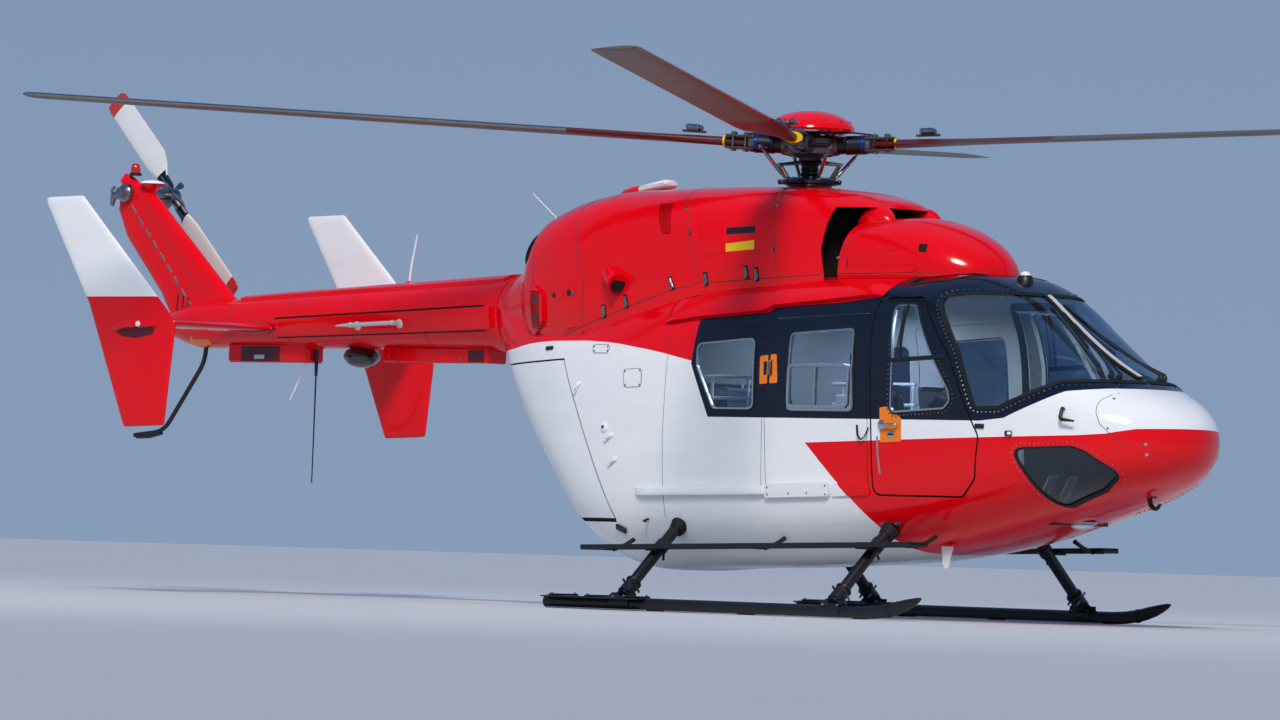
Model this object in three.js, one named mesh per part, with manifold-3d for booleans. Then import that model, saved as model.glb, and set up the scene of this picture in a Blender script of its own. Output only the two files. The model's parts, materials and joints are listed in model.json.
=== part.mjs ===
// A light twin-engine utility helicopter on skids, built in millimetres.
// +X is the nose, +Y the port side, +Z up. The ground is z = 0 and the rotor mast is at x = ROTOR_X.
// Tables and places below are measured from the mast, and one group carries them all to ROTOR_X.
import * as THREE from 'three';
import { mergeVertices } from 'three/addons/utils/BufferGeometryUtils.js';
import Module from 'manifold-3d';

const wasm = await Module();
wasm.setup();

// Driving dimensions
const ROTOR_X = 1188.3;
const SEAT_GAP = 0.3; // between pieces that touch
const DOOR_GAP = 12; // around each hinged door
const SILL_ROOM = 14; // more room under the clamshell doors, which sink a little as they swing
const WALL = 30; // cabin wall and doors
const COWL_WALL = 22;
const PANE_DEPTH = 10; // from the outer skin to a pane's face
const PANE = 8; // glass thickness
const ROOF_SEAM = 1900; // the shell's roof panel ends here, its belly panel and its nose panel at the next two
const BELLY_SEAM = 650;
const NOSE_SEAM = 2300;
const FLOOR_TOP = 640;
const FLOOR_REAR = -1000;
const FLOOR_FRONT = 2900;
const BOOM_WALL = 18;
const FIN_THICK = 90;
const EXHAUST = { y: 330, z: 2415, radius: 150, wall: 8, mouth: -2200, root: -1920, deep: 80 };
const ENGINES = { sizeX: 1000, sizeY: 900, sizeZ: 610, x: -1150, z: 2255 };
const SKIN_POINTS = 28; // points around a fuselage section
const REACH = 5000; // past the ends of the cabin

const ROTOR_RADIUS = 5500;
const BLADE_CHORD = 320;
const BLADE_AZIMUTH = 30;
const BLADE_CONING = 2.75;
const HUB_Z = 3120;
const CAP_TOP = 3360;
const HUB_HALF = 60; // half the height of the hub's disc
const MAST_RADIUS = 60;
const MAST_ROOM = 30; // around the mast where it leaves the cowling
const GEARBOX = { radius: 230, low: 2150, top: 2700 };
const CAP_HEIGHT = 140;

const TAIL_ROTOR = { x: -6510, y: 330, z: 2870, radius: 978, chord: 205, tilt: 45 };
const TAILPLANE = { x: -5115, z: 1885, half: 1278, chord: 560, thick: 62 };
const ENDPLATE_THICK = 40;
const SKID = { y: 1258, radius: 42, rear: -1100, bend: 1830, tip: 2180, tipRise: 92 };
const TUBE_STEPS = [110, 24, 8]; // rounding of a cross tube's bends, lengthwise steps and sides
const CROSS_TUBE = { radius: 38, atX: [1430, -410], neckY: 735, neckZ: 575 };
const BOARD = { inner: 882, outer: 1050, rear: -1010, front: 1890, z: 447, thick: 34, tilt: 1.6 };
// Boxes under the boom: length, width and height, then their middle along x and z
const EQUIPMENT = { rear: [790, 200, 140, -5045, 1720], front: [1030, 200, 110, -3360, 1710] };
const PAW = { rear: -1060, front: -190, half: 140, low: 72, high: 82 };

// Colours seen in daylight
const RED = 0xd3121a;
const WHITE = 0xeeeeec;
const BLACK = 0x15161a;
const GLASS = 0x2b3138;
const STEEL = 0x8b8d90;
const GREY = 0x5c5f63;
const BLADE_GREY = 0x6c655c;
const SEAT_BLUE = 0x2c3138;

// Cabin sections: [place along x, half width, top, height of the widest line, belly, squareness]
const CABIN = [
  [3385, 90, 1255, 1185, 1110, 2.2],
  [3320, 270, 1345, 1190, 1010, 2.3],
  [3180, 445, 1455, 1195, 905, 2.4],
  [2950, 600, 1560, 1200, 810, 2.6],
  [2650, 700, 1715, 1210, 712, 2.8],
  [2300, 765, 1960, 1220, 612, 3.0],
  [2060, 785, 2140, 1230, 548, 3.2],
  [1850, 792, 2235, 1240, 500, 3.5],
  [1300, 798, 2240, 1250, 405, 3.9],
  [400, 800, 2235, 1250, 335, 4.1],
  [-450, 785, 2200, 1250, 300, 4.0],
  [-1100, 735, 2100, 1280, 290, 3.5],
  [-1500, 670, 2060, 1360, 450, 3.1],
  [-1900, 560, 2090, 1520, 835, 2.8],
  [-2300, 410, 2180, 1760, 1290, 2.5],
  [-2600, 265, 2262, 2010, 1730, 2.1],
];

// Engine cowling and the fairing ahead of it, in the same columns
const COWLING = [
  [880, 330, 2700, 2400, 2000, 3.0],
  [700, 470, 2775, 2400, 1950, 3.2],
  [400, 560, 2825, 2380, 1900, 3.2],
  [-100, 605, 2845, 2360, 1800, 3.2],
  [-900, 640, 2842, 2320, 1600, 3.0],
  [-1500, 640, 2815, 2280, 1500, 2.9],
  [-1850, 588, 2740, 2260, 1570, 2.8],
  [-2060, 530, 2650, 2235, 1640, 2.7],
  [-2120, 500, 2580, 2200, 1660, 2.6],
  [-2230, 430, 2375, 2150, 1700, 2.5],
  [-2400, 355, 2310, 2070, 1760, 2.3],
  [-2560, 285, 2264, 2010, 1800, 2.2],
];
const FORWARD_FAIRING = [
  [1745, 60, 2290, 2200, 2150, 2.0],
  [1700, 180, 2360, 2220, 2130, 2.1],
  [1560, 320, 2480, 2240, 2120, 2.2],
  [1350, 415, 2575, 2260, 2110, 2.4],
  [1150, 450, 2625, 2280, 2100, 2.6],
  [880.3, 455, 2630, 2300, 2100, 2.8],
];

// Main rotor blade from tip to root: [radius, chord, thickness]
const BLADE = [
  [ROTOR_RADIUS, 250, 22],
  [ROTOR_RADIUS - 60, BLADE_CHORD, 32],
  [1150, BLADE_CHORD, 40],
  [780, 150, 52],
  [420.3, 112, 62],
];
// Tail rotor blade in the same columns
const TAIL_BLADE = [
  [TAIL_ROTOR.radius, 150, 12],
  [TAIL_ROTOR.radius - 40, TAIL_ROTOR.chord, 18],
  [330, TAIL_ROTOR.chord, 26],
  [190, 96, 36],
  [20, 90, 40],
];

// Tail boom sections run aft, round in section: [x, half width, top, middle, bottom, squareness]
const BOOM = [
  [-2600.3, 262, 2258, 2008, 1734, 2.1],
  [-3400, 232, 2215, 1993, 1745, 2.1],
  [-5300, 182, 2110, 1935, 1760, 2.1],
  [-5900, 150, 2070, 1925, 1775, 2.1],
  [-6120, 60, 1985, 1925, 1865, 2.0],
];

// Side-view outlines as [x, z]
const CREW_DOOR = [
  [1330, 800], [2040, 800], [2160, 920], [2195, 1190], [2085, 1375], [1925, 1700], [1610, 2085], [1250, 2080],
];
const CREW_WINDOW = [
  [1500, 1330], [1915, 1358], [1962, 1415], [1950, 1480], [1800, 1700], [1585, 2040], [1400, 2040], [1455, 1690], [1458, 1370],
];
const SLIDING_DOOR = [[405, 800], [1290, 800], [1240, 1980], [340, 1940]];
const SLIDING_WINDOW = [[570, 1335], [1150, 1335], [1120, 1885], [570, 1850]];
const AFT_WINDOW = [[-90, 1340], [280, 1340], [270, 1820], [-260, 1780], [-250, 1620]];
const CLAMSHELL = [[-1035, 600], [-1610, 1670], [-3000, 1610], [-3000, -885], [-1560, 600]];
const WINDSHIELD = [
  [2150, 1365], [2340, 1370], [2550, 1470], [2710, 1550], [3200, 1580],
  [3200, 2135], [2090, 2135], [1710, 2100], [1980, 1740],
];
const CHIN_WINDOW = [[2440, 1120], [2860, 1140], [2940, 1110], [3110, 970], [2950, 860], [2640, 740], [2540, 940]];
const FIN = [[-5440, 2090], [-6110, 1960], [-6240, 2150], [-6640, 2560], [-6790, 2930], [-6640, 3030], [-6360, 2880]];
const ENDPLATE = [[-4720, 1890], [-5710, 2780], [-6100, 2770], [-5600, 2010], [-5210, 1150], [-4810, 1165]];
// Plan outline of a roof window as [x, distance from the middle]
const ROOF_WINDOW = [[1380, 250], [1830, 250], [1700, 520], [1380, 570]];

// Door hinges on the starboard side: the pin line from its lower to its upper end, and where the hinges sit on it
const CREW_HINGE = { low: [2206, -790, 600], high: [2206, -790, 1400], at: [390, 600], deep: 52 };
const CLAMSHELL_HINGE = { low: [-1045, -760, 600], high: [-1600, -675, 1660], at: [390, 880], deep: 38 };
const HINGE = { radius: 12, length: 44, reach: 56, foot: 18, proud: 8, thick: 12 };

const model = new THREE.Group();
const heli = new THREE.Group();
heli.position.x = ROTOR_X;
model.add(heli);

function finish(color, roughness = 0.4, metalness = 0) {
  return new THREE.MeshStandardMaterial({ color, roughness, metalness });
}

function piece(name, geometry, material) {
  const mesh = new THREE.Mesh(geometry, material);
  mesh.name = name;
  heli.add(mesh);
  return mesh;
}

// A starboard solid and its mirror image on the port side
function pair(name, body, material) {
  piece(`${name}_starboard`, surface(body), material);
  piece(`${name}_port`, surface(mirrored(body)), material);
}

// A closed geometry as a solid that can be joined and cut
function solid(geometry) {
  const bare = geometry.clone();
  bare.deleteAttribute('normal');
  bare.deleteAttribute('uv');
  const merged = mergeVertices(bare, 1e-3);
  return new wasm.Manifold(new wasm.Mesh({
    numProp: 3,
    vertProperties: Float32Array.from(merged.attributes.position.array),
    triVerts: Uint32Array.from(merged.index.array),
  }));
}

function surface(body) {
  const mesh = body.getMesh();
  const geometry = new THREE.BufferGeometry();
  geometry.setAttribute('position', new THREE.BufferAttribute(mesh.vertProperties, 3));
  geometry.setIndex(new THREE.BufferAttribute(mesh.triVerts, 1));
  return geometry;
}

// The same solid on the other side of the middle plane
function mirrored(body) {
  const geometry = surface(body);
  geometry.scale(1, -1, 1);
  const index = geometry.index.array;
  for (let k = 0; k < index.length; k += 3) {
    [index[k], index[k + 1]] = [index[k + 1], index[k]];
  }
  return solid(geometry);
}

// One section of a body: a superellipse whose upper and lower halves differ in height
function section([at, half, top, waist, belly, square], count, inset = 0) {
  const points = [];
  for (let k = 0; k < count; k += 1) {
    const turn = (2 * Math.PI * k) / count;
    const across = Math.sign(Math.cos(turn)) * Math.abs(Math.cos(turn)) ** (2 / square);
    const up = Math.sign(Math.sin(turn)) * Math.abs(Math.sin(turn)) ** (2 / square);
    const rise = up > 0 ? top - waist : waist - belly;
    points.push([at, across * (half - inset), waist + up * (rise - inset)]);
  }
  return points;
}

// A closed skin over rings of equal count; the rings run from front to back.
// Each four-cornered face is split the same way on both sides of the middle plane.
function loft(rings) {
  const count = rings[0].length;
  const positions = rings.flat(2);
  const faces = [];
  for (let ring = 0; ring + 1 < rings.length; ring += 1) {
    for (let k = 0; k < count; k += 1) {
      const a = ring * count + k;
      const b = ring * count + ((k + 1) % count);
      const starboard = k >= count / 4 && k < (3 * count) / 4;
      if (starboard) {
        faces.push(a, a + count, b, b, a + count, b + count);
      } else {
        faces.push(a, b + count, b, a, a + count, b + count);
      }
    }
  }
  for (const end of [0, rings.length - 1]) {
    const centre = positions.length / 3;
    for (let axis = 0; axis < 3; axis += 1) {
      positions.push(rings[end].reduce((sum, point) => sum + point[axis], 0) / count);
    }
    for (let k = 0; k < count; k += 1) {
      const a = end * count + k;
      const b = end * count + ((k + 1) % count);
      if (end === 0) {
        faces.push(centre, a, b);
      } else {
        faces.push(centre, b, a);
      }
    }
  }
  const geometry = new THREE.BufferGeometry();
  geometry.setAttribute('position', new THREE.Float32BufferAttribute(positions, 3));
  geometry.setIndex(faces);
  return geometry;
}

function sectionSolid(table, inset = 0, count = SKIN_POINTS) {
  return solid(loft(table.map((row) => section(row, count, inset))));
}

function outlineShape(outline) {
  return new THREE.Shape(outline.map(([a, b]) => new THREE.Vector2(a, b)));
}

// A side-view outline carried across the body from y = low to y = high
function sidePrism(outline, low, high) {
  const geometry = new THREE.ExtrudeGeometry(outlineShape(outline), { depth: high - low, bevelEnabled: false });
  return geometry.rotateX(Math.PI / 2).translate(0, high, 0);
}

function planPrism(outline, low, high) {
  const geometry = new THREE.ExtrudeGeometry(outlineShape(outline), { depth: high - low, bevelEnabled: false });
  return geometry.translate(0, 0, low);
}

// An outline with every edge moved inwards by a distance, or outwards if it is negative
function inset(outline, by) {
  const area = outline.reduce((sum, [x, z], k) => {
    const [nextX, nextZ] = outline[(k + 1) % outline.length];
    return sum + x * nextZ - nextX * z;
  }, 0);
  const side = Math.sign(area) * by;
  const edges = outline.map(([x, z], k) => {
    const [nextX, nextZ] = outline[(k + 1) % outline.length];
    const length = Math.hypot(nextX - x, nextZ - z);
    const along = [(nextX - x) / length, (nextZ - z) / length];
    return { along, from: [x - along[1] * side, z + along[0] * side] };
  });
  return edges.map((edge, k) => {
    const before = edges[(k + edges.length - 1) % edges.length];
    const cross = before.along[0] * edge.along[1] - before.along[1] * edge.along[0];
    const dx = edge.from[0] - before.from[0];
    const dz = edge.from[1] - before.from[1];
    const reach = (dx * edge.along[1] - dz * edge.along[0]) / cross;
    return [before.from[0] + before.along[0] * reach, before.from[1] + before.along[1] * reach];
  });
}

function box(sizeX, sizeY, sizeZ, x, y, z) {
  return new THREE.BoxGeometry(sizeX, sizeY, sizeZ).translate(x, y, z);
}

// A cylinder whose axis is vertical, from z = low to z = high
function post(radius, low, high, x = 0, y = 0, sides = 24) {
  const geometry = new THREE.CylinderGeometry(radius, radius, high - low, sides);
  return geometry.rotateX(Math.PI / 2).translate(x, y, (low + high) / 2);
}

// A round bar through [x, y, z] points, its corners rounded off over a distance
function bar(points, radius, round = 120, steps = 24, sides = 12) {
  const corners = points.map((point) => new THREE.Vector3(...point));
  const path = new THREE.CurvePath();
  let from = corners[0];
  for (let k = 1; k + 1 < corners.length; k += 1) {
    const before = corners[k].clone().sub(corners[k - 1]).setLength(round);
    const after = corners[k + 1].clone().sub(corners[k]).setLength(round);
    const enter = corners[k].clone().sub(before);
    const leave = corners[k].clone().add(after);
    path.add(new THREE.LineCurve3(from, enter));
    path.add(new THREE.QuadraticBezierCurve3(enter, corners[k], leave));
    from = leave;
  }
  path.add(new THREE.LineCurve3(from, corners[corners.length - 1]));
  const ring = new THREE.Shape(Array.from({ length: sides }, (_, k) => {
    const turn = (2 * Math.PI * k) / sides;
    return new THREE.Vector2(radius * Math.cos(turn), radius * Math.sin(turn));
  }));
  return new THREE.ExtrudeGeometry(ring, { steps, extrudePath: path, bevelEnabled: false });
}

function tubeAlongX(radius, low, high, y, z, sides = 24) {
  const geometry = new THREE.CylinderGeometry(radius, radius, high - low, sides);
  return geometry.rotateZ(Math.PI / 2).translate((low + high) / 2, y, z);
}

function tubeAlongY(radius, low, high, x, z, sides = 24) {
  return new THREE.CylinderGeometry(radius, radius, high - low, sides).translate(x, (low + high) / 2, z);
}

// One wing section, chord along y with its leading edge ahead, thickness along z
function bladeSection([out, chord, thick], count = 16) {
  const points = [];
  for (let k = 0; k < count; k += 1) {
    const turn = (2 * Math.PI * k) / count;
    const back = (1 - Math.cos(turn)) / 2;
    const half = 5 * (thick / chord) * (0.2969 * Math.sqrt(back) - 0.126 * back - 0.3516 * back ** 2
      + 0.2843 * back ** 3 - 0.1036 * back ** 4);
    points.push([out, chord * (0.25 - back), chord * Math.sign(Math.sin(turn)) * half]);
  }
  return points;
}

// One half of each hinge on a pin line: a knuckle on the pin, a leaf outside the skin and its root in the skin.
// The fixed halves reach forward and sit above the moving halves, which reach aft.
function hingeHalves({ low, high, at, deep }, moving) {
  const foot = new THREE.Vector3(...low);
  const up = new THREE.Vector3(...high).sub(foot).normalize();
  const forward = new THREE.Vector3(0, 1, 0).cross(up).normalize();
  const inward = up.clone().cross(forward);
  const turn = new THREE.Matrix4().makeBasis(forward, inward, up);
  const { radius, length, reach, foot: sole, proud, thick } = HINGE;
  const halves = at.map((along) => {
    const start = moving ? along - length : along + SEAT_GAP;
    const knuckle = post(radius, start, start + length, 0, 0, 8);
    const side = moving ? -1 : 1;
    const middle = start + length / 2;
    const leaf = box(reach, thick, length, (side * reach) / 2, thick / 2 - proud, middle);
    const root = box(sole, proud + deep, length, side * (reach - sole / 2), (deep - proud) / 2, middle);
    const place = (geometry) => solid(geometry.applyMatrix4(turn).translate(foot.x, foot.y, foot.z));
    return place(knuckle).add(place(leaf)).add(place(root));
  });
  return halves.reduce((sum, half) => sum.add(half));
}

// Cabin skin, with its doors and windows cut out of the same wall
function buildCabin(clearOfTubes) {
  const outer = sectionSolid(CABIN);
  const wall = outer.subtract(sectionSolid(CABIN.slice(1, -1), WALL));
  const paneZone = sectionSolid(CABIN, PANE_DEPTH).subtract(sectionSolid(CABIN, PANE_DEPTH + PANE));
  const sideCut = (outline, by = 0, near = 60) => solid(sidePrism(inset(outline, by), -900, -near));
  const roofCut = (by = 0) => mirrored(solid(planPrism(inset(ROOF_WINDOW, by), 2000, 2400)));

  const openings = [
    sideCut(CREW_DOOR, -DOOR_GAP / 2),
    sideCut(SLIDING_DOOR, -SEAT_GAP),
    sideCut(AFT_WINDOW),
    sideCut(WINDSHIELD, 0, 25),
    sideCut(CHIN_WINDOW, 0, 150),
    sideCut(CLAMSHELL, -DOOR_GAP / 2, -1),
    sideCut(CLAMSHELL.map(([x, z]) => [x, z < 1000 ? z - SILL_ROOM : z]), -DOOR_GAP / 2, -1),
    roofCut(),
  ];
  let shell = wall;
  for (const opening of openings) {
    shell = shell.subtract(opening).subtract(mirrored(opening));
  }
  shell = shell.subtract(clearOfTubes);
  for (const pins of [CREW_HINGE, CLAMSHELL_HINGE]) {
    const halves = hingeHalves(pins, false);
    shell = shell.add(halves).add(mirrored(halves));
  }
  const near = SEAT_GAP / 2;
  const panels = {
    cabin_roof: [-REACH, REACH, -REACH, REACH, ROOF_SEAM + near, REACH],
    cabin_belly: [-REACH, REACH, -REACH, REACH, 0, BELLY_SEAM - near],
    cabin_nose: [NOSE_SEAM + near, REACH, -REACH, REACH, BELLY_SEAM + near, ROOF_SEAM - near],
    cabin_side_starboard: [-REACH, NOSE_SEAM - near, -REACH, -near, BELLY_SEAM + near, ROOF_SEAM - near],
    cabin_side_port: [-REACH, NOSE_SEAM - near, near, REACH, BELLY_SEAM + near, ROOF_SEAM - near],
  };
  for (const [name, [fromX, toX, fromY, toY, fromZ, toZ]] of Object.entries(panels)) {
    const room = box(toX - fromX, toY - fromY, toZ - fromZ, (fromX + toX) / 2, (fromY + toY) / 2, (fromZ + toZ) / 2);
    piece(name, surface(shell.intersect(solid(room))), finish(WHITE));
  }

  const panes = {
    windshield: sideCut(WINDSHIELD, SEAT_GAP, 25 + SEAT_GAP),
    chin_window: sideCut(CHIN_WINDOW, SEAT_GAP, 150 + SEAT_GAP),
    aft_window: sideCut(AFT_WINDOW, SEAT_GAP),
    sliding_door_window: sideCut(SLIDING_WINDOW, SEAT_GAP),
    crew_door_window: sideCut(CREW_WINDOW, SEAT_GAP),
    roof_window: roofCut(SEAT_GAP),
  };
  for (const [name, cut] of Object.entries(panes)) {
    pair(name, paneZone.intersect(cut), finish(GLASS, 0.08));
  }
  const doors = {
    crew_door: wall.intersect(sideCut(CREW_DOOR, DOOR_GAP / 2)).subtract(sideCut(CREW_WINDOW))
      .add(hingeHalves(CREW_HINGE, true)),
    sliding_door: wall.intersect(sideCut(SLIDING_DOOR)).subtract(sideCut(SLIDING_WINDOW)),
    clamshell_door: wall.intersect(sideCut(CLAMSHELL, DOOR_GAP / 2, DOOR_GAP / 2))
      .add(hingeHalves(CLAMSHELL_HINGE, true)),
  };
  for (const [name, body] of Object.entries(doors)) {
    pair(name, body, finish(WHITE));
  }
  const inside = sectionSolid(CABIN.slice(1, -1), WALL + SEAT_GAP);
  const under = box(FLOOR_FRONT - FLOOR_REAR, 1600, 500, (FLOOR_FRONT + FLOOR_REAR) / 2, 0, FLOOR_TOP - 250);
  const floor = inside.intersect(solid(under)).subtract(clearOfTubes);
  piece('cabin_floor', surface(floor), finish(GREY, 0.7));
}

// What stands on the cabin floor, and the deck equipment on the roof
function buildInside() {
  const seatProfile = [[0, 0], [420, 0], [470, 330], [60, 270], [-90, 900], [-190, 880], [-60, 260]];
  for (const [name, x, low, high] of [
    ['pilot_seat', 1120, -560, -120],
    ['copilot_seat', 1120, 120, 560],
    ['cabin_bench', -520, -620, 620],
  ]) {
    const outline = seatProfile.map(([along, up]) => [x + along, FLOOR_TOP + SEAT_GAP + up]);
    piece(name, sidePrism(outline, low, high), finish(SEAT_BLUE, 0.8));
  }
  const panel = [[2080, 0], [2430, 0], [2500, 420], [2560, 640], [2260, 740], [2200, 400], [2060, 330]];
  const panelOutline = panel.map(([x, up]) => [x, FLOOR_TOP + SEAT_GAP + up]);
  const inside = sectionSolid(CABIN.slice(1, -1), WALL + SEAT_GAP);
  const console = solid(sidePrism(panelOutline, -290, 290)).intersect(inside);
  piece('instrument_panel', surface(console), finish(BLACK, 0.8));
}

// The two cowlings sit on the roof, over the engines and the main gearbox
function buildCowlings() {
  const clearOfCabin = sectionSolid(CABIN.map(([x, half, top, ...rest]) => (
    [x, half + SEAT_GAP, top + SEAT_GAP, ...rest]
  )));
  // The space under a cowling: its front and rear walls move in, and its bottom is open
  const under = (table, frontWall, rearWall) => {
    const rows = table.map((row) => [...row.slice(0, 4), row[4] - 300, row[5]]);
    rows[0][0] -= frontWall;
    rows[rows.length - 1][0] += rearWall;
    return sectionSolid(rows, COWL_WALL);
  };
  const mastHole = solid(post(MAST_RADIUS + MAST_ROOM, GEARBOX.low, HUB_Z));
  let cowl = sectionSolid(COWLING).subtract(under(COWLING, COWL_WALL, COWL_WALL));
  cowl = cowl.subtract(clearOfCabin).subtract(mastHole);
  const { y: exhaustY, z: exhaustZ, radius: pipe, wall: pipeWall, mouth, root, deep } = EXHAUST;
  for (const y of [-exhaustY, exhaustY]) {
    cowl = cowl.subtract(solid(tubeAlongX(pipe + SEAT_GAP, mouth - pipe, root, y, exhaustZ)));
  }
  piece('engine_cowling', surface(cowl), finish(RED));
  const fairing = sectionSolid(FORWARD_FAIRING).subtract(under(FORWARD_FAIRING, COWL_WALL * 2, -50));
  piece('forward_cowling', surface(fairing.subtract(clearOfCabin)), finish(RED));

  const { sizeX, sizeY, sizeZ, x: enginesX, z: enginesZ } = ENGINES;
  const engines = solid(box(sizeX, sizeY, sizeZ, enginesX, 0, enginesZ)).subtract(clearOfCabin);
  piece('engine_block', surface(engines), finish(STEEL, 0.5, 0.8));
  const gearbox = solid(post(GEARBOX.radius, GEARBOX.low, GEARBOX.top)).subtract(clearOfCabin);
  piece('main_gearbox', surface(gearbox), finish(STEEL, 0.5, 0.8));
  const tube = solid(tubeAlongX(pipe, mouth, root, -exhaustY, exhaustZ));
  const bore = solid(tubeAlongX(pipe - pipeWall, mouth - 1, mouth + deep, -exhaustY, exhaustZ));
  pair('exhaust', tube.subtract(bore), finish(BLACK, 0.6));
}

// The boom, its fin and tailplane
function buildTail() {
  const skin = sectionSolid(BOOM, 0, 32);
  const hollow = sectionSolid([[-2500, ...BOOM[0].slice(1)], ...BOOM.slice(0, 4)], BOOM_WALL, 32);
  piece('tail_boom', surface(skin.subtract(hollow)), finish(RED));
  const clearOfBoom = sectionSolid(BOOM.map(([x, half, top, waist, bottom, square]) => (
    [x - SEAT_GAP, half + SEAT_GAP, top + SEAT_GAP, waist, bottom - SEAT_GAP, square]
  )), 0, 32);
  const fin = solid(sidePrism(FIN, -FIN_THICK / 2, FIN_THICK / 2));
  piece('tail_fin', surface(fin.subtract(clearOfBoom)), finish(RED));

  const { x, z, half, chord, thick } = TAILPLANE;
  const rib = Array.from({ length: 16 }, (_, k) => {
    const turn = (2 * Math.PI * k) / 16;
    return [x + (chord / 2) * Math.cos(turn), z + (thick / 2) * Math.sin(turn)];
  });
  pair('stabilizer', solid(sidePrism(rib, -half, -60)).subtract(clearOfBoom), finish(RED));
  const plate = sidePrism(ENDPLATE, -half - SEAT_GAP - ENDPLATE_THICK, -half - SEAT_GAP);
  pair('endplate', solid(plate), finish(WHITE));

  const { x: tailX, z: tailZ } = TAIL_ROTOR;
  piece('tail_gearbox', tubeAlongY(85, FIN_THICK / 2 + SEAT_GAP, 200, tailX, tailZ), finish(STEEL, 0.5, 0.8));
  const stay = bar([[-5760, 0, 1850], [-5770, 0, 1660], [-6180, 0, 1150], [-6480, 0, 1118]], 17, 60, 16, 8);
  piece('tail_bumper', surface(solid(stay).subtract(clearOfBoom)), finish(BLACK));
  for (const [end, [length, width, height, boxX, boxZ]] of Object.entries(EQUIPMENT)) {
    const hung = solid(box(length, width, height, boxX, 0, boxZ)).subtract(clearOfBoom);
    piece(`${end}_equipment_box`, surface(hung), finish(RED));
  }
}

// Four blades on a rigid hub, turning about the mast
function buildMainRotor() {
  const rise = THREE.MathUtils.degToRad(BLADE_CONING);
  let hub = solid(post(MAST_RADIUS, GEARBOX.top + SEAT_GAP, HUB_Z));
  hub = hub.add(solid(post(165, HUB_Z - HUB_HALF, HUB_Z + HUB_HALF)));
  hub = hub.add(solid(post(190, 2872, 2900)));
  for (let k = 0; k < 4; k += 1) {
    const turn = THREE.MathUtils.degToRad(BLADE_AZIMUTH + 90 * k);
    const place = (geometry) => geometry.rotateY(-rise).rotateZ(turn).translate(0, 0, HUB_Z);
    hub = hub.add(solid(place(tubeAlongX(52, 40, 420, 0, 0, 16))));
    const blade = loft(BLADE.map((row) => bladeSection(row)));
    piece(`rotor_blade_${k + 1}`, place(blade), finish(BLADE_GREY, 0.6));
  }
  piece('rotor_hub', surface(hub), finish(STEEL, 0.4, 0.9));
  const rim = [[0, 0], [295, 0], [295, 16], [272, 56], [215, 96], [125, 128], [0, CAP_HEIGHT]];
  const cap = new THREE.LatheGeometry(rim.map(([r, h]) => new THREE.Vector2(r, h)), 32).rotateX(Math.PI / 2);
  piece('rotor_cap', cap.translate(0, 0, CAP_TOP - CAP_HEIGHT), finish(RED));
  const stem = post(90, HUB_Z + HUB_HALF + SEAT_GAP, CAP_TOP - CAP_HEIGHT - SEAT_GAP, 0, 0, 20);
  piece('cap_mount', stem, finish(STEEL, 0.4, 0.9));
}

function buildTailRotor() {
  const { x, y, z, tilt } = TAIL_ROTOR;
  let rotor = solid(tubeAlongY(70, y - 45, y + 60, 0, 0)).add(solid(tubeAlongY(28, 200 + SEAT_GAP, y, 0, 0)));
  for (const turn of [180 + tilt, tilt]) {
    const blade = loft(TAIL_BLADE.map((row) => bladeSection(row)));
    const angle = THREE.MathUtils.degToRad(turn);
    rotor = rotor.add(solid(blade.rotateX(Math.PI / 2).rotateY(angle).translate(0, y, 0)));
  }
  piece('tail_rotor', surface(rotor.translate(x, 0, z)), finish(WHITE, 0.5));
}

function crossTubePath(x) {
  const { neckY, neckZ, radius } = CROSS_TUBE;
  const foot = 2 * SKID.radius + SEAT_GAP + radius * 0.4;
  return [[x, -SKID.y, foot], [x, -neckY, neckZ], [x, neckY, neckZ], [x, SKID.y, foot]];
}

// Two skid tubes, the arched tubes that carry the cabin on them, and a step board along each side
function buildLandingGear(clearOfTubes) {
  const { y, radius, rear, bend, tip, tipRise } = SKID;
  const runner = solid(bar([[rear, -y, radius], [bend, -y, radius], [tip, -y, radius + tipRise]], radius, 160, 16, 10));
  const paw = solid(box(PAW.front - PAW.rear, 2 * PAW.half, PAW.high - PAW.low,
    (PAW.front + PAW.rear) / 2, -y, (PAW.high + PAW.low) / 2));
  pair('skid', runner.add(paw).subtract(clearOfTubes), finish(BLACK, 0.5));
  CROSS_TUBE.atX.forEach((x, k) => {
    const tube = bar(crossTubePath(x), CROSS_TUBE.radius, ...TUBE_STEPS);
    piece(`${['front', 'rear'][k]}_cross_tube`, tube, finish(BLACK, 0.5));
  });
  const { inner, outer, rear: back, front, thick, tilt } = BOARD;
  const board = box(front - back, outer - inner, thick, 0, 0, 0).rotateY(-THREE.MathUtils.degToRad(tilt));
  board.translate((front + back) / 2, -(inner + outer) / 2, BOARD.z);
  pair('step_board', solid(board).subtract(clearOfTubes), finish(BLACK, 0.5));
}

const tubeSpace = CROSS_TUBE.atX
  .map((x) => solid(bar(crossTubePath(x), CROSS_TUBE.radius + SEAT_GAP, ...TUBE_STEPS)))
  .reduce((sum, tube) => sum.add(tube));
buildCabin(tubeSpace);
buildInside();
buildCowlings();
buildTail();
buildMainRotor();
buildTailRotor();
buildLandingGear(tubeSpace);

export default model;
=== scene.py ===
# %% [markdown]
# # A light twin-engine helicopter on skids
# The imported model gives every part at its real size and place. This notebook gives them their looks: smooth
# skins over the faceted ones, real glass, paint, rivets, seams and the many small fittings that a
# helicopter wears outside.

# %% The frame and the libraries
import json
import math
import random

import bmesh
import bpy
import numpy as np
from mathutils import Matrix, Vector
from mathutils.bvhtree import BVHTree

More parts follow.
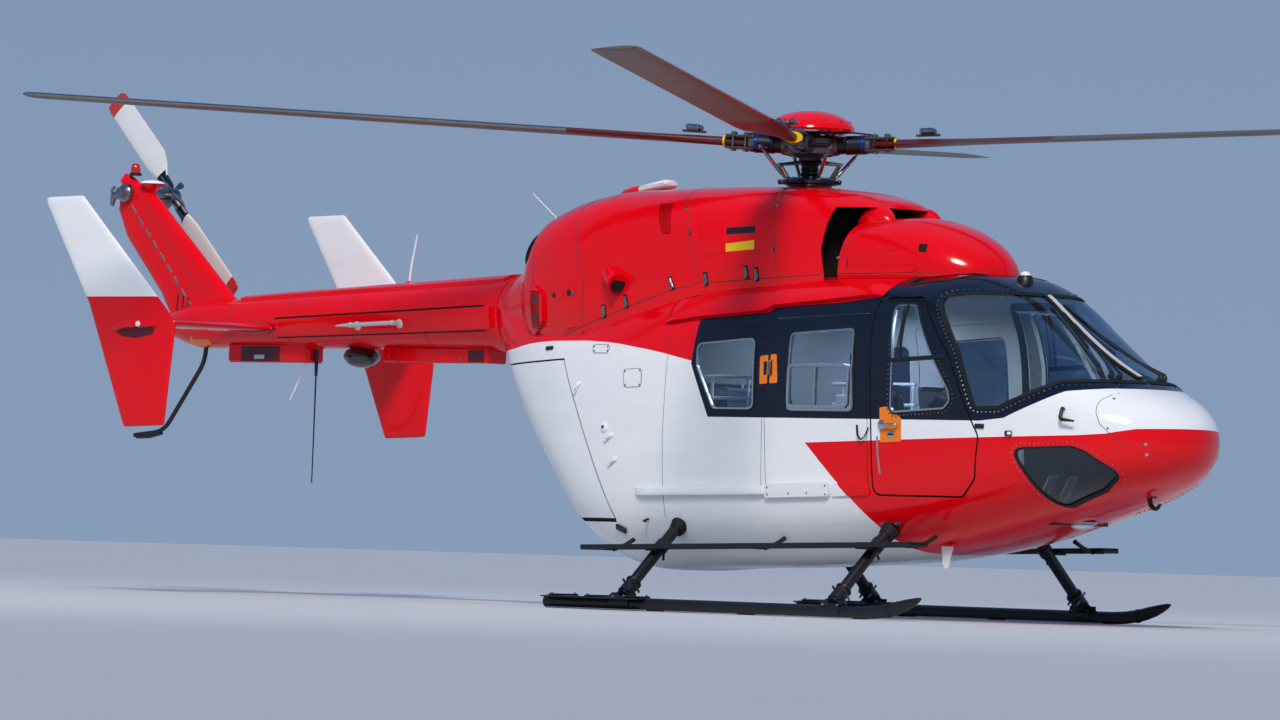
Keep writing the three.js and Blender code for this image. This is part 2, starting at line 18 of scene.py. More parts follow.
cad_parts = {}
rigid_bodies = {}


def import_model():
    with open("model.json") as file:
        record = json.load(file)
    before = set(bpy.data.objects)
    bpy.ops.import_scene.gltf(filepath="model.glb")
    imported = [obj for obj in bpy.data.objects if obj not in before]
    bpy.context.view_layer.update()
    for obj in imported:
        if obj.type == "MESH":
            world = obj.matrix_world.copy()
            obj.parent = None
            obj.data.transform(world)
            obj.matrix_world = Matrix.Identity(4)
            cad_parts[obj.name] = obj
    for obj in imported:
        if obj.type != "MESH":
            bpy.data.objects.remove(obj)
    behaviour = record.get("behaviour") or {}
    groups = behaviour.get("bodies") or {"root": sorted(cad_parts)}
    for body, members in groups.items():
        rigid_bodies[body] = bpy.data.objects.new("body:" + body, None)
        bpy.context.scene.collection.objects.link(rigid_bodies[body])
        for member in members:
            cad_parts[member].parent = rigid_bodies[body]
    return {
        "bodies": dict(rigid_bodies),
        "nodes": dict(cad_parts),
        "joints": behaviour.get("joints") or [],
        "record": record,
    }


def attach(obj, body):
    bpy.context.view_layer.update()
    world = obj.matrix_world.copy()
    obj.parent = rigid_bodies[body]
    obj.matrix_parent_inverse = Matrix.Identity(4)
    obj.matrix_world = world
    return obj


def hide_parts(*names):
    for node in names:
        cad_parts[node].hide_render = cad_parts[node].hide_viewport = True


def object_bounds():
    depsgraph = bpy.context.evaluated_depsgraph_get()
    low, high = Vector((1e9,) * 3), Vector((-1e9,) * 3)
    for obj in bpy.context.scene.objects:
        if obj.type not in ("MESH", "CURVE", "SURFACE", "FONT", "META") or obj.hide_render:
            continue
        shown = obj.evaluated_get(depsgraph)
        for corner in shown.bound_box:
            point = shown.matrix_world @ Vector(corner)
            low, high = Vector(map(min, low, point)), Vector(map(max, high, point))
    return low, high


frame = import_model()
cad_low, cad_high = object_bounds()
random.seed(7)
hubs = {joint["name"]: Vector(joint["pos_m"]) for joint in frame["joints"]}
MAST_X = hubs["main_rotor_turn"].x
SIDES = {"starboard": -1, "port": 1}
print(f"{len(frame['nodes'])} nodes, mast at x = {MAST_X:.3f} m")

# %% [markdown]
# ## The camera
# A long lens from far off, a little below the rotor and rolled by under two degrees, as the photographer
# held it. Points in this notebook are measured from the mast, along x, and every piece is moved by MAST_X
# when it is made.

# %% Camera
AZIMUTH, ELEVATION, ROLL = (math.radians(angle) for angle in (42.97, -1.45, 1.75))
STAND_OFF = 50.0
LENS_MM = 206.7

aim = Vector((MAST_X - 1.495, 0, 1.689))
toward_camera = Vector((
    math.sin(AZIMUTH) * math.cos(ELEVATION), -math.cos(AZIMUTH) * math.cos(ELEVATION), math.sin(ELEVATION),
))
level = (-toward_camera).cross(Vector((0, 0, 1))).normalized()
rise = level.cross(-toward_camera)
right = level * math.cos(ROLL) + rise * math.sin(ROLL)
up = rise * math.cos(ROLL) - level * math.sin(ROLL)
camera = bpy.data.objects.new("camera", bpy.data.cameras.new("camera"))
turned_to_aim = Matrix((right, up, toward_camera)).transposed().to_4x4()
camera.matrix_world = Matrix.Translation(aim + toward_camera * STAND_OFF) @ turned_to_aim
camera.data.lens = LENS_MM
camera.data.clip_end = 500
bpy.context.scene.collection.objects.link(camera)
bpy.context.scene.camera = camera
print("camera at", [round(value, 2) for value in camera.location])

# %% [markdown]
# ## Finishes
# Each material is named for what the real one is. One function adds a node with its settings and links, and
# colours are written as sRGB hex and turned linear once.

# %% Material helpers
MATH = "ShaderNodeMath"


def linear(hex_colour):
    """An sRGB hex colour as linear red, green, blue and full alpha."""
    channels = [int(hex_colour[k:k + 2], 16) / 255 for k in (1, 3, 5)]
    return [c / 12.92 if c <= 0.04045 else ((c + 0.055) / 1.055) ** 2.4 for c in channels] + [1]


def add(tree, kind, inputs=None, **settings):
    """Adds one node. inputs sets or links its sockets by name or number; settings are its own properties."""
    node = tree.nodes.new(kind)
    for key, value in settings.items():
        setattr(node, key, value)
    for key, value in (inputs or {}).items():
        if isinstance(value, bpy.types.NodeSocket):
            tree.links.new(value, node.inputs[key])
        else:
            node.inputs[key].default_value = value
    return node


def new_finish(
    name, colour, rough, metal=0.0, grain=None, bump=None, coat=0.0, uneven=0.12, sheen=0.0, **more
):
    """A material whose colour and roughness vary a little over the surface.
    grain is the size of that variation in metres, and bump is (size in metres, depth in metres)."""
    material = bpy.data.materials.new(name)
    material.use_nodes = True
    tree = material.node_tree
    tree.nodes.clear()
    place = add(tree, "ShaderNodeTexCoord").outputs["Object"]
    surface = add(tree, "ShaderNodeBsdfPrincipled", {"Metallic": metal, "Roughness": rough, **more})
    surface.inputs["Coat Weight"].default_value = coat
    surface.inputs["Coat Roughness"].default_value = 0.05
    surface.inputs["Sheen Weight"].default_value = sheen
    add(tree, "ShaderNodeOutputMaterial", {"Surface": surface.outputs[0]})
    noise = add(tree, "ShaderNodeTexNoise", {"Vector": place, "Scale": 1 / (grain or 0.4), "Detail": 4.0})
    base = colour if isinstance(colour, bpy.types.NodeSocket) else None
    if base is None:
        darker = [c * (1 - uneven) for c in linear(colour)[:3]] + [1]
        mix = add(
            tree, "ShaderNodeMix", {"Factor": noise.outputs[0], "A": darker, "B": linear(colour)},
            data_type="RGBA"
        )
        tree.links.new(mix.outputs["Result"], surface.inputs["Base Color"])
    span = add(tree, "ShaderNodeMapRange", {
        "Value": noise.outputs[0], "To Min": rough * 0.8, "To Max": min(1, rough * 1.25),
    })
    tree.links.new(span.outputs[0], surface.inputs["Roughness"])
    if bump:
        size, depth = bump
        wave = add(tree, "ShaderNodeTexNoise", {"Vector": place, "Scale": 1 / size, "Detail": 2.0})
        lift = add(tree, "ShaderNodeBump", {"Height": wave.outputs[0], "Distance": depth})
        tree.links.new(lift.outputs[0], surface.inputs["Normal"])
    return material


print("mid grey in linear light is", round(linear("#808080")[0], 3))

# %% [markdown]
# ### Paint
# The skin is riveted aluminium under two-pack gloss paint: a clear, hard gloss over sheet that is never
# quite flat, so reflections wander a little. The colour scheme is worked out from the place on the body, by
# lines drawn along x.

# %% Lines and colours of the paint scheme
RED, WHITE, NAVY = "#e60010", "#eceef0", "#10182a"
WHITE_TOP = [
    (-2.7, 1.70), (-2.34, 1.74), (-1.77, 1.795), (-1.28, 1.79), (-0.85, 1.75), (-0.3, 1.66), (0.0, 1.6)
]
BAND_REAR = [(1.29, -0.13), (1.64, -0.30), (1.91, -0.27), (2.2, -0.25)]
BAND_LOW = [(-0.5, 1.29), (2.2, 1.29), (2.38, 1.31), (2.6, 1.41), (2.76, 1.49), (2.95, 1.515), (3.4, 1.54)]
EAVE = [
    (-0.55, 1.90), (-0.3, 1.935), (0.34, 1.985), (0.37, 2.012), (0.94, 2.05), (1.26, 2.088), (1.31, 2.30),
    (1.9, 2.4)
]
LOWER_RED = [(0.7, 1.13), (2.36, 1.19), (2.88, 1.21), (3.05, 1.225), (3.2, 1.26), (3.45, 1.275)]
SLANT = [(0.2, 1.66), (0.61, 1.31), (1.13, 0.74), (1.4, 0.44)]
ENDPLATE_WHITE_FROM = 2.065
drawn = (WHITE_TOP, BAND_REAR, BAND_LOW, EAVE, LOWER_RED, SLANT)
print(sum(len(line) for line in drawn), "points drawn")

# %% [markdown]
# A sprayer masks each edge with tape, which lies straight or in a gentle curve between a few points. A
# float curve does the same in a material: it gives the edge's height at any place along the body, and one
# comparison for each edge says on which side of the tape a point is. A painted image would do it too, but
# would blur seen from close by.

# %% Masked edges, worked out from the place on the body
def follow(tree, value, points, handles="VECTOR"):
    """The height of a drawn line at a value: points are (value, height), joined straight or smoothly."""
    (first, last), heights = (points[0][0], points[-1][0]), [height for _, height in points]
    low, high = min(heights), max(heights)
    share = add(tree, "ShaderNodeMapRange", {"Value": value, "From Min": first, "From Max": last})
    line = add(tree, "ShaderNodeFloatCurve", {"Value": share.outputs[0]})
    curve = line.mapping.curves[0]
    for k, (along, height) in enumerate(points):
        spot = ((along - first) / (last - first), (height - low) / (high - low))
        if k == 0:
            point = curve.points[0]
        elif k == len(points) - 1:
            point = curve.points[1]
        else:
            point = curve.points.new(*spot)
        point.handle_type = handles
    curve.points[0].location = (0, (heights[0] - low) / (high - low))
    curve.points[len(points) - 1].location = (1, (heights[-1] - low) / (high - low))
    line.mapping.update()
    return add(
        tree, "ShaderNodeMapRange", {"Value": line.outputs[0], "To Min": low, "To Max": high}
    ).outputs[0]


def where(tree, *pairs):
    """One where every pair's first value is over its second, and zero elsewhere."""
    share = 1.0
    for value, limit in pairs:
        higher = add(tree, MATH, {0: value, 1: limit}, operation="GREATER_THAN").outputs[0]
        share = add(tree, MATH, {0: share, 1: higher}, operation="MULTIPLY").outputs[0]
    return share


def body_place(tree):
    """The place on the body as separate x, y and z, with x measured from the mast."""
    place = add(tree, "ShaderNodeTexCoord").outputs["Object"]
    moved = add(tree, "ShaderNodeMapping", {"Vector": place, "Location": (-MAST_X, 0, 0)})
    parts = add(tree, "ShaderNodeSeparateXYZ", {"Vector": moved.outputs[0]}).outputs
    return parts[0], parts[1], parts[2]


print("an edge can be straight or curved between its points")

# %% Gloss paint
PAINT_ROUGH = 0.16
SHEET_WAVE = (0.55, 0.004)
GRIME_COLOUR, GRIME_MOST = "#4a3a34", 0.07


def gloss_paint(name, scheme):
    """Gloss paint over sheet metal. scheme(tree) gives the colour socket, or is one colour.
    It gives the eye long, slightly bent reflections, and a thin brown haze that ran down with the rain."""
    specular = {"Specular IOR Level": 0.2}
    material = new_finish(name, WHITE, PAINT_ROUGH, coat=0.25, bump=SHEET_WAVE, grain=0.3, **specular)
    tree = material.node_tree
    surface = next(node for node in tree.nodes if node.type == "BSDF_PRINCIPLED")
    place = add(tree, "ShaderNodeTexCoord").outputs["Object"]
    colour = scheme(tree) if callable(scheme) else add(tree, "ShaderNodeRGB").outputs[0]
    if not callable(scheme):
        colour.default_value = linear(scheme)
    streak = add(tree, "ShaderNodeMapping", {"Vector": place, "Scale": (0.6, 0.6, 2.5)}).outputs[0]
    grime = add(
        tree, "ShaderNodeTexNoise", {"Vector": streak, "Scale": 2.2, "Detail": 6.0, "Roughness": 0.65}
    )
    range_of = {"Value": grime.outputs[0], "From Min": 0.45, "From Max": 0.8, "To Max": GRIME_MOST}
    share = add(tree, "ShaderNodeMapRange", range_of)
    colours = {"Factor": share.outputs[0], "A": colour, "B": linear(GRIME_COLOUR)}
    worn = add(tree, "ShaderNodeMix", colours, data_type="RGBA")
    tree.links.new(worn.outputs["Result"], surface.inputs["Base Color"])
    return material


def cabin_scheme(tree):
    """White, with red above and at the lower front, and a dark blue band through the windows."""
    x, _, z = body_place(tree)
    layers = [
        (RED, [(z, follow(tree, x, WHITE_TOP, "AUTO"))]),
        (RED, [(follow(tree, x, LOWER_RED), z), (x, follow(tree, z, SLANT))]),
        (NAVY, [(z, follow(tree, x, BAND_LOW)), (follow(tree, x, EAVE), z), (x, follow(tree, z, BAND_REAR))]),
    ]
    colour = linear(WHITE)
    for paint, limits in layers:
        inside = where(tree, *limits)
        mix = add(
            tree, "ShaderNodeMix", {"Factor": inside, "A": colour, "B": linear(paint)}, data_type="RGBA"
        )
        colour = mix.outputs["Result"]
    return colour


def endplate_scheme(tree):
    """Red, with a white upper part."""
    _, _, z = body_place(tree)
    mix = {"Factor": where(tree, (z, ENDPLATE_WHITE_FROM)), "A": linear(RED), "B": linear(WHITE)}
    return add(tree, "ShaderNodeMix", mix, data_type="RGBA").outputs["Result"]


cabin_paint = gloss_paint("gloss_paint_cabin_scheme", cabin_scheme)
red_paint = gloss_paint("gloss_paint_red", RED)
white_paint = gloss_paint("gloss_paint_white", WHITE)
endplate_paint = gloss_paint("gloss_paint_endplate_scheme", endplate_scheme)
print("paints:", [material.name for material in (cabin_paint, red_paint, white_paint, endplate_paint)])

# %% [markdown]
# ### The other finishes
# Acrylic glazing lets the lamps through and mirrors more at a slant. The rest is what lies outside on such
# a machine: powder-coated steel tube, cast and machined hub parts, soot-black exhaust pipes, rubber seals
# and moulded trim.

# %% Glazing
def glazing(name, tint):
    """A thin acrylic pane: clear seen straight on, a mirror at a slant."""
    material = bpy.data.materials.new(name)
    material.use_nodes = True
    tree = material.node_tree
    tree.nodes.clear()
    slant = add(tree, "ShaderNodeLayerWeight", {"Blend": 0.5}).outputs["Facing"]
    steep = add(tree, MATH, {0: slant, 1: 3.2}, operation="POWER").outputs[0]
    mirror = add(tree, "ShaderNodeMapRange", {"Value": steep, "To Min": 0.05, "To Max": 0.9}).outputs[0]
    clear = add(tree, "ShaderNodeBsdfTransparent", {"Color": linear(tint)}).outputs[0]
    gloss = add(tree, "ShaderNodeBsdfGlossy", {"Color": linear("#dfe8f2"), "Roughness": 0.0}).outputs[0]
    both_ways = add(tree, "ShaderNodeMixShader", {0: mirror, 1: clear, 2: gloss})
    add(tree, "ShaderNodeOutputMaterial", {"Surface": both_ways.outputs[0]})
    return material


# Sheet acrylic lets the cabin show through, greyer than air, and shows the sky where it curves away
screen_glass = glazing("acrylic_windscreen", "#c6d2da")
# The same acrylic with a grey-blue tint, so the cabin behind it is darker
cabin_glass = glazing("acrylic_cabin_window_tinted", "#b2bfcd")
# Moulded lamp cover: white and wet, with one sharp highlight
lamp_glass = new_finish("clear_lamp_glass", "#dfe6ea", 0.05, coat=1.0, uneven=0.05)
print("panes and lamp covers are clear")

# %% Coated steel, rubber, tape and sealant
# Powder coat has a fine orange peel, which breaks highlights into soft patches
black_coat = new_finish(
    "powder_coated_steel_black", "#15171b", 0.42, grain=0.08, bump=(0.02, 0.0006), uneven=0.35
)
# Extruded rubber is dull and nearly black, so a seal reads as a line of shadow
rubber = new_finish("rubber_seal_black", "#0b0c0e", 0.75, grain=0.05, bump=(0.006, 0.0004))
# Sharp grit in resin has no gloss at all; its grains are drawn at 3 mm, coarser than real ones, so that
# they show
grit_tape = new_finish("grit_tread_tape", "#1b1b1d", 0.95, grain=0.01, bump=(0.003, 0.0012), uneven=0.4)
# Sealant pressed into a seam: a matt, brownish thread
seam_filler = new_finish("seam_sealant_dark", "#3a3437", 0.8, grain=0.05)
# Matt vinyl film: flat black with a faint sheen
black_film = new_finish("matt_black_film", "#0e0e12", 0.5, grain=0.1)
# Dyed vinyl films that a rescuer finds at once: even, clean colour with little gloss
orange_mark = new_finish("signal_orange_film", "#f5820a", 0.4, grain=0.1, uneven=0.05)
yellow_mark = new_finish("signal_yellow_film", "#f2c200", 0.4, grain=0.1, uneven=0.05)
# Flat near-black, painted inside openings, slots and grooves as their shade, so an opening looks deep
shade_black = new_finish("painted_shade_black", "#0a0a0b", 0.95, grain=0.2)
print("tape grains are 3 mm, the powder coat's peel 20 mm")

# %% Bare and treated metal
# Machined steel: fine tool marks spread its highlights a little
steel = new_finish("machined_steel", "#8f959c", 0.32, metal=1.0, grain=0.05, bump=(0.01, 0.0003), uneven=0.3)
# Chemically blued steel mirrors as steel does, only much darker
dark_steel = new_finish("blued_steel_dark", "#3c4048", 0.36, metal=1.0, grain=0.05, uneven=0.3)
# Rolled, polished aluminium: pale, with soft streaks of light along its length
bright_metal = new_finish("polished_aluminium_trim", "#c9ccd0", 0.25, metal=1.0, grain=0.08, uneven=0.12)
# Forged titanium, shot-peened: warm grey with a pebbled, half-dull surface
titanium = new_finish(
    "forged_titanium", "#6f6a66", 0.45, metal=0.9, grain=0.06, bump=(0.02, 0.0008), uneven=0.35
)
# Hot stainless steel under soot: brown-black in clouds, with metal showing through
soot = new_finish("exhaust_pipe_sooted", "#2a2523", 0.62, metal=0.7, grain=0.12, uneven=0.6)
# Anodised aluminium keeps its metal glint under a clear blue
hydraulic_blue = new_finish("anodised_blue", "#27488c", 0.35, metal=0.9, grain=0.05)
print("metals keep the shader's own index of refraction")

# %% Cabin trim and rotor blades
# Moulded plastic with a fine leather grain: mid grey and dull
trim_grey = new_finish("cabin_lining_grey", "#6a6f75", 0.8, grain=0.2, bump=(0.008, 0.0002), uneven=0.15)
# Napped cloth over foam: pale, with no highlight
headliner = new_finish("cabin_lining_pale", "#c3c6c9", 0.85, grain=0.2, bump=(0.012, 0.0002), uneven=0.08)
# Woven wool: deep blue-grey, lighter at the edges where its fibres catch the light
seat_cloth = new_finish("seat_cloth_blue_grey", "#1c2431", 0.95, grain=0.01, bump=(0.004, 0.0012), sheen=0.4)
# Painted glass fibre, dulled by dust and rain: the weave still waves the surface a little
blade_skin = new_finish(
    "glass_fibre_blade_grey", "#5d554c", 0.5, grain=0.35, bump=(0.02, 0.0005), uneven=0.25
)
# The same laminate in an old, dark red enamel at the root
blade_root = new_finish("glass_fibre_blade_dark_red", "#5a1712", 0.45, grain=0.2, uneven=0.25)
# Electroformed nickel, scoured bright by sand: a thin line of light along the blade
erosion_strip = new_finish("nickel_edge_strip", "#9a9894", 0.3, metal=1.0, grain=0.1, uneven=0.25)
# Fresh two-pack enamel on the tail rotor: clean bands of white and red, glossier than the main blades
tail_blade_white = new_finish("glass_fibre_blade_white", "#dfe1e3", 0.35, grain=0.2, coat=0.3)
tail_blade_red = new_finish("glass_fibre_blade_red", "#c2302c", 0.35, grain=0.2, coat=0.3)

# %% [markdown]
# ## The shape of the body
# The fuselage is drawn as a few cross-sections, as a lofting floor does it. Each section is a superellipse:
# its squareness says how far the corners fill out. A smooth line carries every number from one section to
# the next, so the skin has no facets. The same drawing, lifted or sunk by some millimetres, gives walls,
# panes, frames and seals.

# %% Sections of the fuselage, from front to back
# place along x, half width, top, height of the widest line, belly, squareness
CABIN = [
    (3.394, 0.006, 1.189, 1.185, 1.181, 2.2), (3.378, 0.115, 1.27, 1.186, 1.10, 2.2),
    (3.32, 0.27, 1.345, 1.19, 1.01, 2.3), (3.18, 0.445, 1.455, 1.195, 0.905, 2.4),
    (2.95, 0.60, 1.56, 1.20, 0.81, 2.6), (2.65, 0.70, 1.715, 1.21, 0.712, 2.8),
    (2.30, 0.765, 1.96, 1.22, 0.612, 3.0), (2.06, 0.785, 2.14, 1.23, 0.548, 3.2),
    (1.85, 0.792, 2.235, 1.24, 0.50, 3.5), (1.30, 0.798, 2.24, 1.25, 0.405, 3.9),
    (0.40, 0.80, 2.235, 1.25, 0.335, 4.1), (-0.45, 0.785, 2.20, 1.25, 0.30, 4.0),
    (-1.10, 0.735, 2.10, 1.28, 0.29, 3.5), (-1.50, 0.67, 2.06, 1.36, 0.45, 3.1),
    (-1.90, 0.56, 2.09, 1.52, 0.835, 2.8), (-2.30, 0.41, 2.18, 1.76, 1.29, 2.5),
    (-2.60, 0.265, 2.262, 2.01, 1.73, 2.1)
]
COWLING = [
    (0.90, 0.30, 2.67, 2.40, 2.00, 2.8), (0.88, 0.33, 2.70, 2.40, 2.00, 3.0),
    (0.70, 0.47, 2.775, 2.40, 1.95, 3.2), (0.40, 0.56, 2.825, 2.38, 1.90, 3.2),
    (-0.10, 0.605, 2.845, 2.36, 1.80, 3.2), (-0.90, 0.64, 2.842, 2.32, 1.60, 3.0),
    (-1.50, 0.64, 2.815, 2.28, 1.50, 2.9), (-1.85, 0.588, 2.74, 2.26, 1.57, 2.8),
    (-2.06, 0.53, 2.65, 2.235, 1.64, 2.7), (-2.12, 0.50, 2.58, 2.20, 1.66, 2.6),
    (-2.23, 0.43, 2.375, 2.15, 1.70, 2.5), (-2.40, 0.355, 2.31, 2.07, 1.76, 2.3),
    (-2.60, 0.255, 2.245, 2.00, 1.80, 2.1)
]
FAIRING = [
    (1.75, 0.03, 2.25, 2.20, 2.15, 2.0), (1.735, 0.09, 2.30, 2.20, 2.14, 2.0),
    (1.70, 0.18, 2.36, 2.22, 2.13, 2.1), (1.56, 0.32, 2.48, 2.24, 2.12, 2.2),
    (1.35, 0.415, 2.575, 2.26, 2.11, 2.4), (1.15, 0.45, 2.625, 2.28, 2.10, 2.6),
    (0.88, 0.462, 2.63, 2.30, 2.10, 2.8), (0.50, 0.475, 2.64, 2.30, 2.10, 2.9)
]
BOOM = [
    (-2.60, 0.262, 2.258, 2.008, 1.734, 2.1), (-3.40, 0.232, 2.215, 1.993, 1.745, 2.1),
    (-5.30, 0.182, 2.11, 1.935, 1.76, 2.1), (-5.90, 0.15, 2.07, 1.925, 1.775, 2.1),
    (-6.08, 0.09, 2.01, 1.925, 1.84, 2.0), (-6.12, 0.03, 1.95, 1.925, 1.90, 2.0)
]
WALL = 0.030
print(sum(len(table) for table in (CABIN, COWLING, FAIRING, BOOM)), "sections drawn")

# %% [markdown]
# A lofting batten bends evenly through its pins. Here a cubic curve through the drawn sections does that
# for all six numbers at once. A subdivision surface over a coarse cage would be smooth too, but its skin
# would not pass through the drawn sections, and the height of the skin at a place could not be asked for,
# which every fitting needs.

# %% A smooth skin through the sections
def smooth_rows(table, step):
    """Sections on one smooth line through the drawn ones, about a step apart."""
    rows = np.array(table)
    gaps = np.linalg.norm(np.diff(rows[:, :5], axis=0), axis=1)
    knots = np.concatenate([[0], np.cumsum(gaps)])
    slopes = np.gradient(rows, knots, axis=0)
    spans = [np.linspace(a, b, math.ceil((b - a) / step), endpoint=False) for a, b in zip(knots, knots[1:])]
    places = np.concatenate(spans + [[knots[-1]]])
    k = np.clip(np.searchsorted(knots, places, side="right") - 1, 0, len(gaps) - 1)
    gap = gaps[k][:, None]
    t = (places[:, None] - knots[k][:, None]) / gap
    start, end = rows[k], rows[k + 1]
    return ((2 * t**3 - 3 * t**2 + 1) * start + (t**3 - 2 * t**2 + t) * gap * slopes[k]
            + (3 * t**2 - 2 * t**3) * end + (t**3 - t**2) * gap * slopes[k + 1])


def section_ring(row, count, lift):
    """The corners of one section, all round the body."""
    x, half, top, waist, belly, square = row
    turn = np.arange(count) * 2 * math.pi / count
    across, upward = np.cos(turn), np.sin(turn)
    reach = (np.abs(across) ** square + np.abs(upward) ** square) ** (-1 / square)
    rise = np.where(upward > 0, top - waist, waist - belly) + lift
    return np.stack(
        [np.full(count, x), (half + lift) * across * reach, waist + rise * upward * reach], axis=1
    )


def join_rings(rings, closed_ends=True):
    """One closed skin over rings of equal count that run from front to back."""
    count = len(rings[0])
    faces = []
    for start in range(0, (len(rings) - 1) * count, count):
        for k in range(count):
            near, after = start + k, start + (k + 1) % count
            faces.append((near, near + count, after + count, after))
    if closed_ends:
        last = (len(rings) - 1) * count
        faces += [tuple(range(count)), tuple(range(last + count - 1, last - 1, -1))]
    return np.concatenate(rings), faces


def body_skin(table, lift=0.0, span=None, count=144, step=0.035):
    """The whole skin, or the stretch of it in a span of x, lifted or sunk by a depth."""
    rows = smooth_rows(table, step)
    if span:
        low, high = span
        inside = rows[(rows[:, 0] > low) & (rows[:, 0] < high)]
        ends = [at(table, min(high, rows[0, 0])), at(table, max(low, rows[-1, 0]))]
        rows = np.concatenate([[ends[0]], inside, [ends[1]]])
    return join_rings([section_ring(row, count, lift) for row in rows if row[1] + lift > 0.001])


def at(table, x):
    """The section at a place along x."""
    rows = smooth_rows(table, 0.02)[::-1]
    return np.array([np.interp(x, rows[:, 0], rows[:, column]) for column in range(6)])


def side_y(table, x, z, lift=0.0):
    """How far the skin stands from the middle plane at x and z."""
    _, half, top, waist, belly, square = at(table, x)
    rise = (top - waist if z > waist else waist - belly) + lift
    return (half + lift) * max(0.0, 1 - (abs(z - waist) / rise) ** square) ** (1 / square)


def top_z(table, x, y):
    """How high the skin's upper half stands at x and y."""
    _, half, top, waist, _, square = at(table, x)
    return waist + (top - waist) * max(0.0, 1 - (abs(y) / half) ** square) ** (1 / square)


print("widest cabin section is", round(2 * max(row[1] for row in smooth_rows(CABIN, 0.05)), 3), "m")

# %% [markdown]
# ## Cutting and joining
# The panels of a riveted skin are cut from one sheet, so their edges run on across a seam. The same is done
# here: a panel is the skin between two depths, cut to the outline that is seen from the side, with the
# corners rounded. The Manifold solver of the Boolean modifier does this exactly and fast, as long as every
# shape is closed.

# %% Objects while they are worked on
def rough(verts, faces):
    """A bare object, in the scene only while it is being worked on."""
    mesh = bpy.data.meshes.new("work")
    mesh.from_pydata([tuple(v) for v in verts], [], faces)
    item = bpy.data.objects.new("work", mesh)
    bpy.context.scene.collection.objects.link(item)
    return item


def applied(item):
    """The object with its modifiers worked into its mesh."""
    result = bpy.data.meshes.new_from_object(item.evaluated_get(bpy.context.evaluated_depsgraph_get()))
    item.modifiers.clear()
    spent, item.data = item.data, result
    bpy.data.meshes.remove(spent)
    return item


def discard(item):
    """Takes a work object and its mesh away."""
    mesh = item.data
    bpy.data.objects.remove(item)
    bpy.data.meshes.remove(mesh)


def cut(item, tool, operation="DIFFERENCE"):
    """Cuts a closed object with another closed one, which is used up."""
    item.modifiers.new("cut", "BOOLEAN")
    item.modifiers[0].solver = "MANIFOLD"
    item.modifiers[0].operation = operation
    item.modifiers[0].object = tool
    applied(item)
    discard(tool)
    return item


def mirrored(item):
    """A copy on the other side of the middle plane, facing outwards."""
    mesh = item.data.copy()
    mesh.transform(Matrix.Scale(-1, 4, (0, 1, 0)))
    mesh.flip_normals()
    other = bpy.data.objects.new("work", mesh)
    bpy.context.scene.collection.objects.link(other)
    return other


print("work objects are mirrored and cut, then named")

# %% [markdown]
# A panel is marked out flat, its corners are rounded against cracks, and the opening for it is cut a little
# larger. A Bevel modifier could round the corners and a scale could make the opening, but both would change
# the width from place to place. Moving every edge by the same distance keeps the gap even.

# %% Outlines, prisms and panels
SIDE_REACH, ROOF_REACH = -1.2, (1.9, 3.2)


def rounded(outline, radius, steps=6):
    """An outline with its corners turned into arcs, each as wide as its two edges allow."""
    points = []
    for k, corner in enumerate(outline):
        corner = Vector(corner)
        back, on = Vector(outline[k - 1]) - corner, Vector(outline[(k + 1) % len(outline)]) - corner
        half_angle = back.angle(on) / 2
        trim = min(radius / math.tan(half_angle), 0.45 * back.length, 0.45 * on.length)
        enter, leave = corner + back.normalized() * trim, corner + on.normalized() * trim
        for share in np.linspace(0, 1, steps + 1):
            points.append(enter * (1 - share) ** 2 + corner * 2 * share * (1 - share) + leave * share**2)
    return [tuple(point) for point in points]


def grown(outline, by):
    """An outline with every edge moved outwards, or inwards if the distance is negative."""
    points = [Vector(point) for point in outline]
    pairs = list(zip(points, points[1:] + points[:1]))
    turning = math.copysign(1, sum(a.x * b.y - b.x * a.y for a, b in pairs))
    edges = [
        (a + Vector((b.y - a.y, a.x - b.x)).normalized() * by * turning, (b - a).normalized())
        for a, b in pairs
    ]
    corners = []
    for (before, way), (after, onward) in zip(edges[-1:] + edges[:-1], edges):
        bend = way.x * onward.y - way.y * onward.x
        if abs(bend) < 1e-4:
            corners.append(tuple(after))
        else:
            gap = after - before
            corners.append(tuple(before + way * (gap.x * onward.y - gap.y * onward.x) / bend))
    return corners


def prism(outline, low, high, axis="y"):
    """A solid with one outline throughout: seen from the side for axis y, or from above for axis z."""
    place = {
        "y": lambda a, b, c: (a, c, b), "z": lambda a, b, c: (a, b, c), "x": lambda a, b, c: (c, a, b)
    }[axis]
    count = len(outline)
    verts = [place(a, b, height) for height in (low, high) for a, b in outline]
    faces = [tuple(range(count)), tuple(range(2 * count - 1, count - 1, -1))]
    faces += [((k + 1) % count, k, k + count, (k + 1) % count + count) for k in range(count)]
    item = rough(verts, faces)
    outward(item)
    return item


def outward(item):
    """Turns every face of a closed mesh outwards."""
    work = bmesh.new()
    work.from_mesh(item.data)
    bmesh.ops.recalc_face_normals(work, faces=work.faces)
    work.to_mesh(item.data)
    work.free()
    return item


def panel(table, outline, top, bottom, near=0.0, axis="y", holes=(), count=144, step=0.035):
    """The skin between two depths, cut to an outline on the starboard side, or above for axis z.
    near is how far the panel stays from the middle plane."""
    along = [point[0] for point in outline]
    span = (min(along) - 0.05, max(along) + 0.05)
    wall = rough(*body_skin(table, top, span, count, step))
    cut(wall, rough(*body_skin(table, bottom, (span[0] - 0.05, span[1] + 0.05), count, step)))
    ends = (SIDE_REACH, -near) if axis == "y" else ROOF_REACH
    cut(wall, prism(outline, *ends, axis), "INTERSECT")
    for hole in holes:
        cut(wall, prism(hole, *ends, axis))
    return wall


def both_sides(item):
    """The object and its mirror image, by side."""
    return {"starboard": item, "port": mirrored(item)}


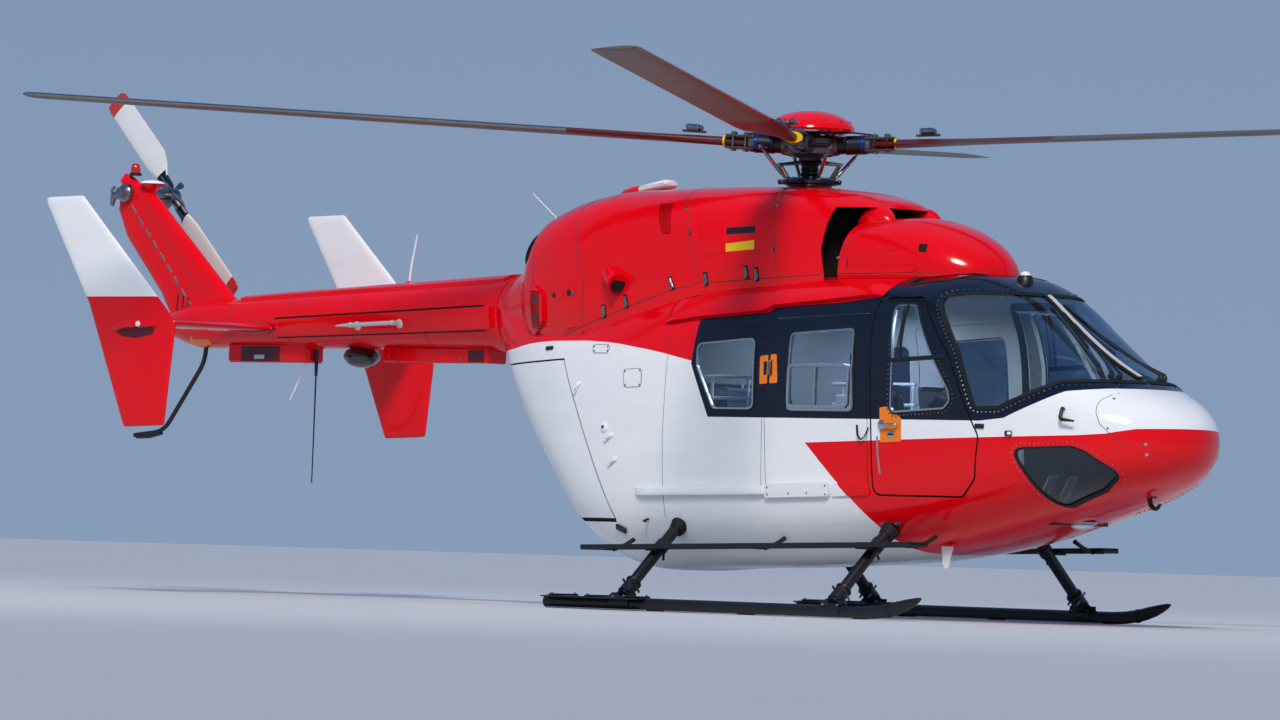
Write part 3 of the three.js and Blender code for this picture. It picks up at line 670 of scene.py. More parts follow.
print("a rounded square has", len(rounded([(0, 0), (1, 0), (1, 1), (0, 1)], 0.1)), "corners")

# %% Naming a finished piece
made = []


def settle(item, name, material, body="airframe", nodes=(), sharp=32):
    """Names a finished piece, moves it from the mast's frame to the model's, and ties it to its body."""
    item.name = item.data.name = name
    if not item.get("in_place"):
        item.data.transform(Matrix.Translation((MAST_X, 0, 0)))
        item["in_place"] = True
    if material:
        item.data.materials.clear()
        item.data.materials.append(material)
    item.data.shade_smooth()
    item.data.set_sharp_from_angle(angle=math.radians(sharp))
    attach(item, body)
    if nodes:
        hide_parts(*nodes)
    made.append(name)
    return item


print("moving pieces turn at", sorted(hubs))

# %% [markdown]
# ## Cabin, doors and windows
# The cabin is one monocoque skin. Door and window openings are cut from it, and each door is the piece of
# skin that was cut out, a little smaller, over a jamb with a rubber seal that closes the gap behind it.

# %% Outlines seen from starboard, along x and z
CREW_DOOR = [
    (1.33, 0.80), (2.04, 0.80), (2.16, 0.92), (2.195, 1.19), (2.085, 1.375), (1.925, 1.70), (1.61, 2.085),
    (1.25, 2.08)
]
CREW_WINDOW = [
    (1.485, 1.33), (1.915, 1.358), (1.965, 1.41), (1.95, 1.48), (1.80, 1.70), (1.585, 2.04), (1.40, 2.04),
    (1.452, 1.69), (1.458, 1.36)
]
SLIDING_DOOR = [(0.405, 0.80), (1.29, 0.80), (1.24, 1.98), (0.34, 1.94)]
SLIDING_WINDOW = [(0.57, 1.335), (1.15, 1.335), (1.12, 1.885), (0.57, 1.85)]
AFT_WINDOW = [(-0.09, 1.34), (0.28, 1.34), (0.27, 1.82), (-0.26, 1.78), (-0.25, 1.62)]
CLAMSHELL = [(-1.56, 0.60), (-1.035, 0.60), (-1.61, 1.67), (-3.0, 1.61), (-3.0, -0.885)]
WINDSHIELD = [
    (2.15, 1.365), (2.34, 1.37), (2.55, 1.47), (2.71, 1.55), (3.20, 1.58), (3.20, 2.135), (2.09, 2.135),
    (1.71, 2.10), (1.98, 1.74)
]
CHIN_WINDOW = [
    (2.44, 1.12), (2.86, 1.14), (2.94, 1.11), (3.11, 0.97), (2.95, 0.86), (2.64, 0.74), (2.54, 0.94)
]
ROOF_WINDOW = [(1.38, -0.25), (1.83, -0.25), (1.70, -0.52), (1.38, -0.57)]
DOOR_GAP = 0.006

door_ring = rounded(CREW_DOOR, 0.07)
crew_glass = rounded(CREW_WINDOW, 0.05)
slider_ring = rounded(SLIDING_DOOR, 0.06)
slider_glass = rounded(SLIDING_WINDOW, 0.045)
aft_glass = rounded(AFT_WINDOW, 0.055)
windscreen_ring = rounded(WINDSHIELD, 0.07)
chin_ring = rounded(CHIN_WINDOW, 0.06)
roof_ring = rounded(ROOF_WINDOW, 0.05)
clamshell_sill = [(x, z - 0.014 if z < 1.0 else z) for x, z in CLAMSHELL]
print("crew door is", round(door_ring[0][0], 2), "m from the mast at its sill")

# %% [markdown]
# The cabin is riveted from pressed panels over frames, but from outside it is one skin with holes. A closed
# shell with a real wall is cut by one prism for each opening. A single surface would be lighter, but its
# edges would look as thin as paper at every window, and its inner face could not have a lining of its own.

# %% The cabin skin
MIDDLE_POST = 0.025
CHIN_MIDDLE = 0.15

cabin = rough(*body_skin(CABIN))
cut(cabin, rough(*body_skin(CABIN[2:-1], -WALL, count=72, step=0.07)))
side_holes = [
    (grown(door_ring, DOOR_GAP), 0.06), (grown(slider_ring, 0.002), 0.06), (aft_glass, 0.06),
    (windscreen_ring, MIDDLE_POST), (chin_ring, CHIN_MIDDLE), (grown(CLAMSHELL, DOOR_GAP), -0.001),
    (grown(clamshell_sill, DOOR_GAP), -0.001),
]
for outline, near in side_holes:
    hole = prism(outline, -1.2, -near)
    other = mirrored(hole)
    cut(cabin, hole)
    cut(cabin, other)
for flip in (1, -1):
    cut(cabin, prism([(x, y * flip) for x, y in roof_ring], 1.9, 2.5, "z"))

skin_nodes = ["cabin_roof", "cabin_belly", "cabin_nose", "cabin_side_starboard", "cabin_side_port"]
settle(cabin, "cabin_skin", cabin_paint, nodes=skin_nodes)

SEAL_FROM, LOOKS_IN = 0.004, -0.5


def line_inside(item, lining, solid=0.04):
    """Gives the faces that look into the cabin the lining's material, and cut edges a black seal.
    A face deeper than solid is inside, whichever way it looks."""
    verts, faces = body_skin(CABIN)
    tree = BVHTree.FromPolygons([(x + MAST_X, y, z) for x, y, z in verts], faces)
    item.data.materials.append(rubber)
    item.data.materials.append(lining)
    for face in item.data.polygons:
        _, out, _, depth = tree.find_nearest(face.center)
        inside = depth > solid or face.normal.dot(out) < LOOKS_IN
        face.material_index = 0 if depth < SEAL_FROM else 2 if inside else 1


line_inside(cabin, headliner)
print("cabin skin has", len(cabin.data.polygons), "faces")

# %% [markdown]
# A hinged door here is thinner than the wall around it. That leaves room for a jamb behind its edge, which
# a rubber seal presses on, and keeps daylight out of the gap when the door is shut.

# %% Doors and jambs
DOOR_DEPTH = 0.022
HOLLOW_TO = CABIN[-1][0] + 0.03

crew_door = panel(CABIN, grown(door_ring, -DOOR_GAP), 0, -DOOR_DEPTH, 0.06, holes=[crew_glass])
slider = panel(CABIN, grown(slider_ring, -0.002), 0, -WALL, 0.06, holes=[slider_glass])
clamshell = rough(*body_skin(CABIN, 0, (-2.6, -0.9)))
cut(clamshell, rough(*body_skin(CABIN, -DOOR_DEPTH, (HOLLOW_TO, -0.85))))
cut(clamshell, prism(grown(CLAMSHELL, -DOOR_GAP), -1.2, -DOOR_GAP), "INTERSECT")
leaves = [
    ("crew_door", crew_door, "crew_door"), ("sliding_door", slider, "airframe"),
    ("clamshell_door", clamshell, "clamshell_door"),
]
for name, leaf, body in leaves:
    for side, item in both_sides(leaf).items():
        rides = body if body == "airframe" else f"{body}_{side}"
        settle(item, f"{name}_panel_{side}", cabin_paint, rides, [f"{name}_{side}"])
        line_inside(item, headliner, solid=DOOR_DEPTH + 0.001)

for name, ring in (("crew_door", door_ring), ("clamshell", CLAMSHELL)):
    jamb = panel(CABIN, grown(ring, 0.02), -0.0225, -0.034, 0.004, holes=[grown(ring, -0.03)])
    for side, item in both_sides(jamb).items():
        settle(item, f"{name}_jamb_{side}", rubber)

# The two rear doors meet on the middle plane, each with a seal that fills its half of the gap
meeting = panel(CABIN, grown(CLAMSHELL, -0.006), -0.004, -0.016, 0.0006)
cut(meeting, prism([(-3, 0), (0, 0), (0, 3), (-3, 3)], -DOOR_GAP - 0.001, 0.01), "INTERSECT")
for side, item in both_sides(meeting).items():
    settle(item, f"clamshell_meeting_seal_{side}", rubber, f"clamshell_door_{side}")
print("doors are", DOOR_DEPTH * 1000, "mm deep, with", DOOR_GAP * 2000, "mm between door and frame")

# %% [markdown]
# A pane is bent from flat acrylic over a mould of the same skin, so it is cut from that skin, a few
# millimetres sunk. It has two faces and real edges. One face would do for a thin pane, but its edge would
# vanish seen from the side.

# %% Panes
PANE_TOP, PANE_BOTTOM = -0.004, -0.010

panes = [
    ("windshield", windscreen_ring, MIDDLE_POST, "airframe", screen_glass),
    ("chin_window", chin_ring, CHIN_MIDDLE, "airframe", screen_glass),
    ("aft_window", aft_glass, 0.06, "airframe", cabin_glass),
    ("sliding_door_window", slider_glass, 0.06, "airframe", cabin_glass),
    ("crew_door_window", crew_glass, 0.06, "crew_door", cabin_glass),
]
for name, ring, near, body, glass in panes:
    pane = panel(CABIN, grown(ring, -0.001), PANE_TOP, PANE_BOTTOM, near + 0.001)
    for side, item in both_sides(pane).items():
        rides = body if body == "airframe" else f"{body}_{side}"
        settle(item, f"{name}_pane_{side}", glass, rides, [f"{name}_{side}"])
roof_pane = panel(CABIN, grown(roof_ring, -0.001), PANE_TOP, PANE_BOTTOM, axis="z")
for side, item in both_sides(roof_pane).items():
    settle(item, f"roof_window_pane_{side}", cabin_glass, "airframe", [f"roof_window_{side}"])
print(2 * len(panes) + 2, "panes,", round((PANE_TOP - PANE_BOTTOM) * 1000), "mm thick")

# %% [markdown]
# ## Small parts
# What is fixed to the skin comes from a few kinds of shape: beads that run along it, round bars, turned
# parts and blocks with broken edges. Each maker returns corners and faces, so many small parts can be one
# mesh. Rivets, bolts and slats are one small shape that Geometry Nodes copy to a list of places, each
# turned to face outwards.

# %% Parts as corners and faces
def merge(parts):
    """Several (corners, faces) pairs as one."""
    verts, faces = [], []
    for more, links in parts:
        start = len(verts)
        verts += [Vector(v) for v in more]
        faces += [tuple(k + start for k in face) for face in links]
    return verts, faces


def moved(part, matrix):
    """The same shape at another place."""
    return [matrix @ Vector(v) for v in part[0]], part[1]


def flipped_y(part):
    """The same shape on the other side of the middle plane."""
    return [Vector((x, -y, z)) for x, y, z in part[0]], [face[::-1] for face in part[1]]


def on_both(parts):
    """The shapes and their mirror images."""
    return parts + [flipped_y(part) for part in parts]


def item_from(parts, name, material, body="airframe", nodes=(), sharp=32):
    """One finished piece from a list of small shapes."""
    return settle(outward(rough(*merge(parts))), name, material, body, nodes, sharp)


print("a part is its corners and its faces")

# %% [markdown]
# A fitting lies on a curved skin and stands square to it. Its place comes from the formula of the section,
# and the way it faces from how the skin falls off within 3 mm on either side. Shrinkwrap could press parts
# onto the skin, but it bends them, and a bolt's head stays flat in reality.

# %% Places on the skin
def on_side(points, table=CABIN, lift=0.0):
    """Places on the starboard skin from (x, z) points, each with the way that the skin faces there."""
    places, facings = [], []
    for x, z in points:
        y, nudge = side_y(table, x, z), 0.003
        slope_x = (side_y(table, x + nudge, z) - side_y(table, x - nudge, z)) / (2 * nudge)
        slope_z = (side_y(table, x, z + nudge) - side_y(table, x, z - nudge)) / (2 * nudge)
        facing = Vector((-slope_x, -1, -slope_z)).normalized()
        places.append(Vector((x, -y, z)) + facing * lift)
        facings.append(facing)
    return places, facings


def on_top(points, table=COWLING, lift=0.0):
    """Places on the upper skin from (x, y) points."""
    places, facings = [], []
    for x, y in points:
        z, nudge = top_z(table, x, y), 0.003
        slope_x = (top_z(table, x + nudge, y) - top_z(table, x - nudge, y)) / (2 * nudge)
        slope_y = (top_z(table, x, y + nudge) - top_z(table, x, y - nudge)) / (2 * nudge)
        facing = Vector((-slope_x, -slope_y, 1)).normalized()
        places.append(Vector((x, y, z)) + facing * lift)
        facings.append(facing)
    return places, facings


def spaced(points, spacing, closed=False):
    """Points at equal distances along a line."""
    points = [Vector(point) for point in points]
    points = points + points[:1] if closed else points
    travel = np.concatenate([[0], np.cumsum([(b - a).length for a, b in zip(points, points[1:])])])
    count = max(2, round(travel[-1] / spacing) + 1)
    stops = np.linspace(0, travel[-1], count)[:-1] if closed else np.linspace(0, travel[-1], count)
    columns = [np.interp(stops, travel, [point[axis] for point in points]) for axis in range(len(points[0]))]
    return [tuple(spot) for spot in zip(*columns)]


def on_lines(lines, table, spacing):
    """Places along several drawn lines on the starboard skin, with the ways the skin faces."""
    places, facings = [], []
    for line in lines:
        more_places, more_facings = on_side(spaced(line, spacing), table)
        places += more_places
        facings += more_facings
    return places, facings


print("skin at the doors faces", [round(value, 2) for value in on_side([(1.0, 1.2)])[1][0]])

# %% Beads, bars, turned parts and blocks
def strip(places, facings, width, height, closed=False, sink=0.003):
    """A flat bead along a skin, slightly narrower at its top."""
    rings, count = [], len(places)
    corners = [(-0.5, -sink), (-0.42, height), (0.42, height), (0.5, -sink)]
    for k, (place, facing) in enumerate(zip(places, facings)):
        before = places[k - 1] if closed or k else place
        after = places[(k + 1) % count] if closed or k + 1 < count else place
        across = (after - before).cross(facing).normalized() * width
        rings.append([place + across * a + facing * b for a, b in corners])
    verts, faces = join_rings(rings, closed_ends=not closed)
    if closed:
        last = 4 * (count - 1)
        faces += [(last + k, k, (k + 1) % 4, last + (k + 1) % 4) for k in range(4)]
    return verts, faces


def bar(points, radius, sides=10, bend=0.0, flat=1.0):
    """A round bar through points; radius may be one number or one for each point."""
    points = [Vector(point) for point in points]
    radii = list(radius) if hasattr(radius, "__len__") else [radius] * len(points)
    if bend:
        soft, soft_radii = [points[0]], [radii[0]]
        for k in range(1, len(points) - 1):
            back, on = points[k - 1] - points[k], points[k + 1] - points[k]
            trim = min(bend, 0.48 * back.length, 0.48 * on.length)
            enter, leave = points[k] + back.normalized() * trim, points[k] + on.normalized() * trim
            for t in np.linspace(0, 1, 7):
                soft.append(enter * (1 - t) ** 2 + points[k] * 2 * t * (1 - t) + leave * t**2)
                soft_radii.append(radii[k])
        points, radii = soft + [points[-1]], soft_radii + [radii[-1]]
    way = (points[1] - points[0]).normalized()
    side = way.orthogonal().normalized()
    rings = []
    for k, point in enumerate(points):
        ahead = (points[min(k + 1, len(points) - 1)] - points[max(k - 1, 0)]).normalized()
        side = (side - ahead * side.dot(ahead)).normalized()
        other = ahead.cross(side)
        rings.append([
            point + (side * math.cos(a) + other * math.sin(a) * flat) * radii[k]
            for a in (2 * math.pi * j / sides for j in range(sides))
        ])
    return join_rings(rings)


def drum(radius, low, high):
    """The profile of a plain drum, for turned."""
    return [(0, low), (radius, low), (radius, high), (0, high)]


def stud(foot, head, rise, top):
    """The profile of a stud: radius at foot and head, and height at the head's rim and middle, for turned."""
    return [(0, 0), (foot, 0), (head, rise), (0, top)]


def turned(profile, base=(0, 0, 0), axis=(0, 0, 1), sides=20):
    """A part turned on a lathe: profile is (radius, height) from the axis back to the axis."""
    frame = Vector(axis).to_track_quat("Z", "Y").to_matrix()
    inner = [(max(r, 1e-4), h) for r, h in profile]
    rings = [[
        Vector(base) + frame @ Vector((r * math.cos(a), r * math.sin(a), h))
        for a in (2 * math.pi * j / sides for j in range(sides))
    ] for r, h in inner]
    return join_rings(rings)


def block(size, place, turn=None, edge=0.15):
    """A block with its edges broken; edge is a share of its thinnest side."""
    break_by = min(size) * edge
    half = [s / 2 for s in size]
    corners = []
    for sx in (-1, 1):
        for sy in (-1, 1):
            for sz in (-1, 1):
                for axis in range(3):
                    corner = [sx * half[0], sy * half[1], sz * half[2]]
                    for other in range(3):
                        if other != axis:
                            corner[other] -= math.copysign(break_by, corner[other])
                    corners.append(corner)
    work = bmesh.new()
    for corner in corners:
        work.verts.new(corner)
    bmesh.ops.convex_hull(work, input=work.verts)
    bmesh.ops.dissolve_limit(work, angle_limit=0.01, verts=work.verts, edges=work.edges)
    work.verts.index_update()
    shape = [v.co.copy() for v in work.verts], [tuple(v.index for v in face.verts) for face in work.faces]
    work.free()
    place_it = Matrix.Translation(place) @ (turn.to_4x4() if turn else Matrix.Identity(4))
    return moved(shape, place_it)


def facing_turn(facing, ahead=(1, 0, 0)):
    """Turns a shape so that its z points along facing and its x nearly along ahead."""
    z = Vector(facing).normalized()
    y = z.cross(Vector(ahead)).normalized()
    return Matrix((y.cross(z), y, z)).transposed()


print("a block has", len(block((1, 1, 1), (0, 0, 0))[1]), "faces")

# %% [markdown]
# Thousands of rivets and screws hold the skin. Each is pressed in square to the surface and no two are
# quite alike. They could be modelled one by one or painted as dots. One small Geometry Nodes tree instead
# copies a shape with a few dozen faces to a list of places, turns each copy to face outwards, varies its
# size a little and joins them all.

# %% One tree that copies a small shape to many places
def copies_tree():
    """The tree; its inputs are the places, the shape, its finish and how uneven the sizes are."""
    tree = bpy.data.node_groups.new("copies_on_skin", "GeometryNodeTree")
    for name, kind in (
        ("Places", "Geometry"), ("Shape", "Object"), ("Finish", "Material"), ("Uneven size", "Float")
    ):
        tree.interface.new_socket(name, in_out="INPUT", socket_type=f"NodeSocket{kind}")
    tree.interface.new_socket("Mesh", in_out="OUTPUT", socket_type="NodeSocketGeometry")
    given = add(tree, "NodeGroupInput").outputs
    facing = add(
        tree, "GeometryNodeInputNamedAttribute", {"Name": "facing"}, data_type="FLOAT_VECTOR"
    ).outputs[0]
    ahead = add(
        tree, "GeometryNodeInputNamedAttribute", {"Name": "ahead"}, data_type="FLOAT_VECTOR"
    ).outputs[0]
    upright = add(tree, "FunctionNodeAlignRotationToVector", {"Vector": facing}, axis="Z").outputs[0]
    turn = add(
        tree, "FunctionNodeAlignRotationToVector", {"Rotation": upright, "Vector": ahead}, axis="X",
        pivot_axis="Z"
    )
    small = add(tree, MATH, {0: 1.0, 1: given["Uneven size"]}, operation="SUBTRACT").outputs[0]
    size = add(tree, "FunctionNodeRandomValue", {2: small, 3: 1.0, "Seed": 3}, data_type="FLOAT").outputs[1]
    shape = add(tree, "GeometryNodeObjectInfo", {"Object": given["Shape"]}).outputs["Geometry"]
    many = add(tree, "GeometryNodeInstanceOnPoints", {
        "Points": given["Places"], "Instance": shape, "Rotation": turn.outputs[0], "Scale": size,
    })
    real = add(tree, "GeometryNodeRealizeInstances", {0: many.outputs[0]})
    painted = add(tree, "GeometryNodeSetMaterial", {0: real.outputs[0], "Material": given["Finish"]})
    add(tree, "NodeGroupOutput", {0: painted.outputs[0]})
    return tree


COPIES = copies_tree()


def copies(places, facings, shape, name, material, body="airframe", aheads=None, uneven=0.15, both=True):
    """Copies a shape to places on the starboard side and, for both, to their mirror images."""
    aheads = aheads or [Vector((1, 0, 0))] * len(places)
    if both:
        places, facings, aheads = (
            list(row) + [Vector((v.x, -v.y, v.z)) for v in row] for row in (places, facings, aheads)
        )
    carrier = rough(places, [])
    for key, row in (("facing", facings), ("ahead", aheads)):
        carrier.data.attributes.new(key, "FLOAT_VECTOR", "POINT").data.foreach_set(
            "vector", np.array(row).ravel()
        )
    pattern = outward(rough(*shape))
    step = carrier.modifiers.new("copies", "NODES")
    step.node_group = COPIES
    sockets = {
        socket.name: socket.identifier for socket in COPIES.interface.items_tree if socket.in_out == "INPUT"
    }
    step[sockets["Shape"]], step[sockets["Finish"]], step[sockets["Uneven size"]] = pattern, material, uneven
    applied(carrier)
    discard(pattern)
    return settle(carrier, name, None, body)


def dome(radius, height, sides=7):
    """A low domed head."""
    return turned(
        [
            (0, -0.002), (radius, -0.002), (radius * 0.92, height * 0.55), (radius * 0.5, height),
            (0, height)
        ],
        sides=sides
    )


RIVET = dome(0.0048, 0.0022)
BOLT = dome(0.0075, 0.006, 6)
print("the tree takes", [socket.name for socket in COPIES.interface.items_tree if socket.in_out == "INPUT"])

# %% [markdown]
# ## Window frames and seams
# Each window sits in a black rubber seal with a bright retaining strip inside it. Around the windscreen and
# the chin windows a doubler plate is riveted over the skin, a row of bright screws every three centimetres.

# %% Seals, retaining strips and doublers
def frame_ring(outline, outer, inner, top, bottom, near=0.06, axis="y"):
    """A ring of the skin's shape between two growths of an outline and two depths."""
    return panel(CABIN, grown(outline, outer), top, bottom, near, axis, holes=[grown(outline, inner)])


windows = [
    ("crew_door_window", crew_glass, "crew_door", 0.06),
    ("sliding_door_window", slider_glass, "airframe", 0.06), ("aft_window", aft_glass, "airframe", 0.06)
]
for name, outline, body, near in windows:
    rings = [
        ("seal", rubber, frame_ring(outline, 0.010, -0.004, 0.0035, -0.014, near)),
        ("retaining_strip", bright_metal, frame_ring(outline, -0.003, -0.014, 0.005, -0.013, near)),
    ]
    for what, material, ring in rings:
        for side, item in both_sides(ring).items():
            settle(item, f"{name}_{what}_{side}", material, body if body == "airframe" else f"{body}_{side}")

screen_seal = frame_ring(windscreen_ring, 0.006, -0.016, 0.004, -0.012, MIDDLE_POST - 0.006)
chin_seal = frame_ring(chin_ring, 0.004, -0.010, 0.003, -0.012, CHIN_MIDDLE - 0.02)
chin_doubler = panel(
    CABIN, grown(chin_ring, 0.045), 0.0016, -0.002, CHIN_MIDDLE - 0.04, holes=[grown(chin_ring, 0.003)]
)
roof_seal = frame_ring(roof_ring, 0.006, -0.012, 0.004, -0.012, axis="z")
for name, item, material in (
    ("windscreen_seal", screen_seal, rubber), ("chin_window_seal", chin_seal, rubber),
    ("chin_window_doubler", chin_doubler, cabin_paint), ("roof_window_seal", roof_seal, rubber),
):
    for side, ring in both_sides(item).items():
        settle(ring, f"{name}_{side}", material)
print("every window has a seal and a strip or doubler")

# %% [markdown]
# Screws hold each doubler at a pitch of about 32 mm. Their places come from the window's outline, moved
# outwards and divided evenly, so that the last gap is as wide as the first. Near the middle plane the skin
# turns down towards the other half, so no screw is set there.

# %% Screws and rivets round the windows
def clear_of(points, least):
    """The points whose skin reaches at least that far from the middle plane."""
    return [point for point in points if side_y(CABIN, *point) > least]


SCREW_PITCH = 0.032
screen_edge = clear_of(spaced(grown(windscreen_ring, 0.022), SCREW_PITCH, closed=True), least=0.08)
chin_edge = clear_of(spaced(grown(chin_ring, 0.024), SCREW_PITCH, closed=True), least=0.16)
places, facings = on_side(screen_edge + chin_edge)
copies(places, facings, BOLT, "window_screws", steel)
places, facings = on_side(spaced(grown(aft_glass, 0.022), 0.035, closed=True))
copies(places, facings, RIVET, "aft_window_rivets", dark_steel)
for side, mark in SIDES.items():
    rows = spaced(grown(crew_glass, 0.020), SCREW_PITCH, closed=True)
    places, facings = on_side(rows)
    flipped = [[Vector((v.x, v.y * -mark, v.z)) for v in row] for row in (places, facings)]
    copies(*flipped, BOLT, f"crew_door_screws_{side}", dark_steel, f"crew_door_{side}", both=False)
print(len(screen_edge), "screws round each windscreen half")

# %% [markdown]
# The cabin window has a sliding part in a thin aluminium frame, and the crew door's window is crossed by
# two bars. Both are straight extrusions bent to the skin, so they are beads along lines on it. A curve with
# a bevel would twist where the skin turns; the bead takes its upright from the skin itself.

# %% The sliding window's frame and the crew door's bars
ON_PANE = 0.004
slide_frame = [(0.585, 1.635), (1.10, 1.635), (1.095, 1.365), (0.585, 1.365)]
frame_lines = [
    (slide_frame, True, 0.026), ([(0.815, 1.63), (0.815, 1.37)], False, 0.018),
    ([(0.58, 1.352), (1.13, 1.352)], False, 0.014), ([(1.128, 1.63), (1.128, 1.36)], False, 0.010)
]
strips = []
for line, closed, width in frame_lines:
    drawn = rounded(line, 0.02, 3) if closed else line
    places, facings = on_side(spaced(drawn, 0.04, closed), lift=ON_PANE)
    strips.append(strip(places, facings, width, 0.008, closed, sink=0.012))
item_from(strips, "sliding_window_frame_starboard", bright_metal)
item_from([flipped_y(part) for part in strips], "sliding_window_frame_port", bright_metal)

cross_bar = spaced([(1.44, 1.672), (1.84, 1.695), (1.905, 1.70)], 0.04)
upright_bar = spaced([(1.515, 2.05), (1.522, 1.68)], 0.04)
for side, mark in SIDES.items():
    bars = [strip(*on_side(cross_bar), 0.030, 0.010), strip(*on_side(upright_bar), 0.020, 0.006)]
    bars.append(strip(*on_side([(1.485, 2.03), (1.487, 1.70)]), 0.008, 0.004))
    parts = bars if mark < 0 else [flipped_y(part) for part in bars]
    item_from(parts, f"crew_door_bars_{side}", black_coat, f"crew_door_{side}")
print("sliding window frame has", len(strips), "members a side")

# %% [markdown]
# ## The roof edge and the door rails
# The red roof panel overhangs the cabin side like an eave, and the sliding door hangs under it on its upper
# rail. Lower down, the skin is stepped over the lower rail. Both are one lip: a section that starts flush
# on the skin above and stands proud at its lower edge, carried along a line.

# %% Lips that stand proud of the skin
LIP_SPACING, LIP_FADE = 0.05, 0.10


def lip(line, reaches, proud, thick=0.014):
    """A slab along the skin whose lower edge follows (x, z) points.
    Its height goes from one reach to the other, and it fades into the skin over LIP_FADE at both ends."""
    stops = spaced(line, LIP_SPACING)
    rings = []
    for k, (x, z) in enumerate(stops):
        row = at(CABIN, x)
        arc = [Vector((x, *point[1:])) for point in section_ring(row, 720, 0) if point[1] < 0]
        arc = sorted((point for point in arc if point.z >= z), key=lambda point: (point.z, -abs(point.y)))
        low, = on_side([(x, z)])[0]
        arc = [low] + [point for point in arc if (point - low).length > 0.004]
        travel = np.concatenate([[0], np.cumsum([(b - a).length for a, b in zip(arc, arc[1:])])])
        from_end = min(k, len(stops) - 1 - k) * LIP_SPACING
        share = math.sin(math.pi / 2 * min(1, (from_end + 0.01) / LIP_FADE))
        reach = reaches[0] + (reaches[1] - reaches[0]) * k / (len(stops) - 1)
        ring = []
        stations = [
            (0.010, -0.006), (0.0, proud), (thick, proud * 1.08), (reach * 0.5, proud),
            (reach * 0.93, proud * 0.85), (reach, proud * 0.55), (reach + 0.004, -0.006)
        ]
        for spot, out in stations:
            here = Vector([float(np.interp(spot, travel, [p[axis] for p in arc])) for axis in range(3)])
            there = Vector(
                [float(np.interp(spot + 0.04, travel, [p[axis] for p in arc])) for axis in range(3)]
            )
            outwards = (there - here).cross(Vector((1, 0, 0))).normalized()
            outwards = outwards if outwards.y < 0 else -outwards
            ring.append(here + outwards * (out * share if out > 0.001 else out))
        rings.append(ring)
    return join_rings(rings)


EAVE_LINE = [
    (-0.60, 1.905), (-0.32, 1.938), (0.02, 1.962), (0.325, 1.986), (0.375, 2.014), (0.80, 2.047),
    (1.27, 2.088)
]
SILL_LINE = [(-0.80, 0.765), (-0.30, 0.775), (0.45, 0.792)]
eave = outward(rough(*lip(EAVE_LINE, (0.17, 0.10), 0.034)))
sill = outward(rough(*lip(SILL_LINE, (0.05, 0.05), 0.034, thick=0.010)))
for name, item in (("roof_eave", eave), ("lower_rail_lip", sill)):
    for side, part in both_sides(item).items():
        settle(part, f"{name}_{side}", cabin_paint, sharp=35)
print("eave runs", round(EAVE_LINE[-1][0] - EAVE_LINE[0][0], 2), "m")

# %% [markdown]
# ## Cowlings
# The engine cowling is a moulded shell on the roof. At its front a brow hangs over the air intakes, which
# breathe through the slot between it and the forward fairing. Both shells are hollow, and their inside faces
# are painted black as shade, so the slots look into the dark.

# %% Engine cowling, forward fairing and intakes
COWL_WALL, PAINTED_TO = 0.022, 0.003
EXHAUST_Y, EXHAUST_Z = 0.33, 2.415
SLOT_REAR = [(0.63, 2.69), (0.606, 2.56), (0.578, 2.41), (0.60, 2.24), (0.60, 2.05)]
SLOT_FRONT = [(0.80, 2.75), (0.785, 2.68), (0.732, 2.53), (0.692, 2.34), (0.682, 2.23), (0.68, 2.05)]


def shell_under(table, front=COWL_WALL, rear=-COWL_WALL):
    """The space under a cowling, open below."""
    rows = [(x, half, top, waist, belly - 0.3, square) for x, half, top, waist, belly, square in table]
    rows[0] = (rows[0][0] - front, *rows[0][1:])
    rows[-1] = (rows[-1][0] - rear, *rows[-1][1:])
    return rough(*body_skin(rows, -COWL_WALL, count=96, step=0.06))


def dark_inside(item, table):
    """Paints the faces under the shell black, as the shade inside it."""
    tree = BVHTree.FromPolygons(*body_skin(table))
    item.data.materials.clear()
    item.data.materials.append(red_paint)
    item.data.materials.append(shade_black)
    for face in item.data.polygons:
        face.material_index = 0 if tree.find_nearest(face.center)[3] < PAINTED_TO else 1


print("a cowling is", COWL_WALL * 1000, "mm thick")

# %% [markdown]
# Each cowling starts as a closed skin. The space under it, the cabin's roof, the slot, the mast's hole and
# the exhaust holes are cut out of it in turn. A Solidify modifier on an open skin would give the wall as
# well, but its rim would not close where the cowling sits on the curved roof.

# %% Cowling shells
cowl = cut(
    rough(*body_skin(COWLING, count=176, step=0.03)),
    shell_under([row for row in COWLING[1:] if row[0] > -1.6])
)
cut(cowl, rough(*body_skin(CABIN, 0.0006)))
cut(cowl, prism(SLOT_REAR + [(1.2, 2.05), (1.2, 2.695)], -1, 1))
mast_hole = [
    (0.09 * math.cos(a), 0.09 * math.sin(a)) for a in np.linspace(0, 2 * math.pi, 32, endpoint=False)
]
cut(cowl, prism(mast_hole, 2.6, 3.0, "z"))
for y in (-EXHAUST_Y, EXHAUST_Y):
    cut(cowl, outward(rough(*turned(drum(0.151, 0, 0.5), (-1.95, y, EXHAUST_Z), (-1, 0, 0), 40))))
dark_inside(cowl, COWLING)
settle(cowl, "engine_cowling_shell", None, nodes=["engine_cowling"])

fairing = cut(rough(*body_skin(FAIRING, count=144, step=0.025)), shell_under(FAIRING[2:], 0.02, 0.1))
cut(fairing, rough(*body_skin(CABIN, 0.0006)))
cut(fairing, prism(SLOT_FRONT + [(0.2, 2.05), (0.2, 2.75)], -1, 1))
dark_inside(fairing, FAIRING)
settle(fairing, "forward_fairing_shell", None, nodes=["forward_cowling"])
print("cowl and fairing have", len(cowl.data.polygons), "and", len(fairing.data.polygons), "faces")
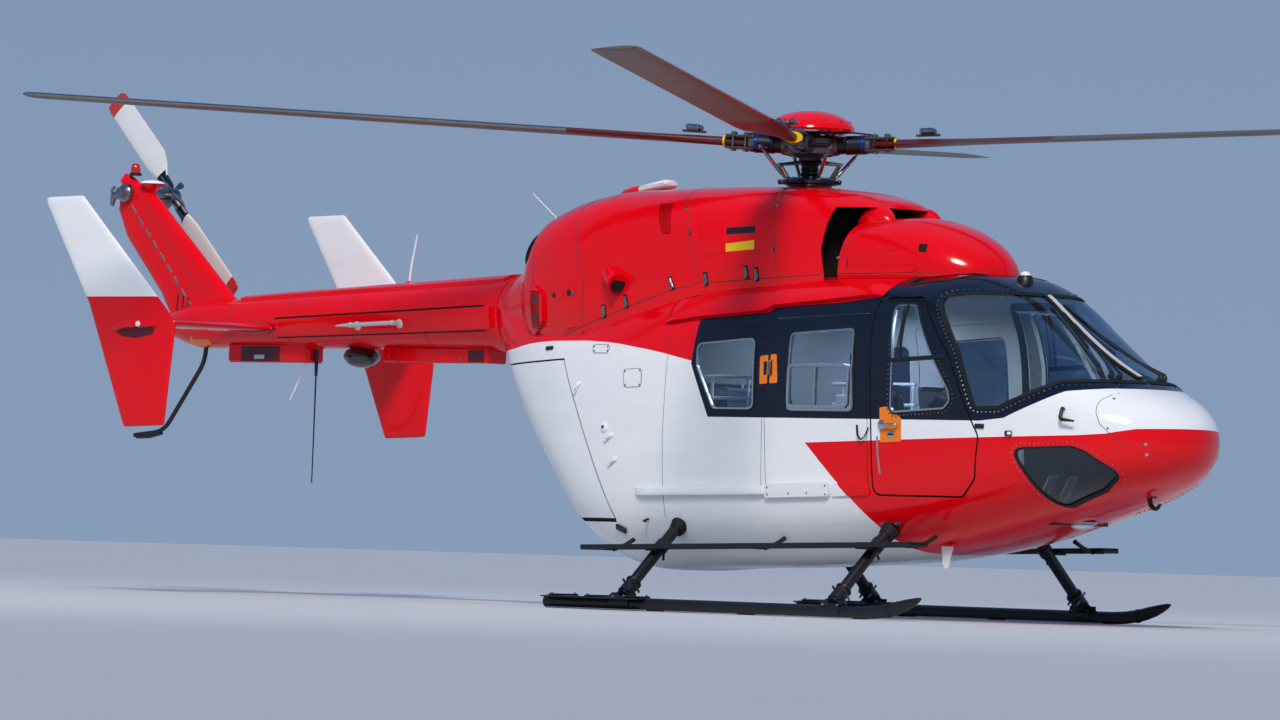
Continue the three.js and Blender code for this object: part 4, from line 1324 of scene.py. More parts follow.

# %% [markdown]
# Inside the slot two humped ducts lead the air to the engines, before a bulkhead painted black as the
# shade deep in the slot. A bar whose radius swells and shrinks along a half circle gives such a duct.
# Metaballs would blend it into the roof, at many more faces.

# %% Intake ducts
saddles = []
for y in (-0.235, 0.235):
    along = np.linspace(0, math.pi, 24)
    line = [(0.655 + 0.30 * turn / math.pi, y, 2.580 + 0.055 * math.sin(turn)) for turn in along]
    saddles.append(bar(line, [0.010 + 0.078 * math.sin(turn) ** 0.6 for turn in along], 32, flat=0.7))
item_from(saddles, "intake_saddles", red_paint, sharp=60)
bulkhead = [block((0.02, 0.86, 0.50), (0.46, 0, 2.42)), block((0.30, 0.60, 0.02), (0.72, 0, 2.46))]
item_from(bulkhead, "intake_bulkhead", shade_black)
print("intake slot is", round(SLOT_FRONT[2][0] - SLOT_REAR[1][0], 2), "m wide")

# %% [markdown]
# The cowling comes apart along its seams for servicing, and its doors are held by over-centre latches. The
# seams run right over the top, so each is drawn up one side, across, and down the other.

# %% Seams of the cowling
SEAM, SEAM_PROUD, SEAM_STEP = 0.007, 0.0009, 0.05


def hoop(side_stops, x_top):
    """Up the starboard side through (x, z) stops, over the top at x_top and down the port side."""
    places, facings = on_side(spaced(side_stops, SEAM_STEP), COWLING)
    edge = abs(places[-1].y) - 0.03
    over_top = [(side_stops[-1][0] * 0.4 + x_top * 0.6, -edge), (x_top, -edge * 0.6), (x_top, 0)]
    crown = on_top(spaced(over_top, SEAM_STEP))
    half = places + crown[0], facings + crown[1]
    other = [[Vector((v.x, -v.y, v.z)) for v in row[-2::-1]] for row in half]
    return half[0] + other[0], half[1] + other[1]


hoops = [
    hoop([(-0.39, 2.19), (-0.457, 2.36), (-0.508, 2.51), (-0.56, 2.66), (-0.60, 2.74)], -0.70),
    hoop([(0.252, 2.22), (0.238, 2.36), (0.22, 2.53), (0.18, 2.68), (0.15, 2.73)], 0.07),
    hoop([(-1.45, 1.92), (-1.435, 2.19), (-1.50, 2.36), (-1.55, 2.50), (-1.585, 2.66)], -1.62),
    hoop([(-1.98, 2.05), (-2.00, 2.25), (-2.03, 2.50), (-2.05, 2.60)], -2.06),
]
seams = [strip(*line, SEAM, SEAM_PROUD) for line in hoops]
side_seams = [
    (
        [
            (-1.68, 1.83), (-1.287, 1.945), (-0.96, 2.045), (-0.665, 2.13), (-0.42, 2.18), (0.138, 2.212),
            (0.58, 2.24)
        ],
        COWLING
    ),
    ([(0.70, 2.25), (1.03, 2.252), (1.25, 2.258), (1.45, 2.262)], FAIRING),
    ([(0.724, 2.42), (0.78, 2.497), (0.852, 2.551), (0.90, 2.58)], FAIRING)
]
for line, table in side_seams:
    seams += on_both([strip(*on_side(spaced(line, SEAM_STEP), table), SEAM, SEAM_PROUD)])
crown_line = on_top(
    spaced([(0.90, -0.30), (0.95, -0.24), (1.13, -0.15), (1.22, -0.05), (1.24, 0)], 0.04), FAIRING
)
seams += on_both([strip(*crown_line, SEAM, SEAM_PROUD)])
item_from(seams, "cowling_seams", seam_filler)
print("cowling has", len(seams), "seams")

# %% [markdown]
# Rivets run beside the seams, at a pitch of 45 mm. The same tree copies them all in one go.

# %% Rivets of the cowling
RIVET_PITCH = 0.045
cowl_lines = [
    [(-1.30, 1.98), (-0.70, 2.16), (-0.42, 2.215), (0.14, 2.245), (0.56, 2.275)],
    [(-0.36, 2.22), (-0.42, 2.38), (-0.47, 2.52), (-0.52, 2.64)],
    [(0.29, 2.25), (0.272, 2.40), (0.255, 2.53), (0.22, 2.66)],
    [(0.215, 2.25), (0.2, 2.40), (0.185, 2.53), (0.15, 2.66)],
    [(-1.40, 2.02), (-1.39, 2.20), (-1.46, 2.38), (-1.51, 2.52)],
    [(0.56, 2.27), (0.54, 2.40), (0.565, 2.56), (0.58, 2.64)],
]
fairing_lines = [[(0.75, 2.29), (1.10, 2.29), (1.45, 2.30)], [(0.74, 2.36), (0.78, 2.47), (0.85, 2.53)]]
places, facings = on_lines(cowl_lines, COWLING, RIVET_PITCH)
more_places, more_facings = on_lines(fairing_lines, FAIRING, RIVET_PITCH)
copies(places + more_places, facings + more_facings, RIVET, "cowling_rivets", red_paint)
print(2 * len(places + more_places), "rivets on the cowlings")

# %% [markdown]
# An over-centre latch is a pressed steel toggle over a hook. Two blocks with broken edges and a pin show
# its shape at this distance. Each stands on a dark seat, and its lean was read from the photograph.

# %% Latches and knobs
LATCHES = [
    (-0.643, 2.18, 24), (-0.345, 2.209, 10), (-0.003, 2.253, 14), (0.085, 2.24, 8), (-1.247, 1.993, 0),
    (-1.05, 2.06, 12)
]
latches, latch_seats = [], []
for x, z, lean in LATCHES:
    (place,), (facing,) = on_side([(x, z)], COWLING)
    turn = facing_turn(facing, (math.sin(math.radians(lean)), 0, -math.cos(math.radians(lean))))
    parts = [
        block((0.074, 0.024, 0.014), place + facing * 0.004, turn, 0.3),
        block((0.030, 0.015, 0.012), place + facing * 0.013 + Vector((0, 0, 0.014)), turn, 0.3),
        turned(stud(0.010, 0.010, 0.016, 0.018), place + turn @ Vector((0.030, 0, 0.002)), facing, 12),
    ]
    seat = [block((0.094, 0.036, 0.003), place + facing * 0.0006, turn, 0.3)]
    latches += on_both(parts)
    latch_seats += on_both(seat)
for x, z in (
    (0.219, 2.405), (0.192, 2.698), (-0.499, 2.515), (-0.593, 2.686), (-1.528, 2.118), (0.745, 2.37)
):
    (place,), (facing,) = on_side([(x, z)], COWLING)
    knob = turned(
        [(0, -0.004), (0.013, -0.004), (0.013, 0.006), (0.008, 0.014), (0, 0.015)], place, facing, 14
    )
    latches += on_both([knob])
item_from(latches, "cowling_latches", steel)
item_from(latch_seats, "cowling_latch_seats", soot)
print(len(LATCHES) * 2, "latches")

# %% [markdown]
# A ribbed access panel, a wire mesh over a cooling inlet and a black and a gold stripe lie on each flank.
# Thin plates cut from the cowling's own skin follow it exactly. Decals projected onto it would need no
# thickness, but the panel and the mesh really stand a few millimetres proud and catch the light at their
# edges.

# %% Stripes, ribbed panel and grille
RIBBED = [(-0.448, 2.601), (-0.225, 2.605), (-0.213, 2.375), (-0.401, 2.358)]
GRILLE = [(-0.86, 2.72), (-0.735, 2.72), (-0.665, 2.515), (-0.742, 2.508)]
STRIPES = [
    ("black", black_film, [(-0.188, 2.55), (0.055, 2.56), (0.058, 2.515), (-0.184, 2.505)]),
    ("gold", yellow_mark, [(-0.183, 2.442), (0.056, 2.466), (0.059, 2.406), (-0.179, 2.39)]),
]


def patch(outline, name, material, lift, table=COWLING, corner=0.012):
    """A thin plate or film on both flanks, following the skin."""
    plate = panel(table, rounded(outline, corner, 3), lift, -0.003, 0.1, count=176, step=0.02)
    for side, item in both_sides(plate).items():
        settle(item, f"{name}_{side}", material)


for name, finish, outline in STRIPES:
    patch(outline, f"stripe_{name}", finish, 0.0007, corner=0.002)
patch(RIBBED, "ribbed_panel", red_paint, 0.004)
patch(GRILLE, "side_grille", soot, 0.0015)
ribs = []
for share in np.linspace(0.06, 0.94, 13):
    top_point = Vector(RIBBED[0]).lerp(Vector(RIBBED[1]), share)
    low_point = Vector(RIBBED[3]).lerp(Vector(RIBBED[2]), share)
    line = spaced([tuple(top_point.lerp(low_point, 0.06)), tuple(top_point.lerp(low_point, 0.55))], 0.04)
    ribs += on_both([strip(*on_side(line, COWLING, 0.003), 0.008, 0.004)])
item_from(ribs, "panel_ribs", red_paint)
corners = [Vector(corner) for corner in GRILLE]
links = []
for down in np.linspace(0.03, 0.97, 26):
    left, right = corners[0].lerp(corners[3], down), corners[1].lerp(corners[2], down)
    links += [tuple(left.lerp(right, share)) for share in np.linspace(0.04, 0.96, 11)]
places, facings = on_side(links, COWLING, 0.0018)
mesh_link = turned([(0.0028, 0), (0.0046, 0), (0.0046, 0.002), (0.0028, 0.002)], sides=6)
copies(places, facings, (mesh_link[0], mesh_link[1][:-2]), "grille_mesh", red_paint, uneven=0)
print(len(ribs), "ribs and", 2 * len(links), "links of mesh")

# %% [markdown]
# A bent sheet scoop breathes for the gearbox bay, and a rimmed recess is the mechanic's foothold. The scoop
# is one bar that widens towards its mouth, a little flattened, and a black disc closes the mouth, so it
# reads as a dark hole.

# %% Scoops and footholds
(root,), (facing,) = on_side([(-1.15, 2.20)], COWLING)
hood = [bar(
    [
        root + Vector((-0.10, 0.035, 0.085)), root + Vector((0.0, -0.02, 0.01)),
        root + Vector((0.075, -0.045, -0.035))
    ],
    [0.02, 0.062, 0.068], 20, bend=0.05, flat=1.35
)]
mouth = [turned(drum(0.056, 0, 0.004), root + Vector((0.074, -0.0445, -0.0345)), (0.86, -0.28, -0.42), 20)]
item_from(on_both(hood), "cooling_scoops", red_paint, sharp=60)
item_from(on_both(mouth), "cooling_scoop_mouths", shade_black)

pills = []
for line, table in (([(-0.64, 2.094), (-0.40, 2.112)], CABIN), ([(1.07, 2.275), (1.30, 2.288)], FAIRING)):
    under = [(x, z - 0.001) for x, z in line[::-1]]
    outline = rounded(grown(line + under, 0.022), 0.02, 5)
    pills += on_both([strip(*on_side(spaced(outline, 0.012, True), table), 0.006, 0.004, closed=True)])
item_from(pills, "hand_step_rims", red_paint)
patch(
    [(-0.65, 2.105), (-0.40, 2.12), (-0.40, 2.095), (-0.65, 2.078)], "hand_step_recess", soot, 0.0008,
    CABIN, 0.012
)
patch(
    [(1.10, 2.462), (1.17, 2.462), (1.165, 2.40), (1.10, 2.40)], "fairing_access_panel", red_paint, 0.003,
    FAIRING
)
# The drain is a black film on the fairing, painted as the shade in its hole.
patch(
    [(1.31, 2.445), (1.365, 2.445), (1.375, 2.39), (1.325, 2.39)], "fairing_drain_opening", shade_black,
    0.001, FAIRING, 0.008
)
print("stripes, grille and scoop are on both flanks")

# %% [markdown]
# On top stand a flat aerial box, a cooling outlet, a drain and a whip aerial. Each is moulded or turned, so
# a block with broken edges, a bar or a lathe profile gives its shape. They are sorted by finish, one piece
# for each.

# %% What stands on the cowling's top
top_parts = {"white": [], "red": [], "dark": [], "bright": []}
tilt = Matrix.Rotation(math.radians(-9), 3, "Y")
top_parts["white"].append(block((0.27, 0.13, 0.055), (-1.36, -0.02, 2.865), tilt, 0.3))
top_parts["red"].append(bar(
    [(-1.74, 0, 2.77), (-1.66, 0, 2.80), (-1.56, 0, 2.815), (-1.50, 0, 2.81)], [0.02, 0.055, 0.062, 0.058],
    20
))
top_parts["dark"].append(turned(drum(0.05, 0, 0.004), (-1.501, 0, 2.811), (1, 0, 0), 20))
top_parts["red"].append(block((0.18, 0.02, 0.012), (-1.34, -0.02, 2.897), tilt, 0.3))
top_parts["bright"].append(
    bar([(-2.11, -0.16, 2.60), (-2.16, -0.18, 2.66), (-2.34, -0.22, 2.82)], [0.007, 0.005, 0.003], 8)
)
top_parts["dark"].append(
    turned(
        [(0, -0.01), (0.055, -0.01), (0.052, 0.035), (0.04, 0.05), (0, 0.05)], (1.90, 0, 2.205), sides=24
    )
)
top_parts["white"].append(
    turned(
        [(0, 0.045), (0.036, 0.045), (0.034, 0.06), (0.022, 0.073), (0, 0.078)], (1.90, 0, 2.205), sides=24
    )
)
finishes = {"white": white_paint, "red": red_paint, "dark": black_coat, "bright": white_paint}
for name, parts in top_parts.items():
    item_from(parts, f"roof_fittings_{name}", finishes[name], sharp=40)
print("fittings:", {name: len(parts) for name, parts in top_parts.items()})

# %% [markdown]
# An exhaust is a rolled steel pipe with a flow straightener of flat vanes inside. A lathe profile that
# turns back inwards gives the wall and the dark throat together, and the mouth is then sheared, because its
# lower lip stands further aft. Cutting it with a slanted box would leave a sharp, unrolled edge.

# %% Exhaust pipes
PIPE_SLANT = 0.47
mouths = []
for y in (-EXHAUST_Y, EXHAUST_Y):
    profile = [(0, 0.02), (0.149, 0), (0.149, 0.21), (0.143, 0.212), (0.139, 0.208), (0.136, 0.07), (0, 0.06)]
    verts, faces = turned(profile, (-1.92, y, EXHAUST_Z), (-1, 0, 0), 48)
    verts = [(x + (z - EXHAUST_Z) * PIPE_SLANT * min(1, (-1.92 - x) / 0.2), y_on, z) for x, y_on, z in verts]
    mouths.append((verts, faces))
    mouths += [
        moved(
            block((0.05, 0.128, 0.003), (0, 0.068, 0)),
            Matrix.Translation((-2.01, y, EXHAUST_Z)) @ Matrix.Rotation(k * math.pi / 3, 4, "X")
        )
        for k in range(6)
    ]
item_from(mouths, "exhaust_pipes", soot, nodes=["exhaust_starboard", "exhaust_port"])
print("two pipes, with 6 vanes each")

# %% [markdown]
# ## Boom and tail
# The boom is a riveted tube with a cover over the tail rotor's drive shaft along its top and a shelf along
# each side. Fin and endplates are honeycomb slabs whose edges are rounded off, so they are built as
# outlines that shrink as they rise from the edge. The tailplane is a plain symmetrical wing.

# %% Tail boom with its covers
boom = rough(*body_skin(BOOM, count=112, step=0.05))
settle(boom, "tail_boom_skin", red_paint, nodes=["tail_boom"])
STRAKE = [(-2.66, 2.042), (-4.86, 1.950), (-4.885, 1.832), (-2.66, 1.888)]
side_strake = panel(BOOM, rounded(STRAKE, 0.006, 3), 0.034, -0.006, 0.02)
for side, item in both_sides(side_strake).items():
    settle(item, f"boom_side_strake_{side}", red_paint)
# A black line is painted in the groove above each side shelf, and another just under its lower edge, as the
# shade there.
groove_shade = strip(*on_side(spaced([(-2.66, 2.052), (-4.86, 1.960)], 0.06), BOOM), 0.014, 0.003)
shade_under_strake = strip(*on_side(spaced([(-2.66, 1.879), (-4.87, 1.824)], 0.06), BOOM), 0.010, 0.002)
item_from(on_both([groove_shade, shade_under_strake]), "boom_strake_seals", shade_black)
spine = panel(
    BOOM, [(-2.66, 0.150), (-5.32, 0.100), (-5.32, -0.100), (-2.66, -0.150)], 0.022, -0.004, axis="z"
)
cut(spine, prism([(-2.0, 1.0), (-7.0, 1.0), (-7.0, 1.95), (-2.0, 2.0)], -1, 1))
settle(spine, "drive_shaft_cover", red_paint)
collar = rough(*body_skin(BOOM, 0.006, (-2.74, -2.61), 112, 0.05))
settle(collar, "boom_root_ring", red_paint)
print("boom is", round(BOOM[0][0] - BOOM[-1][0], 2), "m long")

# %% [markdown]
# Straight rows of rivets and four ring seams show how the boom is built up from rolled sheets.

# %% Rivets and seams of the boom
boom_lines = [
    [(-2.72, 2.075), (-4.72, 1.995)], [(-2.76, 1.85), (-4.74, 1.79)], [(-2.66, 2.14), (-2.665, 1.84)],
    [(-5.36, 2.03), (-5.36, 1.82)], [(-5.38, 2.02), (-5.95, 1.99)], [(-5.40, 1.84), (-5.95, 1.86)],
]
places, facings = on_lines(boom_lines, BOOM, 0.04)
copies(places, facings, RIVET, "boom_rivets", red_paint)
seams = []
for x in (-3.36, -4.10, -4.76, -5.36):
    row = section_ring(at(BOOM, x), 64, 0)
    facings = [Vector((0, y, z - 1.95)).normalized() for _, y, z in row]
    seams.append(strip([Vector(point) for point in row], facings, 0.006, 0.0009, closed=True))
item_from(seams, "boom_seams", seam_filler)
print("boom covers made, with", len(places) * 2, "rivets")

# %% [markdown]
# Fin and endplates are flat slabs with rounded edges, and the tailplane is a wing with a symmetrical
# section. A slab's edge is a stack of outlines, each grown a little less far. A Bevel modifier makes such
# an edge too, but it pinches at the sharp corners of the fin. The wing's section comes from the usual
# formula for its thickness along the chord.

# %% Slabs and wing sections
FIN = [
    (-5.27, 1.93), (-6.04, 1.85), (-6.24, 2.15), (-6.62, 2.56), (-6.79, 2.90), (-6.66, 3.03), (-6.36, 2.88)
]
ENDPLATE = [(-4.72, 1.89), (-5.71, 2.78), (-6.10, 2.77), (-5.60, 2.01), (-5.21, 1.15), (-4.81, 1.165)]
ENDPLATE_Y = 1.2983
SLAB_CORNER = 0.03
TAILPLANE_X, TAILPLANE_Z, TAILPLANE_CHORD, TAILPLANE_TIP = -5.115, 1.885, 0.56, 1.278


def slab(outline, levels, y=0.0):
    """A flat slab whose edge is shaped.
    levels say how far in the outline has moved at each half thickness."""
    def ring(by, side):
        return [(x, y + side, z) for x, z in rounded(grown(outline, -by), SLAB_CORNER, 4)]
    rings = [ring(by, -half) for by, half in reversed(levels)] + [ring(by, half) for by, half in levels]
    return join_rings(rings)


def wing_ring(chord, thick, count=36):
    """A symmetrical wing section as (forward, up) points about its quarter chord."""
    points = []
    for k in range(count):
        turn = 2 * math.pi * k / count
        back = (1 - math.cos(turn)) / 2
        half = 5 * thick / chord * (
            0.2969 * math.sqrt(back) - 0.126 * back - 0.3516 * back**2 + 0.2843 * back**3 - 0.1036 * back**4
        )
        points.append((chord * (0.25 - back), chord * math.copysign(half + 0.0012, math.sin(turn))))
    return points


print("a wing section has", len(wing_ring(TAILPLANE_CHORD, 0.06)), "corners")

# %% Fin, endplates and tailplane
FIN_EDGE = [(0, 0.010), (0.012, 0.024), (0.032, 0.036), (0.06, 0.043), (0.09, 0.045)]
fin = outward(rough(*slab(FIN, FIN_EDGE)))
cut(
    fin,
    prism(
        rounded([(-6.76, 2.72), (-6.68, 2.78), (-6.66, 2.96), (-6.9, 2.98), (-6.95, 2.70)], 0.03), -0.2, 0.2
    )
)
cut(fin, rough(*body_skin(BOOM, 0.0005, count=64, step=0.1)))
settle(fin, "tail_fin_skin", red_paint, nodes=["tail_fin"], sharp=24)
PLATE_EDGE = [(0, 0.005), (0.006, 0.012), (0.02, 0.017), (0.045, 0.020)]
plate = outward(rough(*slab(ENDPLATE, PLATE_EDGE, -ENDPLATE_Y)))
for side, item in both_sides(plate).items():
    settle(item, f"endplate_skin_{side}", endplate_paint, nodes=[f"endplate_{side}"], sharp=24)
half_wing = []
for y, chord, thick in (
    (0.10, 0.58, 0.066), (0.24, 0.565, 0.063), (0.30, 0.56, 0.062), (TAILPLANE_TIP, 0.56, 0.060)
):
    half_wing.append([
        (TAILPLANE_X + TAILPLANE_CHORD / 4 + ahead, -y, TAILPLANE_Z + rise)
        for ahead, rise in wing_ring(chord, thick)
    ])
tailplane = outward(rough(*join_rings(half_wing)))
for side, item in both_sides(tailplane).items():
    settle(item, f"tailplane_{side}", red_paint, nodes=[f"stabilizer_{side}"])

root_shape = [
    (TAILPLANE_X + TAILPLANE_CHORD / 4 + ahead, TAILPLANE_Z + rise)
    for ahead, rise in wing_ring(0.60, 0.078)
]
tip_shape = [
    (TAILPLANE_X + TAILPLANE_CHORD / 4 + ahead, TAILPLANE_Z + rise)
    for ahead, rise in wing_ring(0.58, 0.072)
]
for name, outline, near, far, material in (
    ("tailplane_root_collar", root_shape, 0.235, 0.252, steel),
    ("tailplane_tip_collar", tip_shape, 1.262, 1.277, red_paint)
):
    ring = prism(outline, -far, -near)
    for side, item in both_sides(ring).items():
        settle(item, f"{name}_{side}", material)
print("fin, endplates and tailplane made")

# %% [markdown]
# On the fin are a seam, hinge tabs, cooling slits and rivets, all on a flat face, so their facing is simply
# sideways.

# %% Seams, tabs, slits and rivets of the fin
def on_flat(points, y):
    """Places on a flat flank from (x, z) points."""
    return [Vector((x, y, z)) for x, z in points], [Vector((0, math.copysign(1, y), 0))] * len(points)


flank = 0.045
FIN_SEAM = [(-5.776, 2.103), (-5.987, 2.352), (-6.197, 2.547), (-6.355, 2.687), (-6.41, 2.785)]
lines = [strip(*on_flat(spaced(FIN_SEAM, 0.05), mark * flank), 0.005, 0.0009) for mark in (-1, 1)]
item_from(lines, "fin_seams", seam_filler)
tabs = []
for share in np.linspace(0.04, 0.96, 9):
    spot = Vector((-6.552, 0, 2.786)).lerp(Vector((-5.87, 0, 2.03)), share)
    for mark in (-1, 1):
        turn = facing_turn((0, mark, 0), (-0.64, 0, 0.77))
        tabs.append(block((0.075, 0.020, 0.003), spot + Vector((0, mark * 0.0455, 0)), turn, 0.3))
item_from(tabs, "fin_hinge_tabs", steel)
# Each cooling slit is a thin black block on the flank, painted as the shade inside it.
slits = []
for shift in (0, 0.055, 0.11):
    for mark in (-1, 1):
        turn = facing_turn((0, mark, 0), (0.12, 0, 1))
        slits.append(
            block((0.17, 0.013, 0.004), (-6.035 + shift, mark * 0.0450, 2.06 - shift * 0.25), turn, 0.3)
        )
item_from(slits, "fin_cooling_slits", shade_black)
places, facings = [], []
fin_lines = [[(-5.60, 2.10), (-6.38, 2.86)], [(-5.66, 2.05), (-6.02, 2.01)], [(-6.20, 2.26), (-6.50, 2.58)]]
for line in fin_lines:
    for mark in (-1, 1):
        spots = on_flat(spaced(line, 0.045), mark * flank)
        places += spots[0]
        facings += spots[1]
copies(places, facings, RIVET, "fin_rivets", red_paint, both=False)
print("fin has", len(places), "rivets")

# %% [markdown]
# A red flashing beacon and a dished aerial crown the fin, and each endplate has a lamp in a fairing on its
# faces. They are turned or moulded, so a lathe profile or a bar that swells and shrinks gives their shape
# with few faces.

# %% Beacon, aerial dish and endplate lamps
# Flat dark red, painted as shadow under the endplate lamps' fairings and across the rear equipment box; the
# front box's end has it too
shadow_maroon = new_finish("dark_red_painted_shadow", "#4d0a1c", 0.4, grain=0.1)
# Moulded glass, red right through, with a wet highlight
red_glass = new_finish("red_lamp_glass", "#c00d16", 0.08, coat=1.0, uneven=0.2)
beacon = [turned(drum(0.045, 0, 0.02), (-6.565, 0, 3.005), sides=24)]
beacon_glass = [turned(
    [(0, 0.015), (0.037, 0.015), (0.037, 0.05), (0.032, 0.075), (0.018, 0.09), (0, 0.094)],
    (-6.565, 0, 3.005), sides=24
)]
dish = [
    turned(
        [(0, -0.06), (0.03, -0.055), (0.075, -0.015), (0.092, 0.0), (0, 0.0)], (-6.385, 0, 2.945), sides=32
    )
]
dish_top = [
    turned([(0, 0), (0.092, 0.0), (0.085, 0.012), (0.05, 0.022), (0, 0.025)], (-6.385, 0, 2.945), sides=32)
]
item_from(beacon, "tail_beacon_foot", black_coat)
item_from(beacon_glass, "tail_beacon_glass", red_glass)
item_from(dish, "tail_aerial_dish", red_paint, sharp=50)
item_from(dish_top, "tail_aerial_cover", white_paint, sharp=50)

blisters, lamps = [], []
for mark in (-1, 1):
    face = mark * (ENDPLATE_Y + 0.02)
    blisters.append(bar(
        [
            (-5.33, face, 1.835), (-5.22, face + mark * 0.016, 1.868), (-5.08, face + mark * 0.020, 1.880),
            (-4.88, face, 1.866)
        ],
        [0.010, 0.028, 0.032, 0.010], 20, bend=0.06
    ))
    lamps.append(turned(
        stud(0.021, 0.018, 0.016, 0.024), (-5.035, face + mark * 0.040, 1.872), (0.5, mark * 0.8, -0.1), 16
    ))
item_from(blisters, "endplate_lamp_fairings", red_paint, sharp=60)
item_from(lamps, "endplate_lamps", lamp_glass)
# Under each lamp fairing a dark red sheet lies on the endplate, painted as the fairing's shadow.
BLISTER_SHADOW = [(-5.30, 1.83), (-5.26, 1.79), (-5.10, 1.775), (-4.93, 1.80), (-4.91, 1.85)]
for side, item in both_sides(prism(rounded(BLISTER_SHADOW, 0.02, 3), -1.322, -1.314)).items():
    settle(item, f"endplate_lamp_recess_{side}", shadow_maroon)
print(len(lamps), "lamps on the endplates")

# %% [markdown]
# Under the boom hang two sheet-metal boxes for equipment, with a plate and round plugs, and a moulded
# radome like half an egg. A dark red band across the rear box's middle is painted shadow of the endplate,
# and the front box's forward end is dark red too. Boxes with broken edges and one lathe profile are all that
# they need.

# %% Equipment boxes and radome
# Turned brass: yellow metal with a clear glint
brass = new_finish("brass_plug", "#b98f3c", 0.3, metal=1.0)
# Polished black plastic, glossy as wet ink
gloss_black = new_finish("gloss_radome_black", "#0b0c10", 0.12, coat=1.0)
boxes = {
    "equipment_boxes": (
        red_paint,
        [
            block((0.79, 0.20, 0.14), (-5.045, 0, 1.72), None, 0.12),
            block((1.03, 0.20, 0.11), (-3.36, 0, 1.71), None, 0.12)
        ]
    ),
    "equipment_box_panels": (
        shadow_maroon,
        [
            block((0.40, 0.204, 0.110), (-5.10, 0, 1.713), None, 0.03),
            block((0.16, 0.204, 0.085), (-2.955, 0, 1.705), None, 0.03)
        ]
    ),
    "equipment_box_plates": (bright_metal, [block((0.107, 0.208, 0.034), (-5.11, 0, 1.690), None, 0.1)]),
    "equipment_box_plugs": (
        brass,
        [turned(drum(0.012, -0.104, 0.104), (x, 0, 1.69), (0, 1, 0), 14) for x in (-4.855, -3.80, -3.10)]
    ),
    "equipment_box_seams": (seam_filler, [block((0.005, 0.2015, 0.112), (-3.72, 0, 1.7095), None, 0.05)])
}
for name, (material, parts) in boxes.items():
    nodes = ["rear_equipment_box", "front_equipment_box"] if name == "equipment_boxes" else ()
    item_from(parts, name, material, nodes=nodes)
egg = [
    (0, -0.073), (0.05, -0.069), (0.10, -0.047), (0.128, -0.014), (0.132, 0.008), (0.118, 0.045),
    (0.07, 0.070), (0, 0.075)
]
item_from([turned(egg, (-4.175, 0, 1.692), sides=36)], "belly_radome", gloss_black, sharp=60)
print(sum(len(parts) for _, parts in boxes.values()), "parts under the boom")

# %% [markdown]
# Whip aerials are tapered rods with a foot, and a grab rail is bent tube on two turned posts.

# %% Whip aerials and grab rails
whips = {
    "black": [
        bar([(-4.63, 0, 1.77), (-4.63, 0, 1.56)], [0.017, 0.011], 10),
        bar([(-4.63, 0, 1.58), (-4.635, 0, 1.16), (-4.64, 0, 0.80)], [0.006, 0.005, 0.004], 8)
    ],
    "white": [
        bar([(-4.69, 0.02, 1.77), (-4.80, 0.03, 1.58), (-4.915, 0.03, 1.39)], [0.010, 0.009, 0.007], 10),
        bar([(-3.73, 0.0, 2.19), (-3.71, 0.0, 2.34), (-3.66, 0, 2.56)], [0.011, 0.009, 0.006], 10)
    ],
    "red": [
        block((0.13, 0.09, 0.03), (-4.65, 0, 1.765), None, 0.3),
        turned(stud(0.03, 0.014, 0.03, 0.04), (-3.73, 0, 2.20), sides=14)
    ]
}
whip_finish = {"black": black_coat, "white": white_paint, "red": red_paint}
for name, parts in whips.items():
    item_from(parts, f"boom_whip_aerials_{name}", whip_finish[name])

rail = []
for mark in (-1, 1):
    spots, _ = on_side([(-3.56, 1.930), (-3.985, 1.915)], BOOM, 0.022)
    ends = [Vector((v.x, v.y * -mark, v.z)) for v in spots]
    out = Vector((0, mark * 0.075, 0))
    tail_end = ends[1] + out - Vector((0.15, 0, 0.006))
    rail.append(bar(
        [ends[0] + out + Vector((0.02, 0, 0)), ends[0] + out, ends[1] + out, tail_end],
        [0.015, 0.015, 0.015, 0.005], 12
    ))
    for end in ends:
        foot = [
            (0, -0.01), (0.038, -0.01), (0.036, 0.010), (0.018, 0.026), (0.015, 0.075), (0.019, 0.080),
            (0.016, 0.094), (0, 0.096)
        ]
        rail.append(turned(foot, end, (0, mark, 0), 18))
# Satin enamel on steel tube, worn a little by hands
rail_paint = new_finish("satin_enamel_pale_grey", "#c8c6c2", 0.35, grain=0.05, uneven=0.15)
item_from(rail, "boom_grab_rails", rail_paint)
print("two grab rails and", len(whips["black"]) + len(whips["white"]), "rods")

# %% [markdown]
# The tail gearbox is a casting with a turned output side, a ring of bolts and a breather pipe. It is shown
# as turned parts and a block in bare steel. A sculpted casting would show nothing more at this size.

# %% Tail gearbox and the arrow under the boom
gearbox = [
    turned(
        [(0, 0.0), (0.085, 0.0), (0.088, 0.02), (0.07, 0.04), (0.062, 0.10), (0.05, 0.155), (0, 0.155)],
        (-6.51, 0.0453, 2.87), (0, 1, 0), 28
    ),
    turned(
        [(0, 0.0), (0.07, 0.0), (0.066, 0.03), (0.045, 0.055), (0.04, 0.08), (0, 0.085)],
        (-6.60, -0.046, 2.875), (0, -1, 0), 24
    ),
    bar(
        [(-6.60, -0.09, 2.875), (-6.70, -0.085, 2.86), (-6.74, -0.06, 2.79)], [0.018, 0.022, 0.016], 12,
        bend=0.03
    ),
    block((0.05, 0.06, 0.05), (-6.74, -0.02, 2.86), None, 0.25),
    bar([(-6.72, -0.06, 2.92), (-6.78, -0.03, 2.90), (-6.80, 0.0, 2.84)], 0.012, 10, bend=0.02)
]
